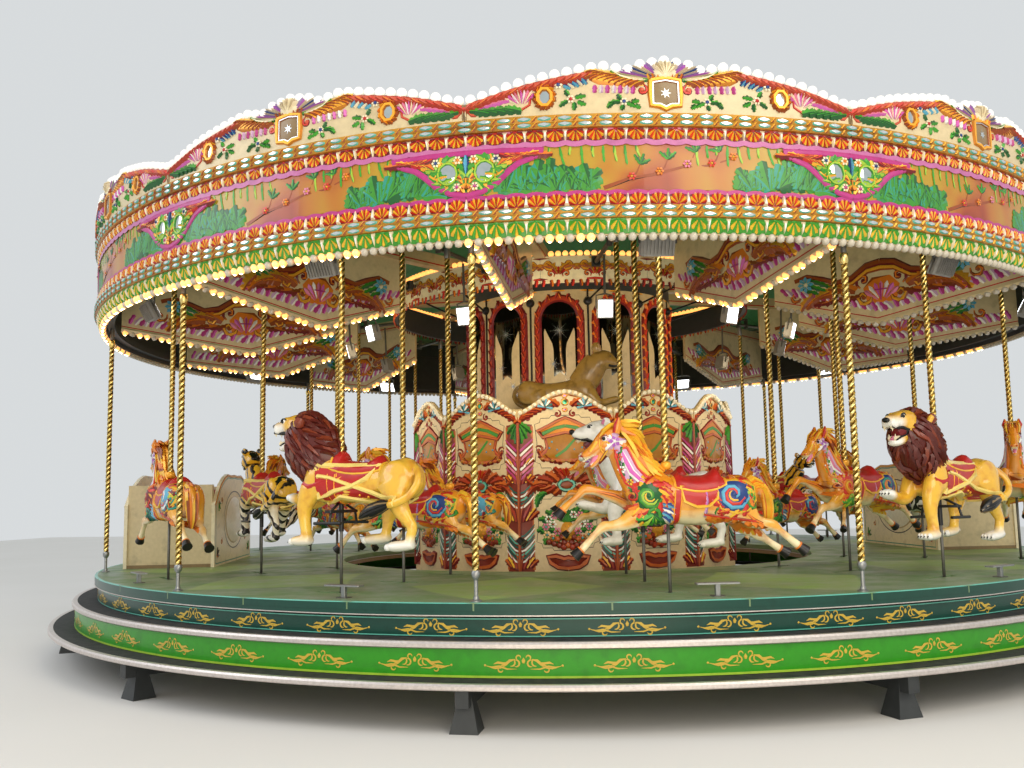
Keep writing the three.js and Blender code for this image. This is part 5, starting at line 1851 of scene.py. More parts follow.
def pilaster_half(shape, side):
    """Half of the painted pilaster at a corner: side's u runs in from the corner."""
    edge = 0.165
    field(shape, side, [(0.0, 0.8), (edge, 0.8), (edge - 0.02, 1.6), (edge, 2.5), (0.0, 2.52)], "dark_brick",
          "maroon", 0.006, 0.96)
    ridge(shape, ((0.0, 0.8), (0.0, 1.6), (0.0, 2.52)), 0.022, side, "burnt_orange", "maroon", 0.9)
    for v, lean in ((2.52, -0.55), (2.5, -0.95), (2.46, -1.3)):
        leaf(shape, side, (0.015, v), lean, 0.19, 0.045, "leaf_green", "deep_green", 4, -0.35)
    for i in range(7):
        v = 2.22 - 0.055 * i
        stroke(shape, side, ((0.02, v - 0.03), (0.08, v + 0.025), (edge + 0.01, v + 0.11)),
               (0.026, 0.026, 0.014), ("magenta", "white", "pink")[i % 3], 0.012)
    for top, rows in ((1.8, 5), (1.3, 8)):
        for i in range(rows):
            v = top - 0.042 * i
            path = ((0.012, v - 0.1), (0.06, v - 0.085), (0.12, v - 0.03), (edge + 0.01, v + 0.04))
            stroke(shape, side, path, (0.018, 0.022, 0.02, 0.01), ("teal", "white", "teal_line")[i % 3],
                   0.012)
    for foot, size in ((0.82, 0.2), (1.36, 0.24), (1.8, 0.16), (2.0, 0.14)):
        for i in range(4):
            leaf(shape, side, (0.015 + 0.035 * i, foot + 0.01 * i), 1.5 - 0.22 * i, size * (1 - 0.12 * i),
                 0.04, ("burnt_orange", "oxide_red", "yellow", "burnt_orange")[i], "maroon", 3, -0.3)
    ridge(shape, ((edge, 0.82), (edge - 0.012, 1.5), (edge, 2.48)), 0.012, side, "burnt_orange", "maroon")


def ogee_frame(shape, side, low, high, half):
    """Half of a thin dark line border with stepped corners."""
    path = ((0.0, high), (half * 0.45, high), (half * 0.52, high - 0.03), (half * 0.8, high - 0.03),
            (half * 0.84, high - 0.08), (half, high - 0.1), (half * 0.93, (low + high) / 2),
            (half, low + 0.1), (half * 0.84, low + 0.08), (half * 0.8, low + 0.03),
            (half * 0.5, low + 0.03), (half * 0.45, low), (0.0, low))
    strip(shape, side, path, 0.007, "hoof", 0.002)


def shutter_half(shape, side):
    """The carving to one side of a shutter's middle."""
    for i in range(9):
        u = 0.07 + 0.05 * i
        leaf(shape, side, (u, shutter_top(u) - 0.19 + 0.01 * i), 0.85 - 0.12 * i, 0.15, 0.05,
             ("burnt_orange", "oxide_red")[i % 2], "maroon", 3, -0.8)
    scroll(shape, side, (0.09, 2.62), 0.045, 1.8, 1.2, "oxide_red", "maroon", 0.34)
    scroll(shape, side, (0.43, 2.575), 0.05, 2.8, -1.1, "oxide_red", "maroon", 0.34)
    for i in range(7):
        bearing = math.radians(10 + 30 * i)
        stroke(shape, side, ((0.23, 2.7), (0.23 + 0.09 * math.cos(bearing), 2.7 + 0.1 * math.sin(bearing))),
               (0.012, 0.03), ("sky_blue", "white", "teal")[i % 3], 0.024)
    ogee_frame(shape, side, 1.96, 2.6, 0.36)
    ogee_frame(shape, side, 1.04, 1.66, 0.36)
    ridge(shape, ((0.0, 2.475), (0.12, 2.45), (0.27, 2.385)), 0.036, side, "leaf_green", "deep_green", 0.5)
    for i in range(5):
        boss(shape, side, (0.03 + 0.055 * i, 2.4 - 0.003 * i * i), (0.03, 0.014), "oxide_red", 6, 0.9)
        boss(shape, side, (0.035 + 0.06 * i, 2.068 + 0.002 * i * i), (0.034, 0.026),
             ("ochre", "burnt_orange")[i % 2], 8, 0.8)
    ridge(shape, ((0.23, 2.36), (0.215, 2.25), (0.235, 2.17), (0.29, 2.14)), 0.02, side, "oxide_red",
          "maroon", 0.7)
    for u, v in ((0.16, 2.29), (0.1, 2.2), (0.19, 2.22)):
        boss(shape, side, (u, v), 0.018, "sky_blue", 6, 1.2)
    scroll(shape, side, (0.31, 2.2), 0.055, 0.6, 1.2, "burnt_orange", "maroon", 0.34)
    for i in range(3):
        leaf(shape, side, (0.04 + 0.1 * i, 2.05 + 0.01 * i), 0.2 + 0.3 * i, 0.15, 0.045,
             ("burnt_orange", "dark_brick")[i % 2], "maroon", 3, 0.5)
    for i in range(6):
        leaf(shape, side, (0.04 + 0.06 * i, 1.84 - 0.01 * i), 1.2 - 0.35 * i, 0.19, 0.07,
             ("oxide_red", "burnt_orange")[i % 2], "dark_brick", 4, -0.6)
        leaf(shape, side, (0.06 + 0.06 * i, 1.78), -1.1 + 0.3 * i, 0.15, 0.06,
             ("burnt_orange", "oxide_red")[i % 2], "dark_brick", 3, 0.7)
    scroll(shape, side, (0.33, 1.86), 0.06, 0.2, 1.2, "oxide_red", "maroon", 0.34)
    ridge(shape, arc((0.2, 1.81), 0.055, -1.2, 2.2), taper(9, 0.018), side, "sky_blue", "navy")
    for i in range(4):
        leaf(shape, side, (0.22 + 0.04 * i, 1.71 - 0.012 * i), -0.3 - 0.4 * i, 0.14, 0.04, "leaf_green",
             "deep_green", 4)
    blooms = ((0.07, 1.45, "white"), (0.15, 1.44, "pink"), (0.22, 1.4, "white"), (0.25, 1.31, "pink"),
              (0.17, 1.34, "white"), (0.24, 1.22, "peach"), (0.12, 1.26, "pink"),
              (0.17, 1.18, "burnt_orange"))
    for i, (u, v, petal) in enumerate(blooms):
        for bearing in (0.9 - 0.45 * i, 2.9 - 0.45 * i):
            leaf(shape, side, (u, v), bearing, 0.12, 0.045, "leaf_green", "deep_green", 3)
    for i, (u, v, petal) in enumerate(blooms):
        flower(shape, side, (u, v), 0.05, petal, ("crimson", "sky_blue")[i % 2])
    for u, v in ((0.04, 1.13), (0.1, 1.1), (0.16, 1.12), (0.22, 1.14), (0.12, 1.17), (0.07, 1.19)):
        boss(shape, side, (u, v), 0.04, ("burnt_orange", "dark_brick", "russet")[round(u * 100) % 3], 8, 0.9)
    scroll(shape, side, (0.1, 0.91), 0.04, 2.4, 1.1, "oxide_red", "maroon", 0.3)


PANEL_ROOF = ((0.0, 2.57), (0.1, 2.53), (0.2, 2.475), (0.33, 2.42), (0.27, 2.345), (0.0, 2.4))
PANEL_BODY = ((0.0, 2.4), (0.25, 2.345), (0.215, 2.22), (0.3, 2.13), (0.25, 2.09), (0.0, 2.075))
BOWL = ((0.0, 0.955), (0.05, 0.945), (0.14, 0.975), (0.235, 0.965), (0.2, 0.9), (0.12, 0.85), (0.0, 0.835))


def shutter_middle(shape, place):
    """Panel, bowl, jewels, basket and shells on a shutter's centre line."""
    for outline, fill, edge, line in ((PANEL_ROOF, "old_gold", "maroon", 0.024),
                                      (PANEL_BODY, "ochre", "russet", 0.02),
                                      (BOWL, "dark_brick", "maroon", 0.034)):
        whole = [(-u, v) for u, v in outline[:0:-1]] + list(outline)
        field(shape, place, whole[::-1], fill, edge, 0.012, 0.9)
        ridge(shape, whole + whole[:1], line, place, "burnt_orange", edge, 0.8)
    framed_glass(shape, place, (0, 2.83), (0.026, 0.02), "jewel_pink", "gold", "russet", width=0.009)
    framed_glass(shape, place, (0, 2.755), (0.034, 0.034), "jewel_green", "yellow", "russet", True, 0.012)
    framed_glass(shape, place, (0, 2.665), (0.026, 0.02), "jewel_pink", "gold", "russet", width=0.009)
    stroke(shape, place, ((-0.12, 2.12), (0.0, 2.2), (0.12, 2.33)), (0.03, 0.034, 0.024), "leaf_green",
           0.016)
    framed_glass(shape, place, (0, 1.79), (0.09, 0.062), "russet", "teal_line", "teal", width=0.024)
    fan(shape, place, (0, 1.87), 0.12, math.radians(160), math.radians(20), 7, ("burnt_orange", "crimson"),
        0.05, 0.03)
    boss(shape, place, (0, 1.26), (0.085, 0.115), "moulding", 12, 0.6)
    for i in range(12):
        spot = (0.04 * (i % 3 - 1) + 0.02 * (i // 3 % 2) - 0.01, 1.19 + 0.042 * (i // 3))
        boss(shape, place, spot, 0.02, ("gold", "old_gold")[i % 2], 4, 2.6)
    for u in (-0.05, 0.05, 0.0):
        boss(shape, place, (u, 1.1 - abs(u) * 0.4), 0.042, ("oxide_red", "burnt_orange")[u == 0], 8, 0.9)
    for i in range(9):
        leaf(shape, place, (0, 1.36), math.radians(20 + 17.5 * i), 0.16, 0.022, "fringe_green", "deep_green",
             3)


def build_shutters():
    """Twelve carved shutters with pearls along their crests."""
    shape = Shape()
    steps = 32
    back = SHUTTER_THICKNESS
    points = []
    for i in range(steps + 1):
        u = -SHUTTER_HALF + 2 * SHUTTER_HALF * i / steps
        inset = u * (1 - back / SHUTTER_FACE)
        top = shutter_top(u)
        points += [(u, SHUTTER_FOOT, 0), (u, top, 0), (inset, top, -back), (inset, SHUTTER_FOOT, -back)]
    faces = []
    for i in range(steps):
        a, b = 4 * i, 4 * i + 4
        faces += [(a + j, b + j, b + (j + 1) % 4, a + (j + 1) % 4) for j in range(4)]
    place = flat_wall(SHUTTER_FACE - 0.0005)
    shape.add(points, faces, ["cream", "drum_beige", "drum_beige", "drum_beige"] * steps, place)
    for hand in (-1, 1):
        shutter_half(shape, shifted(place, hand=hand))
        pilaster_half(shape, shifted(place, hand * SHUTTER_HALF, 0.0, -hand))
    shutter_middle(shape, place)
    across = [-SHUTTER_HALF + 2 * SHUTTER_HALF * i / 24 for i in range(25)]
    crest = [(u, shutter_top(u) - 0.03) for u in across]
    ridge(shape, crest, 0.03, place, "cream", "drum_beige", 0.45)
    ridge(shape, [(u, v - 0.035) for u, v in crest], 0.008, place, "gold", "russet", 0.8)
    # The pearls wear the bead finish, whose faint glow is painted light
    for spot in spaced(crest, 2.05 * SHUTTER_HALF / PEARLS):
        ball(shape, place(spot.x, spot.y + 0.004, 0.026), 0.026, "bead", 7, 4)
    mesh = sharpen(shape.mesh("centre_shutter", BOARD_KEEP))
    drops = Shape()
    for hand in (-1, 1):
        half = shifted(place, hand * SHUTTER_HALF, 0.0, -hand)
        field(drops, half, [(0.0, 2.68), (0.0, 2.53), (0.03, 2.6), (0.06, 2.69)], "cream", "drum_beige",
              0.02)
    drop_mesh = sharpen(drops.mesh("shutter_drop"))
    for k in range(SECTIONS):
        turn = HOUSING_TURN + (k + 0.5) * SECTION
        put(f"centre_shutter_{k + 1:02d}", mesh, "base", "centre_shutters", "cream_board", turn)
        put(f"shutter_drop_{k + 1:02d}", drop_mesh, "base", None, "cream_board", turn)
    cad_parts["centre_deck"].data.materials[0] = finish("dark_paint")


# Roof

ROOF_EDGE_HEIGHT = 4.672
ROOF_EYE_HEIGHT = 6.118
ROOF_EYE = 0.45
ROOF_EDGE = 6.034
ROOF_RINGS = 22


def roof_height(radius, share):
    """Height of the canvas: a cone that sags between its twelve rafters."""
    along = (ROOF_EDGE - radius) / (ROOF_EDGE - ROOF_EYE)
    sag = 0.09 * math.sin(math.pi * along) * math.sin(math.pi * share)
    dip = 0.1 * math.sin(math.pi * along)
    return ROOF_EDGE_HEIGHT + (ROOF_EYE_HEIGHT - ROOF_EDGE_HEIGHT) * along - (sag + dip) * 0.6


def build_roof():
    """The canvas, two layers thick, with a seam over each rafter."""
    shape = Shape()
    round_steps = SECTIONS * 12
    for lift in (0.0, 0.004):
        points = []
        for i in range(ROOF_RINGS + 1):
            radius = ROOF_EYE + (ROOF_EDGE - ROOF_EYE) * i / ROOF_RINGS
            points += [polar(math.tau * j / round_steps, radius, roof_height(radius, j % 12 / 12) + lift)
                       for j in range(round_steps)]
        faces = []
        for i in range(ROOF_RINGS):
            for j in range(round_steps):
                k = (j + 1) % round_steps
                face = (i * round_steps + j, (i + 1) * round_steps + j, (i + 1) * round_steps + k,
                        i * round_steps + k)
                faces.append(face if lift else face[::-1])
        shape.add(points, faces, "canvas")
    ring = (ROOF_RINGS + 1) * round_steps
    for start in (0, ROOF_RINGS * round_steps):
        hem = [(start + j, start + (j + 1) % round_steps, ring + start + (j + 1) % round_steps,
                ring + start + j)
               for j in range(round_steps)]
        shape.faces += [face if start else face[::-1] for face in hem]
        shape.wears += ["canvas"] * len(hem)
    canvas = put("roof_canvas_sheet", shape.mesh("roof_canvas"), "turntable", "roof_canvas", "green_canvas")
    seams = Shape()
    for k in range(SECTIONS):
        path = []
        for i in range(12):
            radius = ROOF_EYE + (ROOF_EDGE - 0.05 - ROOF_EYE) * i / 11
            path.append(polar(k * SECTION, radius, roof_height(radius, 0) + 0.01))
        tube(seams, path, 0.012, "deep_green", 6)
    put("roof_seams", seams.mesh("roof_seams"), "turntable", None, "green_canvas")


def build_finial():
    """A gilded vase with a skirt of leaves on the roof's eye."""
    shape = Shape()
    foot = node_foot("roof_finial")
    profile = [(0.56, 0.0), (0.565, 0.03), (0.52, 0.09), (0.4, 0.13), (0.27, 0.19), (0.17, 0.25),
               (0.115, 0.33), (0.13, 0.37),
               (0.2, 0.42), (0.225, 0.5), (0.2, 0.58), (0.12, 0.64), (0.05, 0.665), (0.03, 0.68),
               (0.01, 0.698)]
    lathe(shape, [(r, foot + z) for r, z in profile], "gold", 48)
    for i in range(12):
        turn = math.tau * i / 12

        def leaning(u, v, w, turn=turn):
            return polar(turn + u / 0.5, 0.56 - (v * 0.75) + w, foot + 0.035 + v * 0.42)
        leaf(shape, leaning, (0.0, 0.0), math.pi / 2, 0.36, 0.09, "leaf_green", "deep_green", 4)
        ball(shape, polar(turn, 0.55, foot + 0.04), 0.03, "crimson", 8, 5)
    put("roof_finial_gilded", sharpen(shape.mesh("roof_finial"), 50), "turntable", "roof_finial",
        "gilt_carving")




# Chariots

CHARIOT_INNER = 4.56
CHARIOT_OUTER = 5.64
CHARIOT_BOARD = 0.04
CHARIOT_HALF = 1.1
CHARIOT_EDGE = ((1.1, 0.76), (0.95, 0.9), (0.82, 1.0), (0.62, 1.09), (0.42, 1.14), (0.2, 1.13), (0.0, 1.14))
SEAT_HEIGHT = 0.43
SEAT_FRONT = 0.56
SEAT_BACK = 1.0
BENCH_TOP = 1.0
CUSHION = 0.09


def pillow(shape, low, high, wears, squareness=0.32, rings=12, sides=28):
    """A crowned cushion: a rounded block whose faces swell."""
    middle = [(a + b) / 2 for a, b in zip(low, high)]
    half = [(b - a) / 2 for a, b in zip(low, high)]

    def bent(value):
        return math.copysign(abs(value) ** squareness, value)
    points = []
    for i in range(1, rings):
        tilt = math.pi * (i / rings - 0.5)
        for j in range(sides):
            turn = math.tau * j / sides
            points.append((middle[0] + half[0] * bent(math.cos(tilt)) * bent(math.cos(turn)),
                           middle[1] + half[1] * bent(math.cos(tilt)) * bent(math.sin(turn)),
                           middle[2] + half[2] * bent(math.sin(tilt))))
    faces = ring_faces(rings - 1, sides)
    top = (rings - 2) * sides
    points += [(middle[0], middle[1], low[2]), (middle[0], middle[1], high[2])]
    faces += [(len(points) - 2, (j + 1) % sides, j) for j in range(sides)]
    faces += [(len(points) - 1, top + j, top + (j + 1) % sides) for j in range(sides)]
    shape.add(points, faces, wears)


def cushion_place(hand, upright):
    """Box of a seat or back cushion on the bench at one end."""
    reach = (CHARIOT_OUTER - 2 * CHARIOT_BOARD, CHARIOT_INNER + 2 * CHARIOT_BOARD)
    if upright:
        x = sorted((hand * (SEAT_BACK - 0.075), hand * (SEAT_BACK - 0.005)))
        z = (FLOOR_TOP + SEAT_HEIGHT + 0.02, FLOOR_TOP + BENCH_TOP - 0.04)
    else:
        x = sorted((hand * SEAT_FRONT, hand * (SEAT_BACK - 0.08)))
        z = (FLOOR_TOP + SEAT_HEIGHT - CUSHION, FLOOR_TOP + SEAT_HEIGHT)
    return (x[0], -reach[0], z[0]), (x[1], -reach[1], z[1])


def chariot_board(shape, radius, outward):
    """A cream side board with a gilt top moulding, a bare oval and painted lines."""
    base = FLOOR_TOP + 0.0005
    edge = [(x, base + z) for x, z in CHARIOT_EDGE]
    outline = [(-CHARIOT_HALF, base), (CHARIOT_HALF, base), *edge, *[(-x, z) for x, z in edge[-2::-1]]]
    wall = flat_wall(radius)
    slab(shape, outline, 0.0, CHARIOT_BOARD, "ivory", wall)
    if outward:
        face = flat_wall(radius + CHARIOT_BOARD)
    else:
        def face(u, v, w):
            return Vector((-u, -radius + w, v))
    rim = [(x * 0.985, z - 0.018) for x, z in outline[2:]]
    ridge(shape, rim, 0.016, face, "gold", "old_gold")
    line = ([(x * 0.94, (z - base - 0.04) * 0.93 + base + 0.07) for x, z in outline]
            + [(-CHARIOT_HALF * 0.94, base + 0.033)])
    strip(shape, face, line, 0.012, "sea_green")
    middle = (0, base + 0.55)
    strip(shape, face, oval(middle, (0.6, 0.37), 40) + [oval(middle, (0.6, 0.37), 40)[0]], 0.014, "hoof")
    field(shape, face, oval(middle, (0.52, 0.31), 32), "white", "drum_beige", 0.006, 0.95)
    for hand in (-1, 1):
        side = shifted(face, 0.0, base, hand)
        for u, v, bearing in ((0.95, 0.12, 2.4), (0.9, 0.78, -2.3)):
            for i in range(3):
                leaf(shape, side, (u, v), bearing + 0.7 * (i - 1), 0.11, 0.022, "leaf_green", "hoof", 3)
            flower(shape, side, (u, v), 0.03, "crimson", "gold")
        scroll(shape, side, (0.72, 0.3), 0.05, 2.0, 1.1, "gold", "russet")
        scroll(shape, side, (0.72, 0.8), 0.05, -2.0, -1.1, "gold", "russet")


def build_chariots():
    """Two chariots that differ only in their place."""
    shape = Shape()
    base = FLOOR_TOP + 0.0005
    chariot_board(shape, CHARIOT_INNER, False)
    chariot_board(shape, CHARIOT_OUTER - CHARIOT_BOARD, True)
    span = (-(CHARIOT_OUTER - CHARIOT_BOARD), -(CHARIOT_INNER + CHARIOT_BOARD))
    block(shape, (-CHARIOT_HALF + 0.01, span[0], base), (CHARIOT_HALF - 0.01, span[1], base + 0.04), "tan")
    for hand in (-1, 1):
        seat = sorted((hand * (SEAT_FRONT + 0.02), hand * SEAT_BACK))
        block(shape, (seat[0], span[0], base + 0.04), (seat[1], span[1], FLOOR_TOP + SEAT_HEIGHT - CUSHION),
              "cream")
        back = sorted((hand * (SEAT_BACK - 0.01), hand * 1.08))
        block(shape, (back[0], span[0], base + 0.04), (back[1], span[1], FLOOR_TOP + BENCH_TOP), "cream")
        x = hand * (SEAT_FRONT + 0.02)
        for i in range(8):
            y = span[0] + (i + 0.5) * (span[1] - span[0]) / 8
            edge = sorted((x, x - hand * 0.008))
            block(shape, (edge[0], y - 0.05, base + 0.07), (edge[1], y + 0.05, FLOOR_TOP + 0.31), "crimson")
    mesh = sharpen(shape.mesh("chariot"))
    pads = Shape()
    for hand in (-1, 1):
        for upright in (False, True):
            pillow(pads, *cushion_place(hand, upright), "hide")
        low, high = cushion_place(hand, True)
        for i in range(5):
            for z in (0.18, 0.36):
                y = low[1] + (i + 0.5) * (high[1] - low[1]) / 5
                ball(pads, ((low[0] if hand > 0 else high[0]), y, low[2] + z), (0.006, 0.014, 0.014),
                     "crimson", 8, 5)
    pad_mesh = pads.mesh("chariot_cushions")
    for side, k in zip(("right", "left"), CHARIOT_SECTIONS):
        turn = (k + 0.5) * SECTION
        put(f"chariot_{side}_carved", mesh, "turntable", f"chariot_{side}", "chariot_board", turn)
        put(f"chariot_{side}_cushions", pad_mesh, "turntable", None, "chariot_board", turn)


# Animals: stations run along each form in millimetres. Each is the distance forward of the pole, the height
# over the body's middle, the half width, the half depth and, where it changes, the distance sideways

HORSE = {
    "trunk": ((-745, 40, 45, 55), (-690, 35, 120, 140), (-600, 30, 160, 182), (-430, 10, 178, 180),
              (-260, -5, 188, 192), (-80, 5, 182, 190), (80, 25, 172, 205), (190, 50, 140, 190),
              (270, 80, 80, 120)),
    "neck": ((130, 80, 145, 195), (230, 185, 112, 172), (310, 300, 86, 142), (368, 408, 70, 118),
             (405, 488, 64, 98)),
    "skull": ((385, 522, 56, 64), (440, 525, 64, 76), (508, 478, 60, 74), (585, 410, 46, 49),
              (642, 368, 44, 42), (686, 342, 34, 32)),
    "jaw": ((430, 470, 46, 58), (498, 395, 42, 45), (556, 325, 32, 26), (600, 278, 30, 19),
            (624, 256, 22, 14)),
    "muscles": ((170, 30, 108, 150, 170, 95), (-520, 5, 110, 185, 185, 92), (285, 70, 55, 75, 95, 70),
                (466, 440, 38, 64, 64, 32), (512, 520, 46, 30, 20, 16), (670, 355, 30, 26, 20, 16),
                (60, -90, 90, 200, 90, 80)),
    "limbs": ((-110, ((190, -75, 75, 110), (300, -140, 58, 80), (400, -198, 46, 56), (490, -214, 36, 42),
                      (545, -218, 41, 45), (600, -262, 28, 31), (670, -335, 26, 29), (712, -380, 34, 33),
                      (745, -410, 30, 30))),
              (110, ((190, -50, 75, 110), (320, -5, 58, 76), (440, 28, 44, 52), (560, 66, 34, 38),
                     (655, 82, 41, 44), (715, 30, 28, 30), (790, -28, 26, 28), (835, -72, 34, 33),
                     (855, -95, 30, 30))),
              (-115, ((-540, -10, 88, 150), (-615, -95, 72, 100), (-685, -165, 54, 66), (-755, -186, 40, 46),
                      (-832, -206, 44, 50), (-885, -245, 29, 33), (-962, -310, 27, 30),
                      (-1018, -356, 34, 34), (-1050, -382, 30, 30))),
              (115, ((-530, -20, 88, 150), (-595, -130, 70, 98), (-650, -216, 54, 66), (-722, -254, 40, 46),
                     (-788, -288, 44, 50), (-838, -322, 29, 33), (-902, -366, 27, 30), (-948, -398, 34, 34),
                     (-976, -416, 30, 30)))),
    "tail": ((-690, 110, 36, 46), (-760, 118, 46, 54), (-812, 60, 44, 48), (-830, -30, 42, 44),
             (-832, -130, 32, 34), (-822, -210, 10, 12)),
    "ears": (410, 560, 50, 33, 122), "eye": (510, 490, 56, 24), "nose": (688, 352, 24, 15),
    "hang": (90, 62, 130, 430),
}
CAT = {
    "trunk": ((-805, 40, 50, 80), (-750, 30, 125, 145), (-660, 20, 160, 178), (-470, 0, 146, 156),
              (-300, -10, 152, 156), (-80, -5, 166, 175), (130, 20, 180, 200), (230, 60, 140, 180)),
    "muscles": ((165, 20, 112, 140, 165, 80), (-625, 5, 108, 165, 170, 80), (235, 60, 60, 80, 110, 80),
                (-80, -60, 100, 190, 80, 72)),
    "joints": ((300, -215, -112, 62, 50, 62), (-690, -260, -115, 56, 60, 62), (-440, -270, 112, 60, 60, 62),
               (-785, -385, -112, 42, 46, 46), (-400, -372, 108, 42, 46, 46)),
    "limbs": ((-110, ((230, -40, 80, 110), (280, -130, 76, 96), (310, -220, 62, 72), (308, -320, 52, 54),
                      (292, -400, 50, 48), (290, -450, 54, 46), (290, -490, 50, 40))),
              (-110, ((240, -490, 48, 38), (300, -492, 70, 48), (370, -496, 74, 46), (420, -500, 64, 38),
                      (445, -504, 40, 24))),
              (110, ((230, -30, 80, 110), (300, -115, 72, 88), (375, -170, 58, 62), (470, -160, 50, 50),
                     (530, -140, 52, 48))),
              (110, ((500, -150, 48, 40), (560, -136, 70, 50), (615, -124, 70, 44), (645, -118, 44, 28))),
              (-110, ((-600, 0, 95, 160), (-640, -110, 90, 122), (-665, -210, 70, 88), (-725, -300, 52, 60),
                      (-785, -380, 42, 46), (-775, -440, 42, 42), (-758, -510, 44, 40))),
              (-110, ((-800, -520, 46, 38), (-730, -530, 62, 44), (-640, -538, 72, 46), (-580, -542, 64, 38),
                      (-548, -546, 40, 24))),
              (110, ((-520, 0, 95, 160), (-470, -130, 90, 122), (-430, -240, 70, 88), (-412, -310, 52, 60),
                     (-402, -372, 42, 46), (-390, -430, 42, 42), (-370, -470, 44, 40))),
              (110, ((-420, -474, 46, 38), (-350, -484, 62, 44), (-260, -492, 72, 46), (-200, -496, 64, 38),
                     (-168, -500, 40, 24)))),
    "toes": ((-110, 430, -500), (110, 632, -120), (-110, -562, -544), (110, -182, -498)),
    "tail": ((-740, 110, 40, 45, 0), (-830, 70, 34, 36, -90), (-870, -20, 32, 34, -160),
             (-820, -120, 32, 34, -200), (-700, -180, 32, 34, -212), (-600, -200, 30, 32, -210)),
    "tuft": ((-620, -196, 30, 32, -210), (-540, -215, 52, 56, -210), (-450, -245, 60, 62, -208),
             (-380, -275, 40, 44, -206), (-330, -300, 10, 12, -204)),
}
LION = {
    "neck": ((130, 100, 150, 190), (230, 260, 150, 185), (330, 400, 140, 160)),
    "skull": ((380, 480, 125, 130), (470, 505, 120, 120), (540, 515, 100, 94), (610, 512, 78, 64),
              (670, 508, 72, 54), (712, 504, 56, 40)),
    "jaw": ((430, 410, 98, 78), (510, 362, 80, 52), (575, 334, 68, 42), (625, 322, 58, 34),
            (662, 322, 38, 22)),
    "face": ((660, 482, 40, 52, 36, 34), (470, 470, 74, 66, 80, 54), (555, 572, 52, 44, 26, 30),
             (650, 545, 0, 80, 20, 30)),
    "mane": ((120, 100, 130, 200), (205, 200, 186, 250), (300, 320, 196, 262), (385, 430, 184, 222),
             (445, 470, 150, 176), (480, 488, 112, 138)),
    "ears": (330, 525, 165, 46, 60), "eye": (572, 554, 70, 24), "nose": (722, 520, 0, 32),
    "lip": ((705, 455), (640, 442), (575, 452), (530, 430), (530, 400), (580, 382), (650, 358)),
}
SLEEK = {
    "neck": ((130, 90, 135, 180), (230, 180, 118, 160), (330, 290, 105, 135)),
    "skull": ((320, 350, 98, 118), (400, 420, 108, 122), (480, 428, 98, 104), (550, 408, 80, 70),
              (610, 396, 66, 54), (650, 392, 50, 40)),
    "jaw": ((440, 350, 74, 48), (510, 322, 56, 30), (565, 312, 46, 22), (600, 310, 32, 16)),
    "face": ((600, 384, 34, 46, 32, 30), (420, 390, 70, 60, 70, 50), (490, 480, 46, 38, 22, 26)),
    "ears": (390, 515, 82, 38, 62), "eye": (520, 462, 72, 16), "nose": (668, 410, 0, 24),
    "lip": ((645, 362), (590, 352), (530, 362), (500, 345), (505, 318), (560, 312), (600, 302)),
}
LIONESS = {
    "neck": ((110, 90, 155, 200), (200, 215, 155, 205), (280, 340, 148, 195), (350, 430, 132, 170)),
    "skull": ((320, 380, 118, 142), (400, 440, 130, 152), (480, 440, 118, 136), (545, 412, 98, 104),
              (600, 392, 80, 76), (640, 384, 60, 56)),
    "jaw": ((430, 370, 80, 60), (520, 358, 64, 42), (590, 362, 50, 30), (640, 372, 38, 18)),
    "face": ((590, 374, 30, 62, 54, 44), (420, 410, 84, 74, 90, 58), (500, 500, 50, 46, 30, 32)),
    "ears": (362, 580, 112, 62, 110), "eye": (530, 478, 76, 18), "nose": (648, 412, 0, 30),
    "lip": ((640, 352), (590, 344), (545, 352), (515, 362)),
}
BEAR = {
    "neck": ((130, 90, 150, 190), (225, 250, 146, 190), (310, 420, 135, 170)),
    "skull": ((320, 500, 125, 150), (395, 570, 138, 158), (480, 590, 122, 136), (550, 590, 100, 98),
              (615, 588, 82, 74), (668, 586, 64, 58)),
    "jaw": ((420, 480, 98, 74), (490, 415, 80, 54), (555, 372, 66, 42), (605, 345, 54, 32),
            (640, 332, 36, 22)),
    "face": ((415, 555, 80, 80, 90, 58), (485, 655, 50, 48, 26, 32), (650, 586, 22, 60, 42, 42)),
    "tail": ((-770, 90, 50, 60), (-850, 60, 44, 50), (-890, 25, 20, 24)),
    "ears": (375, 705, 98, 42, 50), "eye": (528, 656, 74, 20), "nose": (704, 612, 0, 40),
    "lip": ((682, 540), (625, 522), (560, 530), (515, 505), (505, 455), (540, 408), (590, 384), (632, 366)),
}


# Shares of the triangles that are kept, so that the whole stays under a million
SKIN_KEEP = 0.09
MANE_KEEP = 0.12
ANIMAL_KEEP = 0.82
INNER_KEEP = 0.36  # the small inner horses stand behind the others
SKIN_VOXEL = 0.011
MANE_VOXEL = 0.014
SMOOTH_ROUNDS = 4

# Each horse's neck band, reds, greens, blues and feathers, and the colours of its hair
HORSE_PAINTS = (
    ("orchid", ("scarlet", "crimson"), ("leaf_green", "deep_green"), ("sky_blue", "navy"),
     ("orange", "russet")),
    ("lilac", ("scarlet", "maroon"), ("sea_green", "teal"), ("white", "sky_blue"), ("orange", "crimson")),
    ("pink", ("orange", "scarlet"), ("lime", "leaf_green"), ("sea_green", "navy"), ("yellow", "russet")),
)
HORSE_HAIRS = (("yellow", "orange", "yellow", "gold"), ("orange", "russet", "yellow"),
               ("yellow", "orange", "russet"))

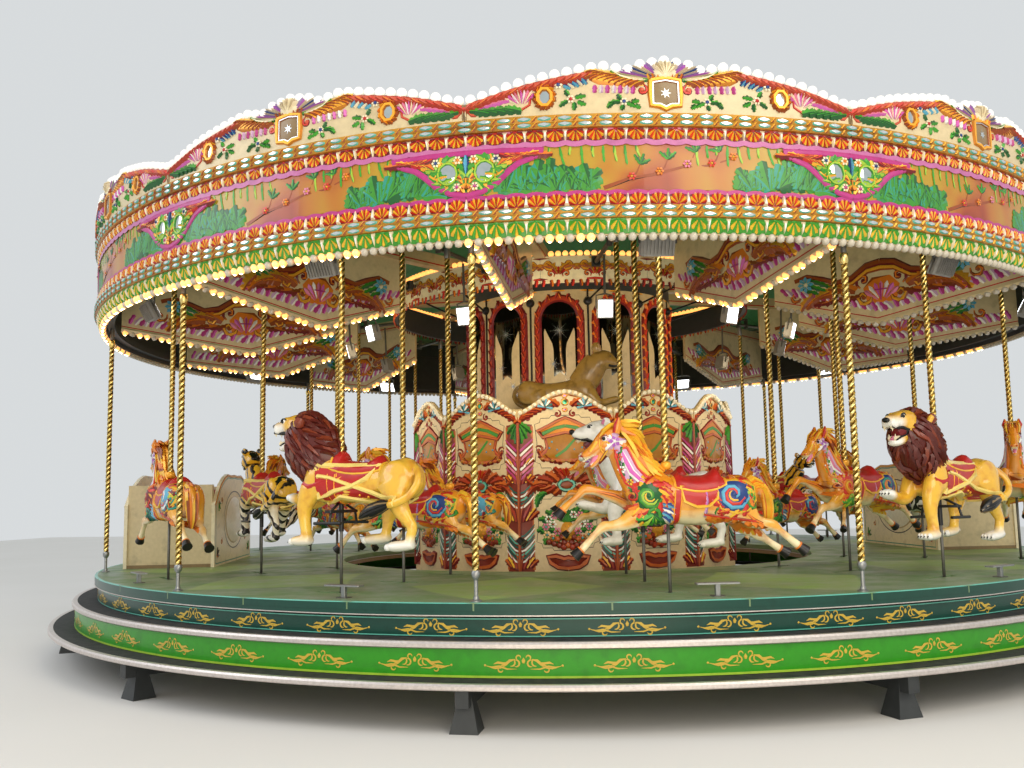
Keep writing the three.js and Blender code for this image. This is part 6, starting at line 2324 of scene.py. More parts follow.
# The animals of six sections from the rim inwards; the other six are alike
RIDERS = (("horse", "bear", "horse"), ("lion", "horse", "horse"), ("horse", "zebra", "horse"), (),
          ("horse", "tiger", "horse"), ("lion", "horse", "horse"))
ROW_NAMES = ("outer", "middle", "inner")
BODY_HEIGHTS = (1.70, 1.64, 1.56)
SLOTS = {"horse": "horse_coat", "lion": "lion_coat", "tiger": "tiger_coat", "bear": "bear_coat",
         "zebra": "zebra_coat"}
LIONESS_RADIUS = 1.74
LIONESS_ANGLE = math.radians(2)
LIONESS_SCALE = 0.85
LIONESS_BODY = 0.538  # of her middle above her paws, before scaling
LIONESS_FORWARD = 0.2


def smooth_run(stations, steps=4):
    """Stations with rounded ones between them, all with their sideways value and in metres."""
    full = [Vector((*s[:4], 0.0)) if len(s) == 4 else Vector(s) for s in stations]
    run = []
    for i in range(len(full) - 1):
        a, b = full[max(i - 1, 0)], full[i]
        c, d = full[i + 1], full[min(i + 2, len(full) - 1)]
        for j in range(steps):
            t = j / steps
            run.append((b * 2 + (c - a) * t + (a * 2 - b * 5 + c * 4 - d) * t * t + (b * 3 - a - c * 3 + d)
                        * t ** 3) * 0.5 * MM)
    return run + [full[-1] * MM]


def form(shape, stations, side=0.0, wears="cream", sides=16):
    """A closed rounded form along stations that lie in the animal's upright plane."""
    run = smooth_run(stations)
    last = len(run) - 1
    points = []
    for i, station in enumerate(run):
        forward, height, half_width, half_depth, sideways = station
        before, after = run[max(i - 1, 0)], run[min(i + 1, last)]
        along = Vector((after[0] - before[0], after[1] - before[1])).normalized()
        for j in range(sides):
            turn = math.tau * j / sides
            across = half_depth * math.cos(turn)
            points.append((-(forward - along.y * across), side * MM + sideways + half_width * math.sin(turn),
                           height + along.x * across))
    shape.add(points, ring_faces(len(run), sides) + end_caps(len(run), sides), wears)


def merged(shape, voxel, keep):
    """One smooth skin round all the forms of a shape."""
    lump = bpy.data.objects.new("lump", shape.mesh("lump"))
    bpy.context.scene.collection.objects.link(lump)
    skin = lump.modifiers.new("skin", "REMESH")
    skin.mode = "VOXEL"
    skin.voxel_size = voxel
    ease = lump.modifiers.new("ease", "SMOOTH")
    ease.factor = 0.5
    ease.iterations = SMOOTH_ROUNDS
    thin = lump.modifiers.new("thin", "DECIMATE")
    thin.ratio = keep
    graph = bpy.context.evaluated_depsgraph_get()
    mesh = bpy.data.meshes.new_from_object(lump.evaluated_get(graph))
    bpy.data.objects.remove(lump)
    points = [v.co.copy() for v in mesh.vertices]
    faces = [tuple(p.vertices) for p in mesh.polygons]
    bpy.data.meshes.remove(mesh)
    return points, faces


class Hide:
    """An animal's skin, and placings on it for paint, harness and carving."""

    def __init__(self, points, faces):
        self.tree = BVHTree.FromPolygons(points, faces)

    def flank(self, hand):
        """Placing on one side: u is forward, v the height and w stands out; hand is -1 on the outer side."""
        def place(u, v, w):
            start = Vector((-u, hand * 1.0, v))
            spot, normal, _, _ = self.tree.ray_cast(start, Vector((0, -hand, 0)))
            if spot is None:
                spot, normal, _, _ = self.tree.find_nearest(Vector((-u, hand * 0.05, v)))
            return spot + normal * w
        place.turned = hand < 0
        return place

    def girdle(self, forward, tilt, middle=0.0):
        """Placing round the body: u is the angle from the top, v is along the body and w stands out."""
        def place(u, v, w):
            around = Vector((0, math.sin(u), math.cos(u)))
            along = Vector((-(forward + tilt * math.cos(u) + v), 0, middle))
            spot, normal, _, _ = self.tree.ray_cast(along + around, -around)
            if spot is None:
                spot, normal, _, _ = self.tree.find_nearest(along + around * 0.1)
            return spot + normal * w
        place.turned = True
        return place


def patch(shape, place, upper, lower, wears, lift=0.006, columns=4):
    """A painted or carved panel between two lines of as many points, raised a little along its middle."""
    rows = len(upper)
    points = []
    for (a, b), (c, d) in zip(upper, lower):
        for j in range(columns + 1):
            share = j / columns
            points.append((a + (c - a) * share, b + (d - b) * share,
                           lift * (0.4 + 2.4 * share * (1 - share))))
    width = columns + 1
    faces = [(i * width + j, (i + 1) * width + j, (i + 1) * width + j + 1, i * width + j + 1)
             for i in range(rows - 1) for j in range(columns)]
    shape.add(points, faces, wears, place)


def edged_patch(shape, place, upper, lower, wears, edge, width=0.008):
    """A panel with a raised edge all round."""
    patch(shape, place, upper, lower, wears)
    ridge(shape, list(upper) + list(reversed(lower)) + [upper[0]], width, place, edge, edge, 1.3)


def girth(shape, hide, forward, tilt, width, wears, edge, low=0.0, high=math.tau, middle=0.0, lift=0.008):
    """A strap round the body with raised edges."""
    place = hide.girdle(forward, tilt, middle)
    steps = 28
    points = []
    for i in range(steps + 1):
        turn = low + (high - low) * i / steps
        for v, w in ((-1, 0.0), (-1, lift), (1, lift), (1, 0.0)):
            points.append((turn, v * width / 2, w))
    faces = [(4 * i + j, 4 * i + j + 1, 4 * i + j + 5, 4 * i + j + 4) for i in range(steps)
             for j in range(3)]
    shape.add(points, faces, wears, place)
    for hand in (-1, 1):
        path = [place(low + (high - low) * i / steps, hand * width / 2, lift * 0.7)
                for i in range(steps + 1)]
        tube(shape, path, 0.006, edge, 4)


def saddle(shape, hide, rise, front, back, spread, seat, edge):
    """A padded seat with a raised pommel and cantle and a gilt edge."""
    place = hide.girdle(0.0, 0.0)
    rows, columns = 13, 12
    points = []
    for i in range(rows + 1):
        share = i / rows
        v = front + (back - front) * share
        for j in range(columns + 1):
            across = 2 * j / columns - 1
            reach = spread * (0.8 + 0.2 * math.sin(math.pi * share))
            crest = max(0.0, 1 - (across * 1.5) ** 2)
            ends = math.exp(-((share - 0.05) / 0.1) ** 2) * 0.6 + math.exp(-((share - 0.9) / 0.16) ** 2)
            lift = 0.022 + crest * rise * ends
            rim = min(share, 1 - share, (1 - abs(across)) * 0.5) < 0.01
            points.append(place(across * reach, v, 0.002 if rim else lift))
    width = columns + 1
    faces = [(i * width + j, i * width + j + 1, (i + 1) * width + j + 1, (i + 1) * width + j)
             for i in range(rows) for j in range(columns)]
    shape.add(points, faces, seat)
    loop = [points[j] for j in range(width)] + [points[i * width + columns] for i in range(1, rows + 1)]
    loop += ([points[rows * width + j] for j in range(columns - 1, -1, -1)]
             + [points[i * width] for i in range(rows - 1, 0, -1)])
    tube(shape, loop, 0.011, edge, 6, None, 1.0, True)


def lock(shape, path, width, wears, sides=4):
    """A tapering lock of carved hair."""
    count = len(path)
    radii = [width * (0.35 + 0.65 * math.sin(math.pi * min(1.0, 0.15 + 0.85 * i / (count - 1))))
             for i in range(count)]
    tube(shape, path, radii, wears, sides)


def horse_mane(shape, hide, hairs, rng):
    """Thick locks that stand out from the crest of the neck, curl back and end in points, and a forelock."""
    crest = ((412, 588), (388, 592), (366, 572), (345, 546), (324, 518), (303, 489), (283, 460), (264, 430),
             (246, 400), (228, 371), (208, 344), (184, 318), (158, 296), (130, 276))
    layers = ((0.105, 0.15, 0.012), (0.085, 0.15, 0.034), (0.05, 0.14, 0.05), (-0.02, 0.13, 0.066))
    for hand in (-1, 1):
        flank = hide.flank(hand)
        for i in range(1, len(crest) - 1):
            here = Vector(crest[i]) * MM
            down = (Vector(crest[i + 1]) - Vector(crest[i - 1])).normalized()
            out = Vector((down.y, -down.x))
            for j, (stand, fall, aside) in enumerate(layers):
                stand = stand * (0.75 if j == 0 and i < 4 else 1.12 - 0.05 * i)
                length = 0.85 + 0.3 * rng.random()
                path = [Vector((-here.x, hand * aside * 0.4, here.y - 0.012))]
                for step in range(1, 6):
                    share = step / 5
                    spot = (here + out * (stand * length * math.sin(1.7 * share))
                            + down * (fall * length * share ** 1.6))
                    spot += Vector((0, 0.008 * math.sin(share * 7 + i)))
                    wide = aside + 0.012 * share
                    if j > 1:
                        wide = max(wide, abs(flank(spot.x, spot.y, 0.0).y) + 0.012)
                    path.append(Vector((-spot.x, hand * wide, spot.y)))
                lock(shape, path, 0.026 - 0.002 * j, hairs[(3 * j + i // 2) % len(hairs)] if j else "gold")
    for i in range(7):
        side = 0.017 * (i - 3)
        path = [Vector((-0.39, side, 0.595)), Vector((-0.45, side * 1.2, 0.605)),
                Vector((-0.51, side * 1.3, 0.56)), Vector((-0.55 - 0.01 * (i % 2), side * 1.1, 0.5))]
        lock(shape, path, 0.016, hairs[i % len(hairs)])


def horse_tail(shape, hairs, rng):
    """Heavy locks that stream back and fall."""
    for i in range(16):
        turn = math.tau * i / 16
        path = []
        for forward, height, wide, deep in ((-690, 115, 34, 44), (-745, 140, 46, 56), (-800, 110, 50, 56),
                                            (-828, 40, 50, 50),
                                            (-838, -50, 46, 46), (-836, -140, 36, 38), (-826, -215, 16, 18),
                                            (-818, -250, 6, 6)):
            wave = 0.01 * math.sin(forward * 0.014 + i)
            path.append(Vector((-(forward + deep * 0.6 * math.cos(turn)) * MM, wide * MM * math.sin(turn)
                                + wave, (height + deep * 0.8 * math.cos(turn)) * MM)))
        lock(shape, path, 0.021 + 0.004 * rng.random(), hairs[i % len(hairs)])


def lion_mane(shape, mane, rng):
    """Wavy locks that sweep back and down over the mane's mass."""
    rings = ((485, 492, 112, 140), (450, 478, 150, 178), (400, 445, 182, 222), (345, 385, 194, 250),
             (290, 310, 196, 262), (235, 240, 190, 256), (180, 170, 170, 235), (140, 120, 145, 215))
    for ring, (forward, height, wide, deep) in enumerate(rings):
        count = 20 if ring < 2 else 26
        for i in range(count):
            turn = math.tau * (i + 0.5 * (ring % 2)) / count
            across, rise = math.sin(turn), math.cos(turn)
            if ring == 0 and rise > 0.3:
                continue
            start = Vector((-forward * MM, wide * across * MM, (height + deep * rise) * MM))
            drift = (Vector((0.16, 0.03 * across, -0.02)) if rise > 0.5
                     else Vector((0.12 if rise > -0.5 else 0.02, 0.012 * across, -0.14)))
            stand = 0.006 if rise > 0.5 else 0.012
            path = []
            for j in range(6):
                share = j / 5
                spot = start + drift * share + Vector((0, 0.014 * math.sin(5 * share + i),
                                                       0.012 * math.sin(4 * share + 2 * i)))
                near, normal, _, _ = mane.find_nearest(spot)
                path.append(near + normal * (stand if 0 < j < 5 else 0.002))
            lock(shape, path, 0.018 + 0.008 * rng.random(),
                 ("dark_mane", "dark_mane", "chestnut", "dark_mane")[(i + ring) % 4])


def eyes_and_nose(shape, kind, hide):
    """Eyes under painted lids, and nostrils or a nose."""
    forward, height, side, size = (value * MM for value in kind["eye"])
    for hand in (-1, 1):
        ball(shape, (-forward, hand * side, height), (size, size * 0.8, size), "white", 10, 6)
        ball(shape, (-forward - size * 0.3, hand * (side + size * 0.3), height),
             (size * 0.66, size * 0.8, size * 0.7), "black", 8, 5)
        lid = [Vector((-forward - size * 1.3 * math.cos(a), hand * (side + size * 0.35),
                       height + size * 1.15 * math.sin(a)))
               for a in (-0.3, 0.5, 1.2, 1.9, 2.6, 3.4)]
        tube(shape, lid, size * 0.3, "black" if "lip" in kind else "russet", 6)
        if "lip" in kind:
            flank = hide.flank(hand)
            ridge(shape, [(u * MM, v * MM) for u, v in kind["lip"]], 0.017, flank, "black", "black", 0.8)
    forward, height, side, size = (value * MM for value in kind["nose"])
    if side:
        for hand in (-1, 1):
            ball(shape, (-forward, hand * side, height), (size * 0.9, size * 0.7, size * 0.6), "crimson", 8,
                 5)
    else:
        ball(shape, (-forward, 0, height), (size * 0.8, size * 1.2, size * 0.75), "black", 12, 7)


def ears(shape, kind, coat, inside, pointed):
    """A pair of ears, pointed or round, with a coloured inside."""
    forward, height, side, size, tall = (value * MM for value in kind["ears"])
    for hand in (-1, 1):
        base = Vector((-forward, hand * side, height - 0.02))
        tip = base + Vector((0.02, hand * tall * 0.15, tall))
        middle = (base + tip) / 2 + Vector((0.0, hand * 0.012, 0.0))
        radii = (size, size * 1.05, size * 0.25) if pointed else (size, size * 1.15, size * 0.7)
        tube(shape, (base, middle, tip), radii, coat, 10)
        front = Vector((-size * 0.45, hand * size * 0.3, 0))
        tube(shape, (base + front, middle + front, tip + front * 0.4), [r * 0.62 for r in radii], inside, 8)


def mouth(shape, kind, teeth):
    """A dark throat, a tongue and teeth between the open jaws."""
    skull, jaw = kind["skull"], kind["jaw"]
    top, bottom = [(Vector(s[-3][:2]) * MM, Vector(s[-1][:2]) * MM) for s in (skull, jaw)]
    deep = (top[0] * 0.6 + bottom[0] * 0.4) + Vector((-0.06, 0))
    front = (top[1] * 0.45 + bottom[1] * 0.55) + Vector((-0.09, 0))
    thick = (top[0].y - bottom[0].y) * 0.5
    tube(shape, ((-deep.x, 0, deep.y - 0.01), (-front.x, 0, front.y)), (thick * 0.9, thick * 0.5), "maroon",
         10)
    tongue = [(-bottom[0].x, 0, bottom[0].y + 0.028),
              (-(bottom[0].x + bottom[1].x) / 2, 0, (bottom[0].y + bottom[1].y) / 2 + 0.03),
              (-bottom[1].x + 0.004, 0, bottom[1].y + 0.02)]
    tube(shape, tongue, (0.024, 0.028, 0.016), "pink", 8)
    for run, ends, offset in ((skull, top, -0.9), (jaw, bottom, 1.1)):
        half = run[-2][2] * 0.7 * MM
        for i in range(6):
            share = 0.2 + 0.72 * i / 5
            spot = ends[0].lerp(ends[1], share)
            long = teeth * (2.2 if i == 4 and teeth > 0.01 else 1.0)
            for hand in (-1, 1):
                ball(shape, (-spot.x, hand * half * (1.0 - 0.3 * share), spot.y + offset * run[-2][3] * MM),
                     (0.008, 0.006, long), "ivory", 5, 3)


def hooves(shape):
    """Black hooves with a gilt band round the pastern."""
    for side, stations in HORSE["limbs"]:
        before, last = stations[-2], stations[-1]
        tip = Vector((-last[0], side, last[1])) * MM
        ahead = Vector((-(last[0] - before[0]), 0, last[1] - before[1])).normalized()
        tube(shape, (tip - ahead * 0.015, tip + ahead * 0.02, tip + ahead * 0.062), (0.036, 0.042, 0.05),
             "hoof", 12)
        tube(shape, (tip - ahead * 0.022, tip - ahead * 0.01), 0.039, "orange", 12)


def toes(shape, coat):
    """Four round toes with dark claws on each paw."""
    for side, forward, height in CAT["toes"]:
        for i in range(4):
            off = i - 1.5
            spot = Vector((-(forward - 9 * abs(off)), side + off * 31, height - 2)) * MM
            ball(shape, spot, (0.036, 0.02, 0.03), coat, 8, 5)
            tube(shape, (spot + Vector((-0.027, 0, 0.004)), spot + Vector((-0.044, 0, -0.012))),
                 (0.008, 0.002), "hoof", 6)


def rosette(shape, place, at, radius, paints, dark):
    """Three carved volutes, one inside the other, on a dark button."""
    boss(shape, place, at, radius * 1.05, dark, 16, 0.08)
    for i, paint_name in enumerate(paints):
        scroll(shape, place, at, radius * (1 - 0.27 * i), 2.6 + 0.2 * i, 1.35 - 0.15 * i, paint_name, dark,
               0.24 + 0.04 * i)


def horse_trappings(shape, hide, paints):
    """Neck band and bridle on both flanks; shoulder and hip scrolls and feathers on the outer one."""
    band, reds, greens, blues, feathers = paints
    shoulder, shade_of = (((greens[0], "lime", "yellow"), greens[1]) if band == "orchid"
                          else ((reds[0], "yellow", "orange"), reds[1]))
    for hand in (-1, 1):
        flank = hide.flank(hand)
        edged_patch(shape, flank, ((0.33, 0.42), (0.29, 0.34), (0.25, 0.26), (0.19, 0.2), (0.1, 0.16)),
                    ((0.43, 0.39), (0.41, 0.31), (0.385, 0.22), (0.345, 0.13), (0.27, 0.07)), "lilac",
                    reds[0], 0.012)
        ridge(shape, ((0.375, 0.39), (0.345, 0.31), (0.305, 0.23), (0.24, 0.165), (0.17, 0.145)),
              (0.014, 0.034, 0.036, 0.03, 0.012), flank, band, "white", 0.4)
        ridge(shape, ((0.315, 0.44), (0.275, 0.355), (0.23, 0.28), (0.165, 0.22)),
              (0.012, 0.03, 0.034, 0.016), flank, "yellow", "gold", 0.4)
        ridge(shape, ((0.545, 0.485), (0.555, 0.44), (0.535, 0.395), (0.505, 0.36)), 0.01, flank, "yellow",
              "orange", 0.8)
        ridge(shape, ((0.47, 0.46), (0.485, 0.4), (0.52, 0.35), (0.545, 0.31)), 0.01, flank, "yellow",
              "russet", 0.8)
        ridge(shape, ((0.57, 0.47), (0.6, 0.425), (0.63, 0.385)), 0.009, flank, "yellow", "yellow", 0.6)
        ridge(shape, ((0.475, 0.435), (0.49, 0.465), (0.525, 0.46), (0.54, 0.42), (0.51, 0.4)), 0.009, flank,
              "yellow", "orange", 0.7)
        if hand > 0:
            continue
        for i, (u, v) in enumerate(((0.4, 0.34), (0.375, 0.24), (0.32, 0.14))):
            leaf(shape, flank, (u, v), 1.9, 0.09, 0.028, greens[0], greens[1])
            leaf(shape, flank, (u, v), 4.6, 0.08, 0.026, greens[0], greens[1])
            flower(shape, flank, (u, v), 0.034, ("scarlet", "white", "yellow")[i], "crimson")
        for i in range(9):
            bearing = 0.3 + 0.55 * i
            at = (0.19 + 0.1 * math.cos(bearing), 0.04 + 0.1 * math.sin(bearing))
            leaf(shape, flank, at, bearing + 0.9, 0.11, 0.034, (reds[0], "yellow", "orange")[i % 3], reds[1],
                 3, 0.6, 0.25)
        rosette(shape, flank, (0.19, 0.045), 0.115, shoulder, shade_of)
        scroll(shape, flank, (0.31, 0.03), 0.055, 0.6, 1.2, reds[0], "maroon", 0.34)
        for i in range(5):
            leaf(shape, flank, (0.16, -0.1), 3.6 + 0.5 * i, 0.15, 0.045, ("fringe_green", "lime")[i % 2],
                 greens[1], 3, 0.7)
        scroll(shape, flank, (0.16, -0.1), 0.09, 0.2, -1.4, greens[0], greens[1], 0.34)
        scroll(shape, flank, (0.155, -0.105), 0.05, 0.5, -1.0, "lime", greens[0], 0.32)
        for i in range(4):
            leaf(shape, flank, (0.27 - 0.012 * i, -0.03 - 0.028 * i), 5.6 - 0.25 * i, 0.1, 0.024,
                 (reds[0], "yellow")[i % 2], "orange", 3, 0.3)
            leaf(shape, flank, (0.08, -0.015 - 0.035 * i), 3.3 + 0.12 * i, 0.12, 0.024,
                 (blues[0], "white")[i % 2], blues[1], 3, 0.4)
            leaf(shape, flank, (0.06 - 0.01 * i, 0.16 - 0.04 * i), 3.7 + 0.1 * i, 0.08, 0.02,
                 (reds[0], "orange")[i % 2], reds[1])
        edged_patch(shape, flank, ((-0.42, 0.15), (-0.52, 0.16), (-0.62, 0.15), (-0.7, 0.11)),
                    ((-0.4, -0.06), (-0.52, -0.1), (-0.62, -0.08), (-0.69, 0.0)), greens[0], "yellow", 0.01)
        for i in range(10):
            bearing = 0.2 + 0.6 * i
            at = (-0.5 + 0.125 * math.cos(bearing), 0.045 + 0.125 * math.sin(bearing))
            leaf(shape, flank, at, bearing + 0.9, 0.1, 0.032, (reds[0], "yellow", "orange")[i % 3], reds[1],
                 3, 0.6, 0.25)
        rosette(shape, flank, (-0.5, 0.05), 0.14, (blues[0], reds[0], "yellow"), blues[1])
        for i in range(4):
            leaf(shape, flank, (-0.36 - 0.012 * i, 0.05 - 0.05 * i), 4.1 + 0.2 * i, 0.12, 0.024,
                 (reds[0], "yellow")[i % 2], reds[1], 3, -0.5)
            leaf(shape, flank, (-0.28, 0.08 - 0.04 * i), 4.5 + 0.1 * i, 0.09, 0.016, (band, "lilac")[i % 2],
                 "mauve", 3, 0.2)
        for i in range(3):
            for j in range(3):
                boss(shape, flank, (-0.625 - 0.03 * i, 0.1 - 0.04 * j - 0.02 * (i % 2)), (0.016, 0.02),
                     (greens[0], "lime")[(i + j) % 2], 6, 0.5)
        scroll(shape, flank, (-0.67, -0.02), 0.06, 1.0, -1.3, greens[0], greens[1], 0.3)
        scroll(shape, flank, (-0.4, -0.09), 0.05, 5.5, 1.2, greens[0], greens[1], 0.3)
        for i in range(9):
            at = (-0.28 - 0.052 * i, -0.13 - 0.008 * i)
            leaf(shape, flank, at, 3.5 + 0.03 * i, 0.15, 0.036, (feathers[0], "yellow")[i % 2], "orange", 3,
                 0.5)
        ridge(shape, [(-0.26 - 0.06 * i, -0.105 - 0.009 * i) for i in range(8)], 0.011, flank, "scarlet",
              feathers[1], 1.0)
        edged_patch(shape, flank, ((-0.08, 0.12), (-0.2, 0.12), (-0.32, 0.12), (-0.4, 0.13)),
                    ((-0.1, 0.0), (-0.2, -0.045), (-0.3, -0.04), (-0.37, 0.02)), "crimson", "yellow", 0.014)
        for leg in (((0.33, -0.01), (0.42, 0.03), (0.5, 0.05), (0.56, 0.066)),
                    ((-0.6, -0.1), (-0.67, -0.16), (-0.74, -0.19))):
            ridge(shape, leg, (0.006, 0.014, 0.012, 0.005)[:len(leg)], flank, "orange", "russet", 0.4)
        for turn in range(5):
            leaf(shape, flank, (0.43, 0.465), 0.5 + 1.25 * turn, 0.1, 0.034, ("white", "lilac")[turn % 2],
                 "lilac")
        flower(shape, flank, (0.43, 0.465), 0.05, "violet", "white", 5)
    girth(shape, hide, -0.05, -0.02, 0.05, "crimson", "gold", math.radians(62), math.radians(298))


def cat_trappings(shape, hide, cloth):
    """A saddle cloth with gilt scrolls, a studded breeching strap and a girth."""
    for hand in (-1, 1):
        flank = hide.flank(hand)
        edged_patch(shape, flank, ((0.15, 0.15), (0.02, 0.14), (-0.1, 0.13), (-0.28, 0.125), (-0.46, 0.125)),
                    ((0.13, -0.12), (0.04, -0.1), (-0.06, -0.07), (-0.2, -0.04), (-0.36, 0.03)), cloth,
                    "straw", 0.022)
        edged_patch(shape, flank, ((0.12, 0.06), (0.0, 0.04), (-0.12, 0.0), (-0.26, -0.045), (-0.4, -0.09),
                                   (-0.54, -0.13), (-0.68, -0.14)),
                    ((0.1, -0.2), (0.0, -0.15), (-0.1, -0.12), (-0.26, -0.15), (-0.4, -0.19), (-0.54, -0.2),
                     (-0.68, -0.19)), cloth,
                    "straw", 0.018)
        for spot in spaced(((-0.24, -0.1), (-0.4, -0.14), (-0.54, -0.165), (-0.68, -0.165)), 0.075):
            boss(shape, flank, (spot.x, spot.y), 0.011, "gold", 6, 1.6)
        scroll(shape, flank, (-0.03, 0.055), 0.04, 1.2, 1.2, "gold", "gold", 0.26)
        ridge(shape, ((0.08, -0.12), (0.0, -0.06), (-0.08, 0.03), (-0.2, 0.08)), 0.009, flank, "gold",
              "gold", 0.9)
        chest = ((0.05, 0.03), (0.13, -0.01), (0.22, -0.03), (0.29, 0.0))
        ridge(shape, chest, 0.02, flank, cloth, cloth, 0.4)
    girth(shape, hide, -0.01, 0.0, 0.07, cloth, "gold", math.radians(66), math.radians(294))


def tuft(shape, hairs):
    """The brush at the end of a cat's tail."""
    form(shape, CAT["tuft"], 0, hairs[0], 10)
    for i in range(12):
        turn = math.tau * i / 12
        path = [Vector((-(u + 8 * i % 3) * MM, (y + 0.85 * w * math.cos(turn)) * MM,
                        (v + 0.85 * d * math.sin(turn)) * MM))
                for u, v, w, d, y in CAT["tuft"]]
        lock(shape, path, 0.014, hairs[i % len(hairs)])


def foot_rest(shape):
    """The black steel rest under a big cat's belly."""
    for hand in (-1, 1):
        tube(shape, ((0.0, hand * 0.03, -0.17), (0.02, hand * 0.17, -0.24), (0.02, hand * 0.2, -0.34)),
             0.012, "black_paint", 8)
        tube(shape, ((-0.14, hand * 0.2, -0.345), (0.14, hand * 0.2, -0.345)), 0.014, "black_paint", 8)
    block(shape, (-0.035, -0.2, -0.26), (0.035, 0.2, -0.235), "black_paint", None, 0.008)
    tube(shape, ((0, 0, -0.15), (0, 0, -0.42)), 0.022, "black_paint", 10)


def skin_of(kind):
    """The merged skin of an animal and its hide."""
    lump = Shape()
    for name in ("trunk", "neck", "skull", "jaw", "tail"):
        form(lump, kind[name])
    for side, stations in kind["limbs"]:
        form(lump, stations, side)
    for forward, height, side, long, tall, wide in kind["muscles"] + kind.get("face", ()):
        for hand in (-1, 1):
            ball(lump, (-forward * MM, hand * side * MM, height * MM), (long * MM, wide * MM, tall * MM),
                 "cream", 16, 10)
    for forward, height, side, long, tall, wide in kind.get("joints", ()):
        ball(lump, (-forward * MM, side * MM, height * MM), (long * MM, wide * MM, tall * MM), "cream", 16,
             10)
    return merged(lump, SKIN_VOXEL, SKIN_KEEP)


def hang_lower(shape, body, head, start, end):
    """Lowers the body more than the head, which draws out the neck between start and end."""
    for point in shape.points:
        share = min(1.0, max(0.0, (-point[0] - start) / (end - start)))
        point[2] -= body + (head - body) * share * share * (3 - 2 * share)


def animal_mesh(name, kind, coat, dress):
    """One painted animal: skin, head, feet and what dress adds."""
    shape = Shape()
    points, faces = skin_of(kind)
    shape.add(points, faces, coat)
    hide = Hide(points, faces)
    eyes_and_nose(shape, kind, hide)
    dress(shape, hide)
    if "hang" in kind:
        hang_lower(shape, *(value * MM for value in kind["hang"]))
    return sharpen(shape.mesh(name, ANIMAL_KEEP), 55)


def dress_horse(paints, hairs):
    """What a horse of some colours wears."""
    def dress(shape, hide):
        ears(shape, HORSE, "horse_coat", "crimson", True)
        mouth(shape, HORSE, 0.009)
        hooves(shape)
        horse_mane(shape, hide, hairs, random.Random(5))
        horse_tail(shape, hairs, random.Random(9))
        horse_trappings(shape, hide, paints)
        saddle(shape, hide, 0.06, -0.04, -0.45, 1.15, "crimson", "gold")
    return dress


def edged_girths(shape, hide):
    """Plain crimson straps with gilt edges round the chest, the girth and the rump."""
    girth(shape, hide, -0.05, -0.02, 0.05, "crimson", "gold", math.radians(62), math.radians(298))
    for hand in (-1, 1):
        flank = hide.flank(hand)
        for path in (((0.0, 0.03), (0.1, 0.0), (0.2, -0.02), (0.27, 0.02)),
                     ((-0.42, 0.06), (-0.52, 0.02), (-0.62, -0.02), (-0.7, 0.0))):
            edged_patch(shape, flank, [(u, v + 0.022) for u, v in path], [(u, v - 0.022) for u, v in path],
                        "crimson", "gold")
            for spot in spaced(path, 0.06):
                boss(shape, flank, (spot.x, spot.y), 0.01, "gold", 6, 1.6)


def dress_zebra(shape, hide):
    """A zebra's mane of upright tufts, its tail and its plain straps."""
    ears(shape, HORSE, "zebra_coat", "black", True)
    mouth(shape, HORSE, 0.009)
    for i in range(26):
        share = i / 25
        forward, height = 0.42 - 0.36 * share, 0.66 - 0.42 * share
        root = Vector((-forward, 0, height - 0.06))
        tip = Vector((-forward + 0.03, 0, height + 0.025))
        tube(shape, (root, (root + tip) / 2, tip), (0.03, 0.028, 0.012), "black" if i % 2 else "white", 8,
             None, 0.7)
    hooves(shape)
    horse_tail(shape, ("black", "white"), random.Random(9))
    edged_girths(shape, hide)
    saddle(shape, hide, 0.075, -0.04, -0.45, 1.15, "crimson", "gold")


def dress_lion(shape, hide):
    """A lion's mane, cloth, saddle, paws and foot rest."""
    lump = Shape()
    form(lump, LION["mane"])
    points, faces = merged(lump, MANE_VOXEL, MANE_KEEP)
    shape.add(points, faces, "dark_mane")
    lion_mane(shape, BVHTree.FromPolygons(points, faces), random.Random(3))
    ears(shape, LION, "chestnut", "lion_coat", False)
    mouth(shape, LION, 0.018)
    toes(shape, "white")
    cat_trappings(shape, hide, "crimson")
    saddle(shape, hide, 0.055, 0.03, -0.47, 1.1, "crimson", "yellow")
    # The tan locks among the black are painted streaks of light on the brush
    tuft(shape, ("black", "hoof", "tan"))
    foot_rest(shape)


def dress_tiger(shape, hide):
    """A tiger's cloth, saddle, paws and foot rest."""
    ears(shape, SLEEK, "tiger_coat", "white", False)
    mouth(shape, SLEEK, 0.012)
    toes(shape, "white")
    cat_trappings(shape, hide, "crimson")
    saddle(shape, hide, 0.085, 0.03, -0.47, 1.1, "crimson", "yellow")
    tuft(shape, ("black", "black", "white"))
    foot_rest(shape)


def dress_bear(shape, hide):
    """A bear's cloth, saddle, paws and foot rest."""
    ears(shape, BEAR, "bear_coat", "pink", False)
    mouth(shape, BEAR, 0.011)
    toes(shape, "bear_coat")
    cat_trappings(shape, hide, "navy")
    saddle(shape, hide, 0.085, 0.03, -0.47, 1.1, "crimson", "yellow")
    foot_rest(shape)


def dress_lioness(shape, hide):
    """A lioness wears nothing; her paws and her tail's brush are added."""
    ears(shape, LIONESS, "lioness_coat", "tan", False)
    toes(shape, "lioness_coat")
    tuft(shape, ("dark_mane", "black"))


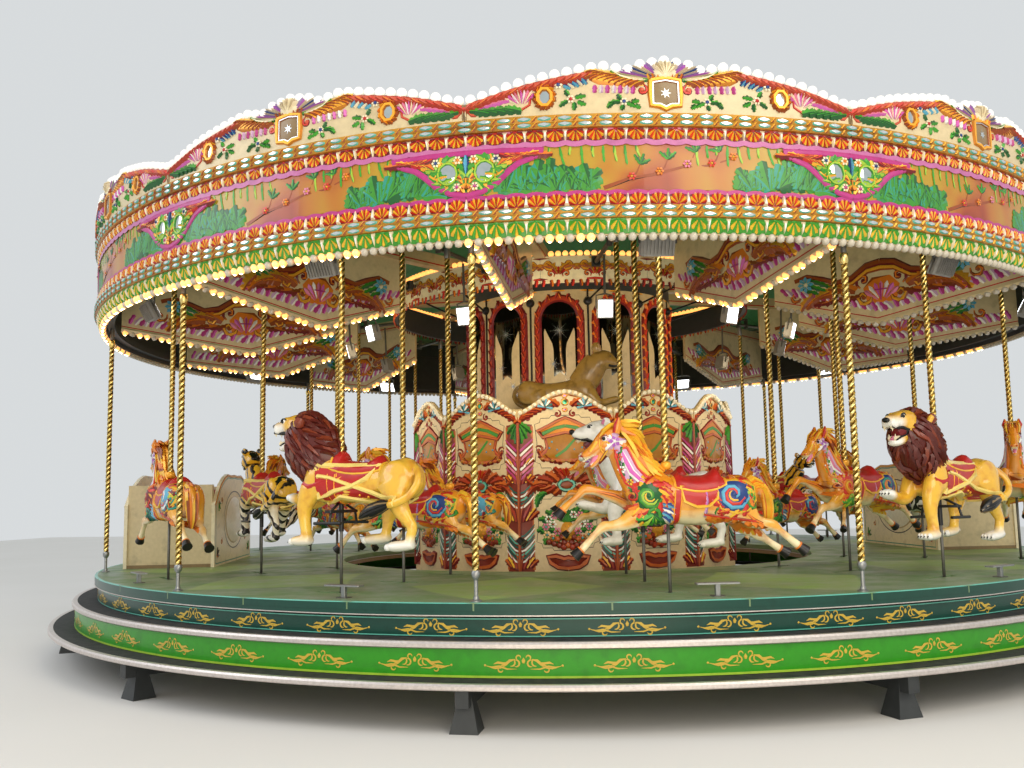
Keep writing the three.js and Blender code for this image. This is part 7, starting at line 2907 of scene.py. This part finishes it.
def animal_kinds():
    """Each kind of animal with the parts that make it up."""
    return {
        "horse": (HORSE, "horse_coat",
                  [dress_horse(paints, hairs) for paints, hairs in zip(HORSE_PAINTS, HORSE_HAIRS)]),
        "zebra": (HORSE, "zebra_coat", [dress_zebra]),
        "lion": ({**CAT, **LION}, "lion_coat", [dress_lion]),
        "tiger": ({**CAT, **SLEEK}, "tiger_coat", [dress_tiger]),
        "bear": ({**CAT, **BEAR}, "bear_coat", [dress_bear]),
        "lioness": ({**CAT, **LIONESS}, "lioness_coat", [dress_lioness]),
    }


def build_animals():
    """Each animal on its pole's line, and the lioness on the deck."""
    meshes = {}
    for species, (kind, coat, dresses) in animal_kinds().items():
        for i, dress in enumerate(dresses):
            meshes[species, i] = animal_mesh("%s_%d" % (species, i + 1), kind, coat, dress)
    plain = {i: sharpen(thinned(meshes["horse", i], INNER_KEEP), 55) for i in range(3)}
    for row in range(3):
        for k in ANIMAL_SECTIONS:
            species = RIDERS[k % 6][row]
            node = "%s_%s_%02d" % (species, ROW_NAMES[row], k + 1)
            turn = (k + 0.5) * SECTION
            variant = (k + row) % 3 if species == "horse" else 0
            lift = node_top(node) - POLE_TOP
            spot = (Matrix.Rotation(turn, 3, "Z")
                    @ Vector((POLE_SIDE, -ROW_RADII[row], BODY_HEIGHTS[row] + lift)))
            mesh = plain[variant] if row == 2 else meshes[species, variant]
            put(node.replace(species, species + "_body"), mesh, "gallop_" + "abc"[(k + row) % 3],
                node, SLOTS[species], turn, spot, ROW_SCALES[row])
    spot = polar(LIONESS_ANGLE, LIONESS_RADIUS, node_foot("lioness_figure") + LIONESS_BODY * LIONESS_SCALE)
    spot.x += LIONESS_FORWARD
    put("lioness", meshes["lioness", 0], "base", "lioness_figure", "lioness_coat", LIONESS_ANGLE + math.pi,
        spot, LIONESS_SCALE)


def build_poles():
    """A twisted brass pole over each animal, its grey sleeve, and the plain rod down through the floor."""
    for row, scale in enumerate(ROW_SCALES):
        shape = Shape()
        top = BODY_HEIGHTS[row] + 0.19 * scale
        twisted_rod(shape, 0, 0, top, POLE_TOP, POLE_RADIUS)
        lathe(shape, ((0.03, POLE_TOP - 0.34), (0.034, POLE_TOP - 0.33), (0.034, POLE_TOP - 0.12),
                      (0.03, POLE_TOP - 0.11)),
              "steel", 12)
        lathe(shape, ((0.034, top - 0.02), (0.045, top), (0.045, top + 0.03), (0.03, top + 0.045)), "gold",
              12)
        tube(shape, ((0, 0, ROD_FOOT), (0, 0, BODY_HEIGHTS[row] - 0.1 * scale)), 0.014, "old_steel", 10)
        mesh = shape.mesh("pole_%s" % ROW_NAMES[row])
        for k in ANIMAL_SECTIONS:
            species = RIDERS[k % 6][row]
            node = "%s_%s_%02d" % (species, ROW_NAMES[row], k + 1)
            turn = (k + 0.5) * SECTION
            spot = (Matrix.Rotation(turn, 3, "Z")
                    @ Vector((POLE_SIDE, -ROW_RADII[row], node_top(node) - POLE_TOP)))
            put("pole_%s_%02d" % (ROW_NAMES[row], k + 1), mesh, "gallop_" + "abc"[(k + row) % 3], node,
                "twisted_brass", turn, spot)


# Stage

FLOOR_SIZE = 60.0
CAMERA_RIGHT_LIGHT = (9.0, -13.0, 11.0)
CAMERA_LEFT_LIGHT = (-12.0, -9.0, 9.0)
CAMERA_FRONT_LIGHT = (2.5, -15.0, 1.8)


def build_light(name, place, size, power, colour, hidden=False, aim=2.4):
    """A soft square light that faces the ride's middle and can't be seen itself."""
    light = bpy.data.lights.new(name, "AREA")
    light.size = size
    light.energy = power
    light.color = colour[:3]
    holder = bpy.data.objects.new(name, light)
    bpy.context.scene.collection.objects.link(holder)
    holder.visible_camera = False
    holder.visible_glossy = not hidden
    holder.location = place
    holder.rotation_euler = (Vector((0, 0, aim)) - Vector(place)).to_track_quat("-Z", "Y").to_euler()


def build_camera():
    """The camera stands where the photograph was taken from."""
    roll, pitch, yaw = CAMERA_ROLL, CAMERA_PITCH, CAMERA_YAW
    level = Vector((math.cos(yaw), -math.sin(yaw), 0))
    rise = Vector((-math.sin(pitch) * math.sin(yaw), -math.sin(pitch) * math.cos(yaw), math.cos(pitch)))
    ahead = Vector((math.cos(pitch) * math.sin(yaw), math.cos(pitch) * math.cos(yaw), math.sin(pitch)))
    right = math.cos(roll) * level + math.sin(roll) * rise
    up = -math.sin(roll) * level + math.cos(roll) * rise
    turn = Matrix.Rotation(CAMERA_AZIMUTH, 3, "Z")
    columns = Matrix((turn @ right, turn @ up, turn @ -ahead)).transposed()
    camera = bpy.data.objects.new("photo_camera", bpy.data.cameras.new("photo_camera"))
    camera.data.sensor_width = SENSOR_WIDTH
    camera.data.lens = FOCAL_PIXELS / PHOTO_WIDTH * SENSOR_WIDTH
    stand = polar(CAMERA_AZIMUTH, CAMERA_DISTANCE, CAMERA_HEIGHT)
    camera.matrix_world = Matrix.Translation(stand) @ columns.to_4x4()
    bpy.context.scene.collection.objects.link(camera)
    bpy.context.scene.camera = camera


def build_stage():
    """The floor, the sky, the soft lights and the camera."""
    shape = Shape()
    half = FLOOR_SIZE / 2
    shape.add([(-half, -half, 0), (half, -half, 0), (half, half, 0), (-half, half, 0)], [(0, 1, 2, 3)],
              "studio")
    ground = bpy.data.objects.new("studio_floor", shape.mesh("studio_floor"))
    bpy.context.scene.collection.objects.link(ground)
    world = bpy.data.worlds.new("studio_sky")
    world.use_nodes = True
    background = world.node_tree.nodes["Background"]
    background.inputs["Color"].default_value = linear("#eef2f4")
    background.inputs["Strength"].default_value = 0.8
    bpy.context.scene.world = world
    build_light("key_light", CAMERA_RIGHT_LIGHT, 9.0, 950, linear("#fff6e8"))
    build_light("fill_light", CAMERA_LEFT_LIGHT, 8.0, 540, linear("#f2f6ff"))
    build_light("front_light", CAMERA_FRONT_LIGHT, 7.0, 560, linear("#fff0d8"))
    for i in range(6):
        build_light(f"canopy_light_{i + 1}", polar(i * math.tau / 6, 3.4, 3.35), 1.2, 30, linear("#ffe6bc"),
                    True, 1.2)
    build_camera()
    bpy.context.scene.view_settings.view_transform = "Standard"


# Operators: one for each group of pieces

class CAROUSEL_OT_stage(bpy.types.Operator):
    """Lay the pale floor and set the studio light and the camera"""
    bl_idname = "carousel.stage"
    bl_label = "Stage"

    def execute(self, context):
        build_stage()
        return {"FINISHED"}


class CAROUSEL_OT_steps(bpy.types.Operator):
    """Dress the treads with rubber and nosings, and the risers with gold sprays"""
    bl_idname = "carousel.steps"
    bl_label = "Steps"

    def execute(self, context):
        build_steps()
        return {"FINISHED"}


class CAROUSEL_OT_floor(bpy.types.Operator):
    """Paint the riding floor and its bands, and set the mounting steps"""
    bl_idname = "carousel.floor"
    bl_label = "Riding floor"

    def execute(self, context):
        build_floor()
        return {"FINISHED"}


class CAROUSEL_OT_rim_poles(bpy.types.Operator):
    """Twist the twelve rim poles"""
    bl_idname = "carousel.rim_poles"
    bl_label = "Rim poles"

    def execute(self, context):
        build_rim_poles()
        return {"FINISHED"}


class CAROUSEL_OT_cornices(bpy.types.Operator):
    """Carve the lower and the upper cornice"""
    bl_idname = "carousel.cornices"
    bl_label = "Cornices"

    def execute(self, context):
        build_lower_cornice()
        build_upper_cornice()
        return {"FINISHED"}


class CAROUSEL_OT_picture_band(bpy.types.Operator):
    """Paint the panels between the cornices and carve the shields on their joints"""
    bl_idname = "carousel.picture_band"
    bl_label = "Picture band"

    def execute(self, context):
        build_picture_band()
        return {"FINISHED"}


class CAROUSEL_OT_crown(bpy.types.Operator):
    """Carve the crown boards"""
    bl_idname = "carousel.crown"
    bl_label = "Crown boards"

    def execute(self, context):
        build_crown()
        return {"FINISHED"}


class CAROUSEL_OT_lamps(bpy.types.Operator):
    """Set the opal globes on the crown and the lamp caps under the cornice"""
    bl_idname = "carousel.lamps"
    bl_label = "Lamps"

    def execute(self, context):
        build_globes()
        build_rim_lamps()
        return {"FINISHED"}


class CAROUSEL_OT_swifts(bpy.types.Operator):
    """Dress the swifts, their scalloped boards and the scroll band"""
    bl_idname = "carousel.swifts"
    bl_label = "Swifts"

    def execute(self, context):
        build_swifts()
        build_scroll_band()
        return {"FINISHED"}


class CAROUSEL_OT_cranks(bpy.types.Operator):
    """Turn the crank shafts and hang the floodlights on their ends"""
    bl_idname = "carousel.cranks"
    bl_label = "Cranks and floodlights"

    def execute(self, context):
        build_cranks()
        build_floodlights()
        return {"FINISHED"}


class CAROUSEL_OT_drum(bpy.types.Operator):
    """Panel the mirror drum and paint the mast"""
    bl_idname = "carousel.drum"
    bl_label = "Mirror drum"

    def execute(self, context):
        build_drum()
        return {"FINISHED"}


class CAROUSEL_OT_shutters(bpy.types.Operator):
    """Carve and paint the centre shutters"""
    bl_idname = "carousel.shutters"
    bl_label = "Centre shutters"

    def execute(self, context):
        build_shutters()
        return {"FINISHED"}


class CAROUSEL_OT_roof(bpy.types.Operator):
    """Stretch the canvas over the rafters and gild the finial"""
    bl_idname = "carousel.roof"
    bl_label = "Roof"

    def execute(self, context):
        build_finial()
        build_roof()
        return {"FINISHED"}


class CAROUSEL_OT_chariots(bpy.types.Operator):
    """Build the two chariots and their cushions"""
    bl_idname = "carousel.chariots"
    bl_label = "Chariots"

    def execute(self, context):
        build_chariots()
        return {"FINISHED"}


class CAROUSEL_OT_poles(bpy.types.Operator):
    """Twist the animals' poles and turn the rods below them"""
    bl_idname = "carousel.poles"
    bl_label = "Animal poles"

    def execute(self, context):
        build_poles()
        return {"FINISHED"}


class CAROUSEL_OT_animals(bpy.types.Operator):
    """Model the riding animals and the lioness on the deck"""
    bl_idname = "carousel.animals"
    bl_label = "Animals"

    def execute(self, context):
        build_animals()
        return {"FINISHED"}


OPERATORS = (
    CAROUSEL_OT_stage, CAROUSEL_OT_steps, CAROUSEL_OT_floor, CAROUSEL_OT_rim_poles, CAROUSEL_OT_cornices,
    CAROUSEL_OT_picture_band, CAROUSEL_OT_crown, CAROUSEL_OT_lamps, CAROUSEL_OT_swifts, CAROUSEL_OT_cranks,
    CAROUSEL_OT_drum, CAROUSEL_OT_shutters, CAROUSEL_OT_roof, CAROUSEL_OT_chariots, CAROUSEL_OT_poles,
    CAROUSEL_OT_animals,
)


class CAROUSEL_PT_pieces(bpy.types.Panel):
    """The carousel's sizes, colours and pieces"""
    bl_label = "Carousel"
    bl_idname = "CAROUSEL_PT_pieces"
    bl_space_type = "VIEW_3D"
    bl_region_type = "UI"
    bl_category = "Carousel"

    def draw(self, context):
        for group in (context.scene.carousel_sizes, context.scene.carousel_colours):
            column = self.layout.box().column()
            for name in type(group).__annotations__:
                column.prop(group, name)
        for operator in OPERATORS:
            self.layout.operator(operator.bl_idname)


CLASSES = (CarouselSizes, CarouselColours, *OPERATORS, CAROUSEL_PT_pieces)


def register():
    for made in CLASSES:
        bpy.utils.register_class(made)
    bpy.types.Scene.carousel_sizes = PointerProperty(type=CarouselSizes)
    bpy.types.Scene.carousel_colours = PointerProperty(type=CarouselColours)


def unregister():
    del bpy.types.Scene.carousel_colours
    del bpy.types.Scene.carousel_sizes
    for made in reversed(CLASSES):
        bpy.utils.unregister_class(made)


def main():
    register()
    for operator in OPERATORS:
        getattr(bpy.ops.carousel, operator.bl_idname.split(".")[1])()


if __name__ == "__main__":
    main()
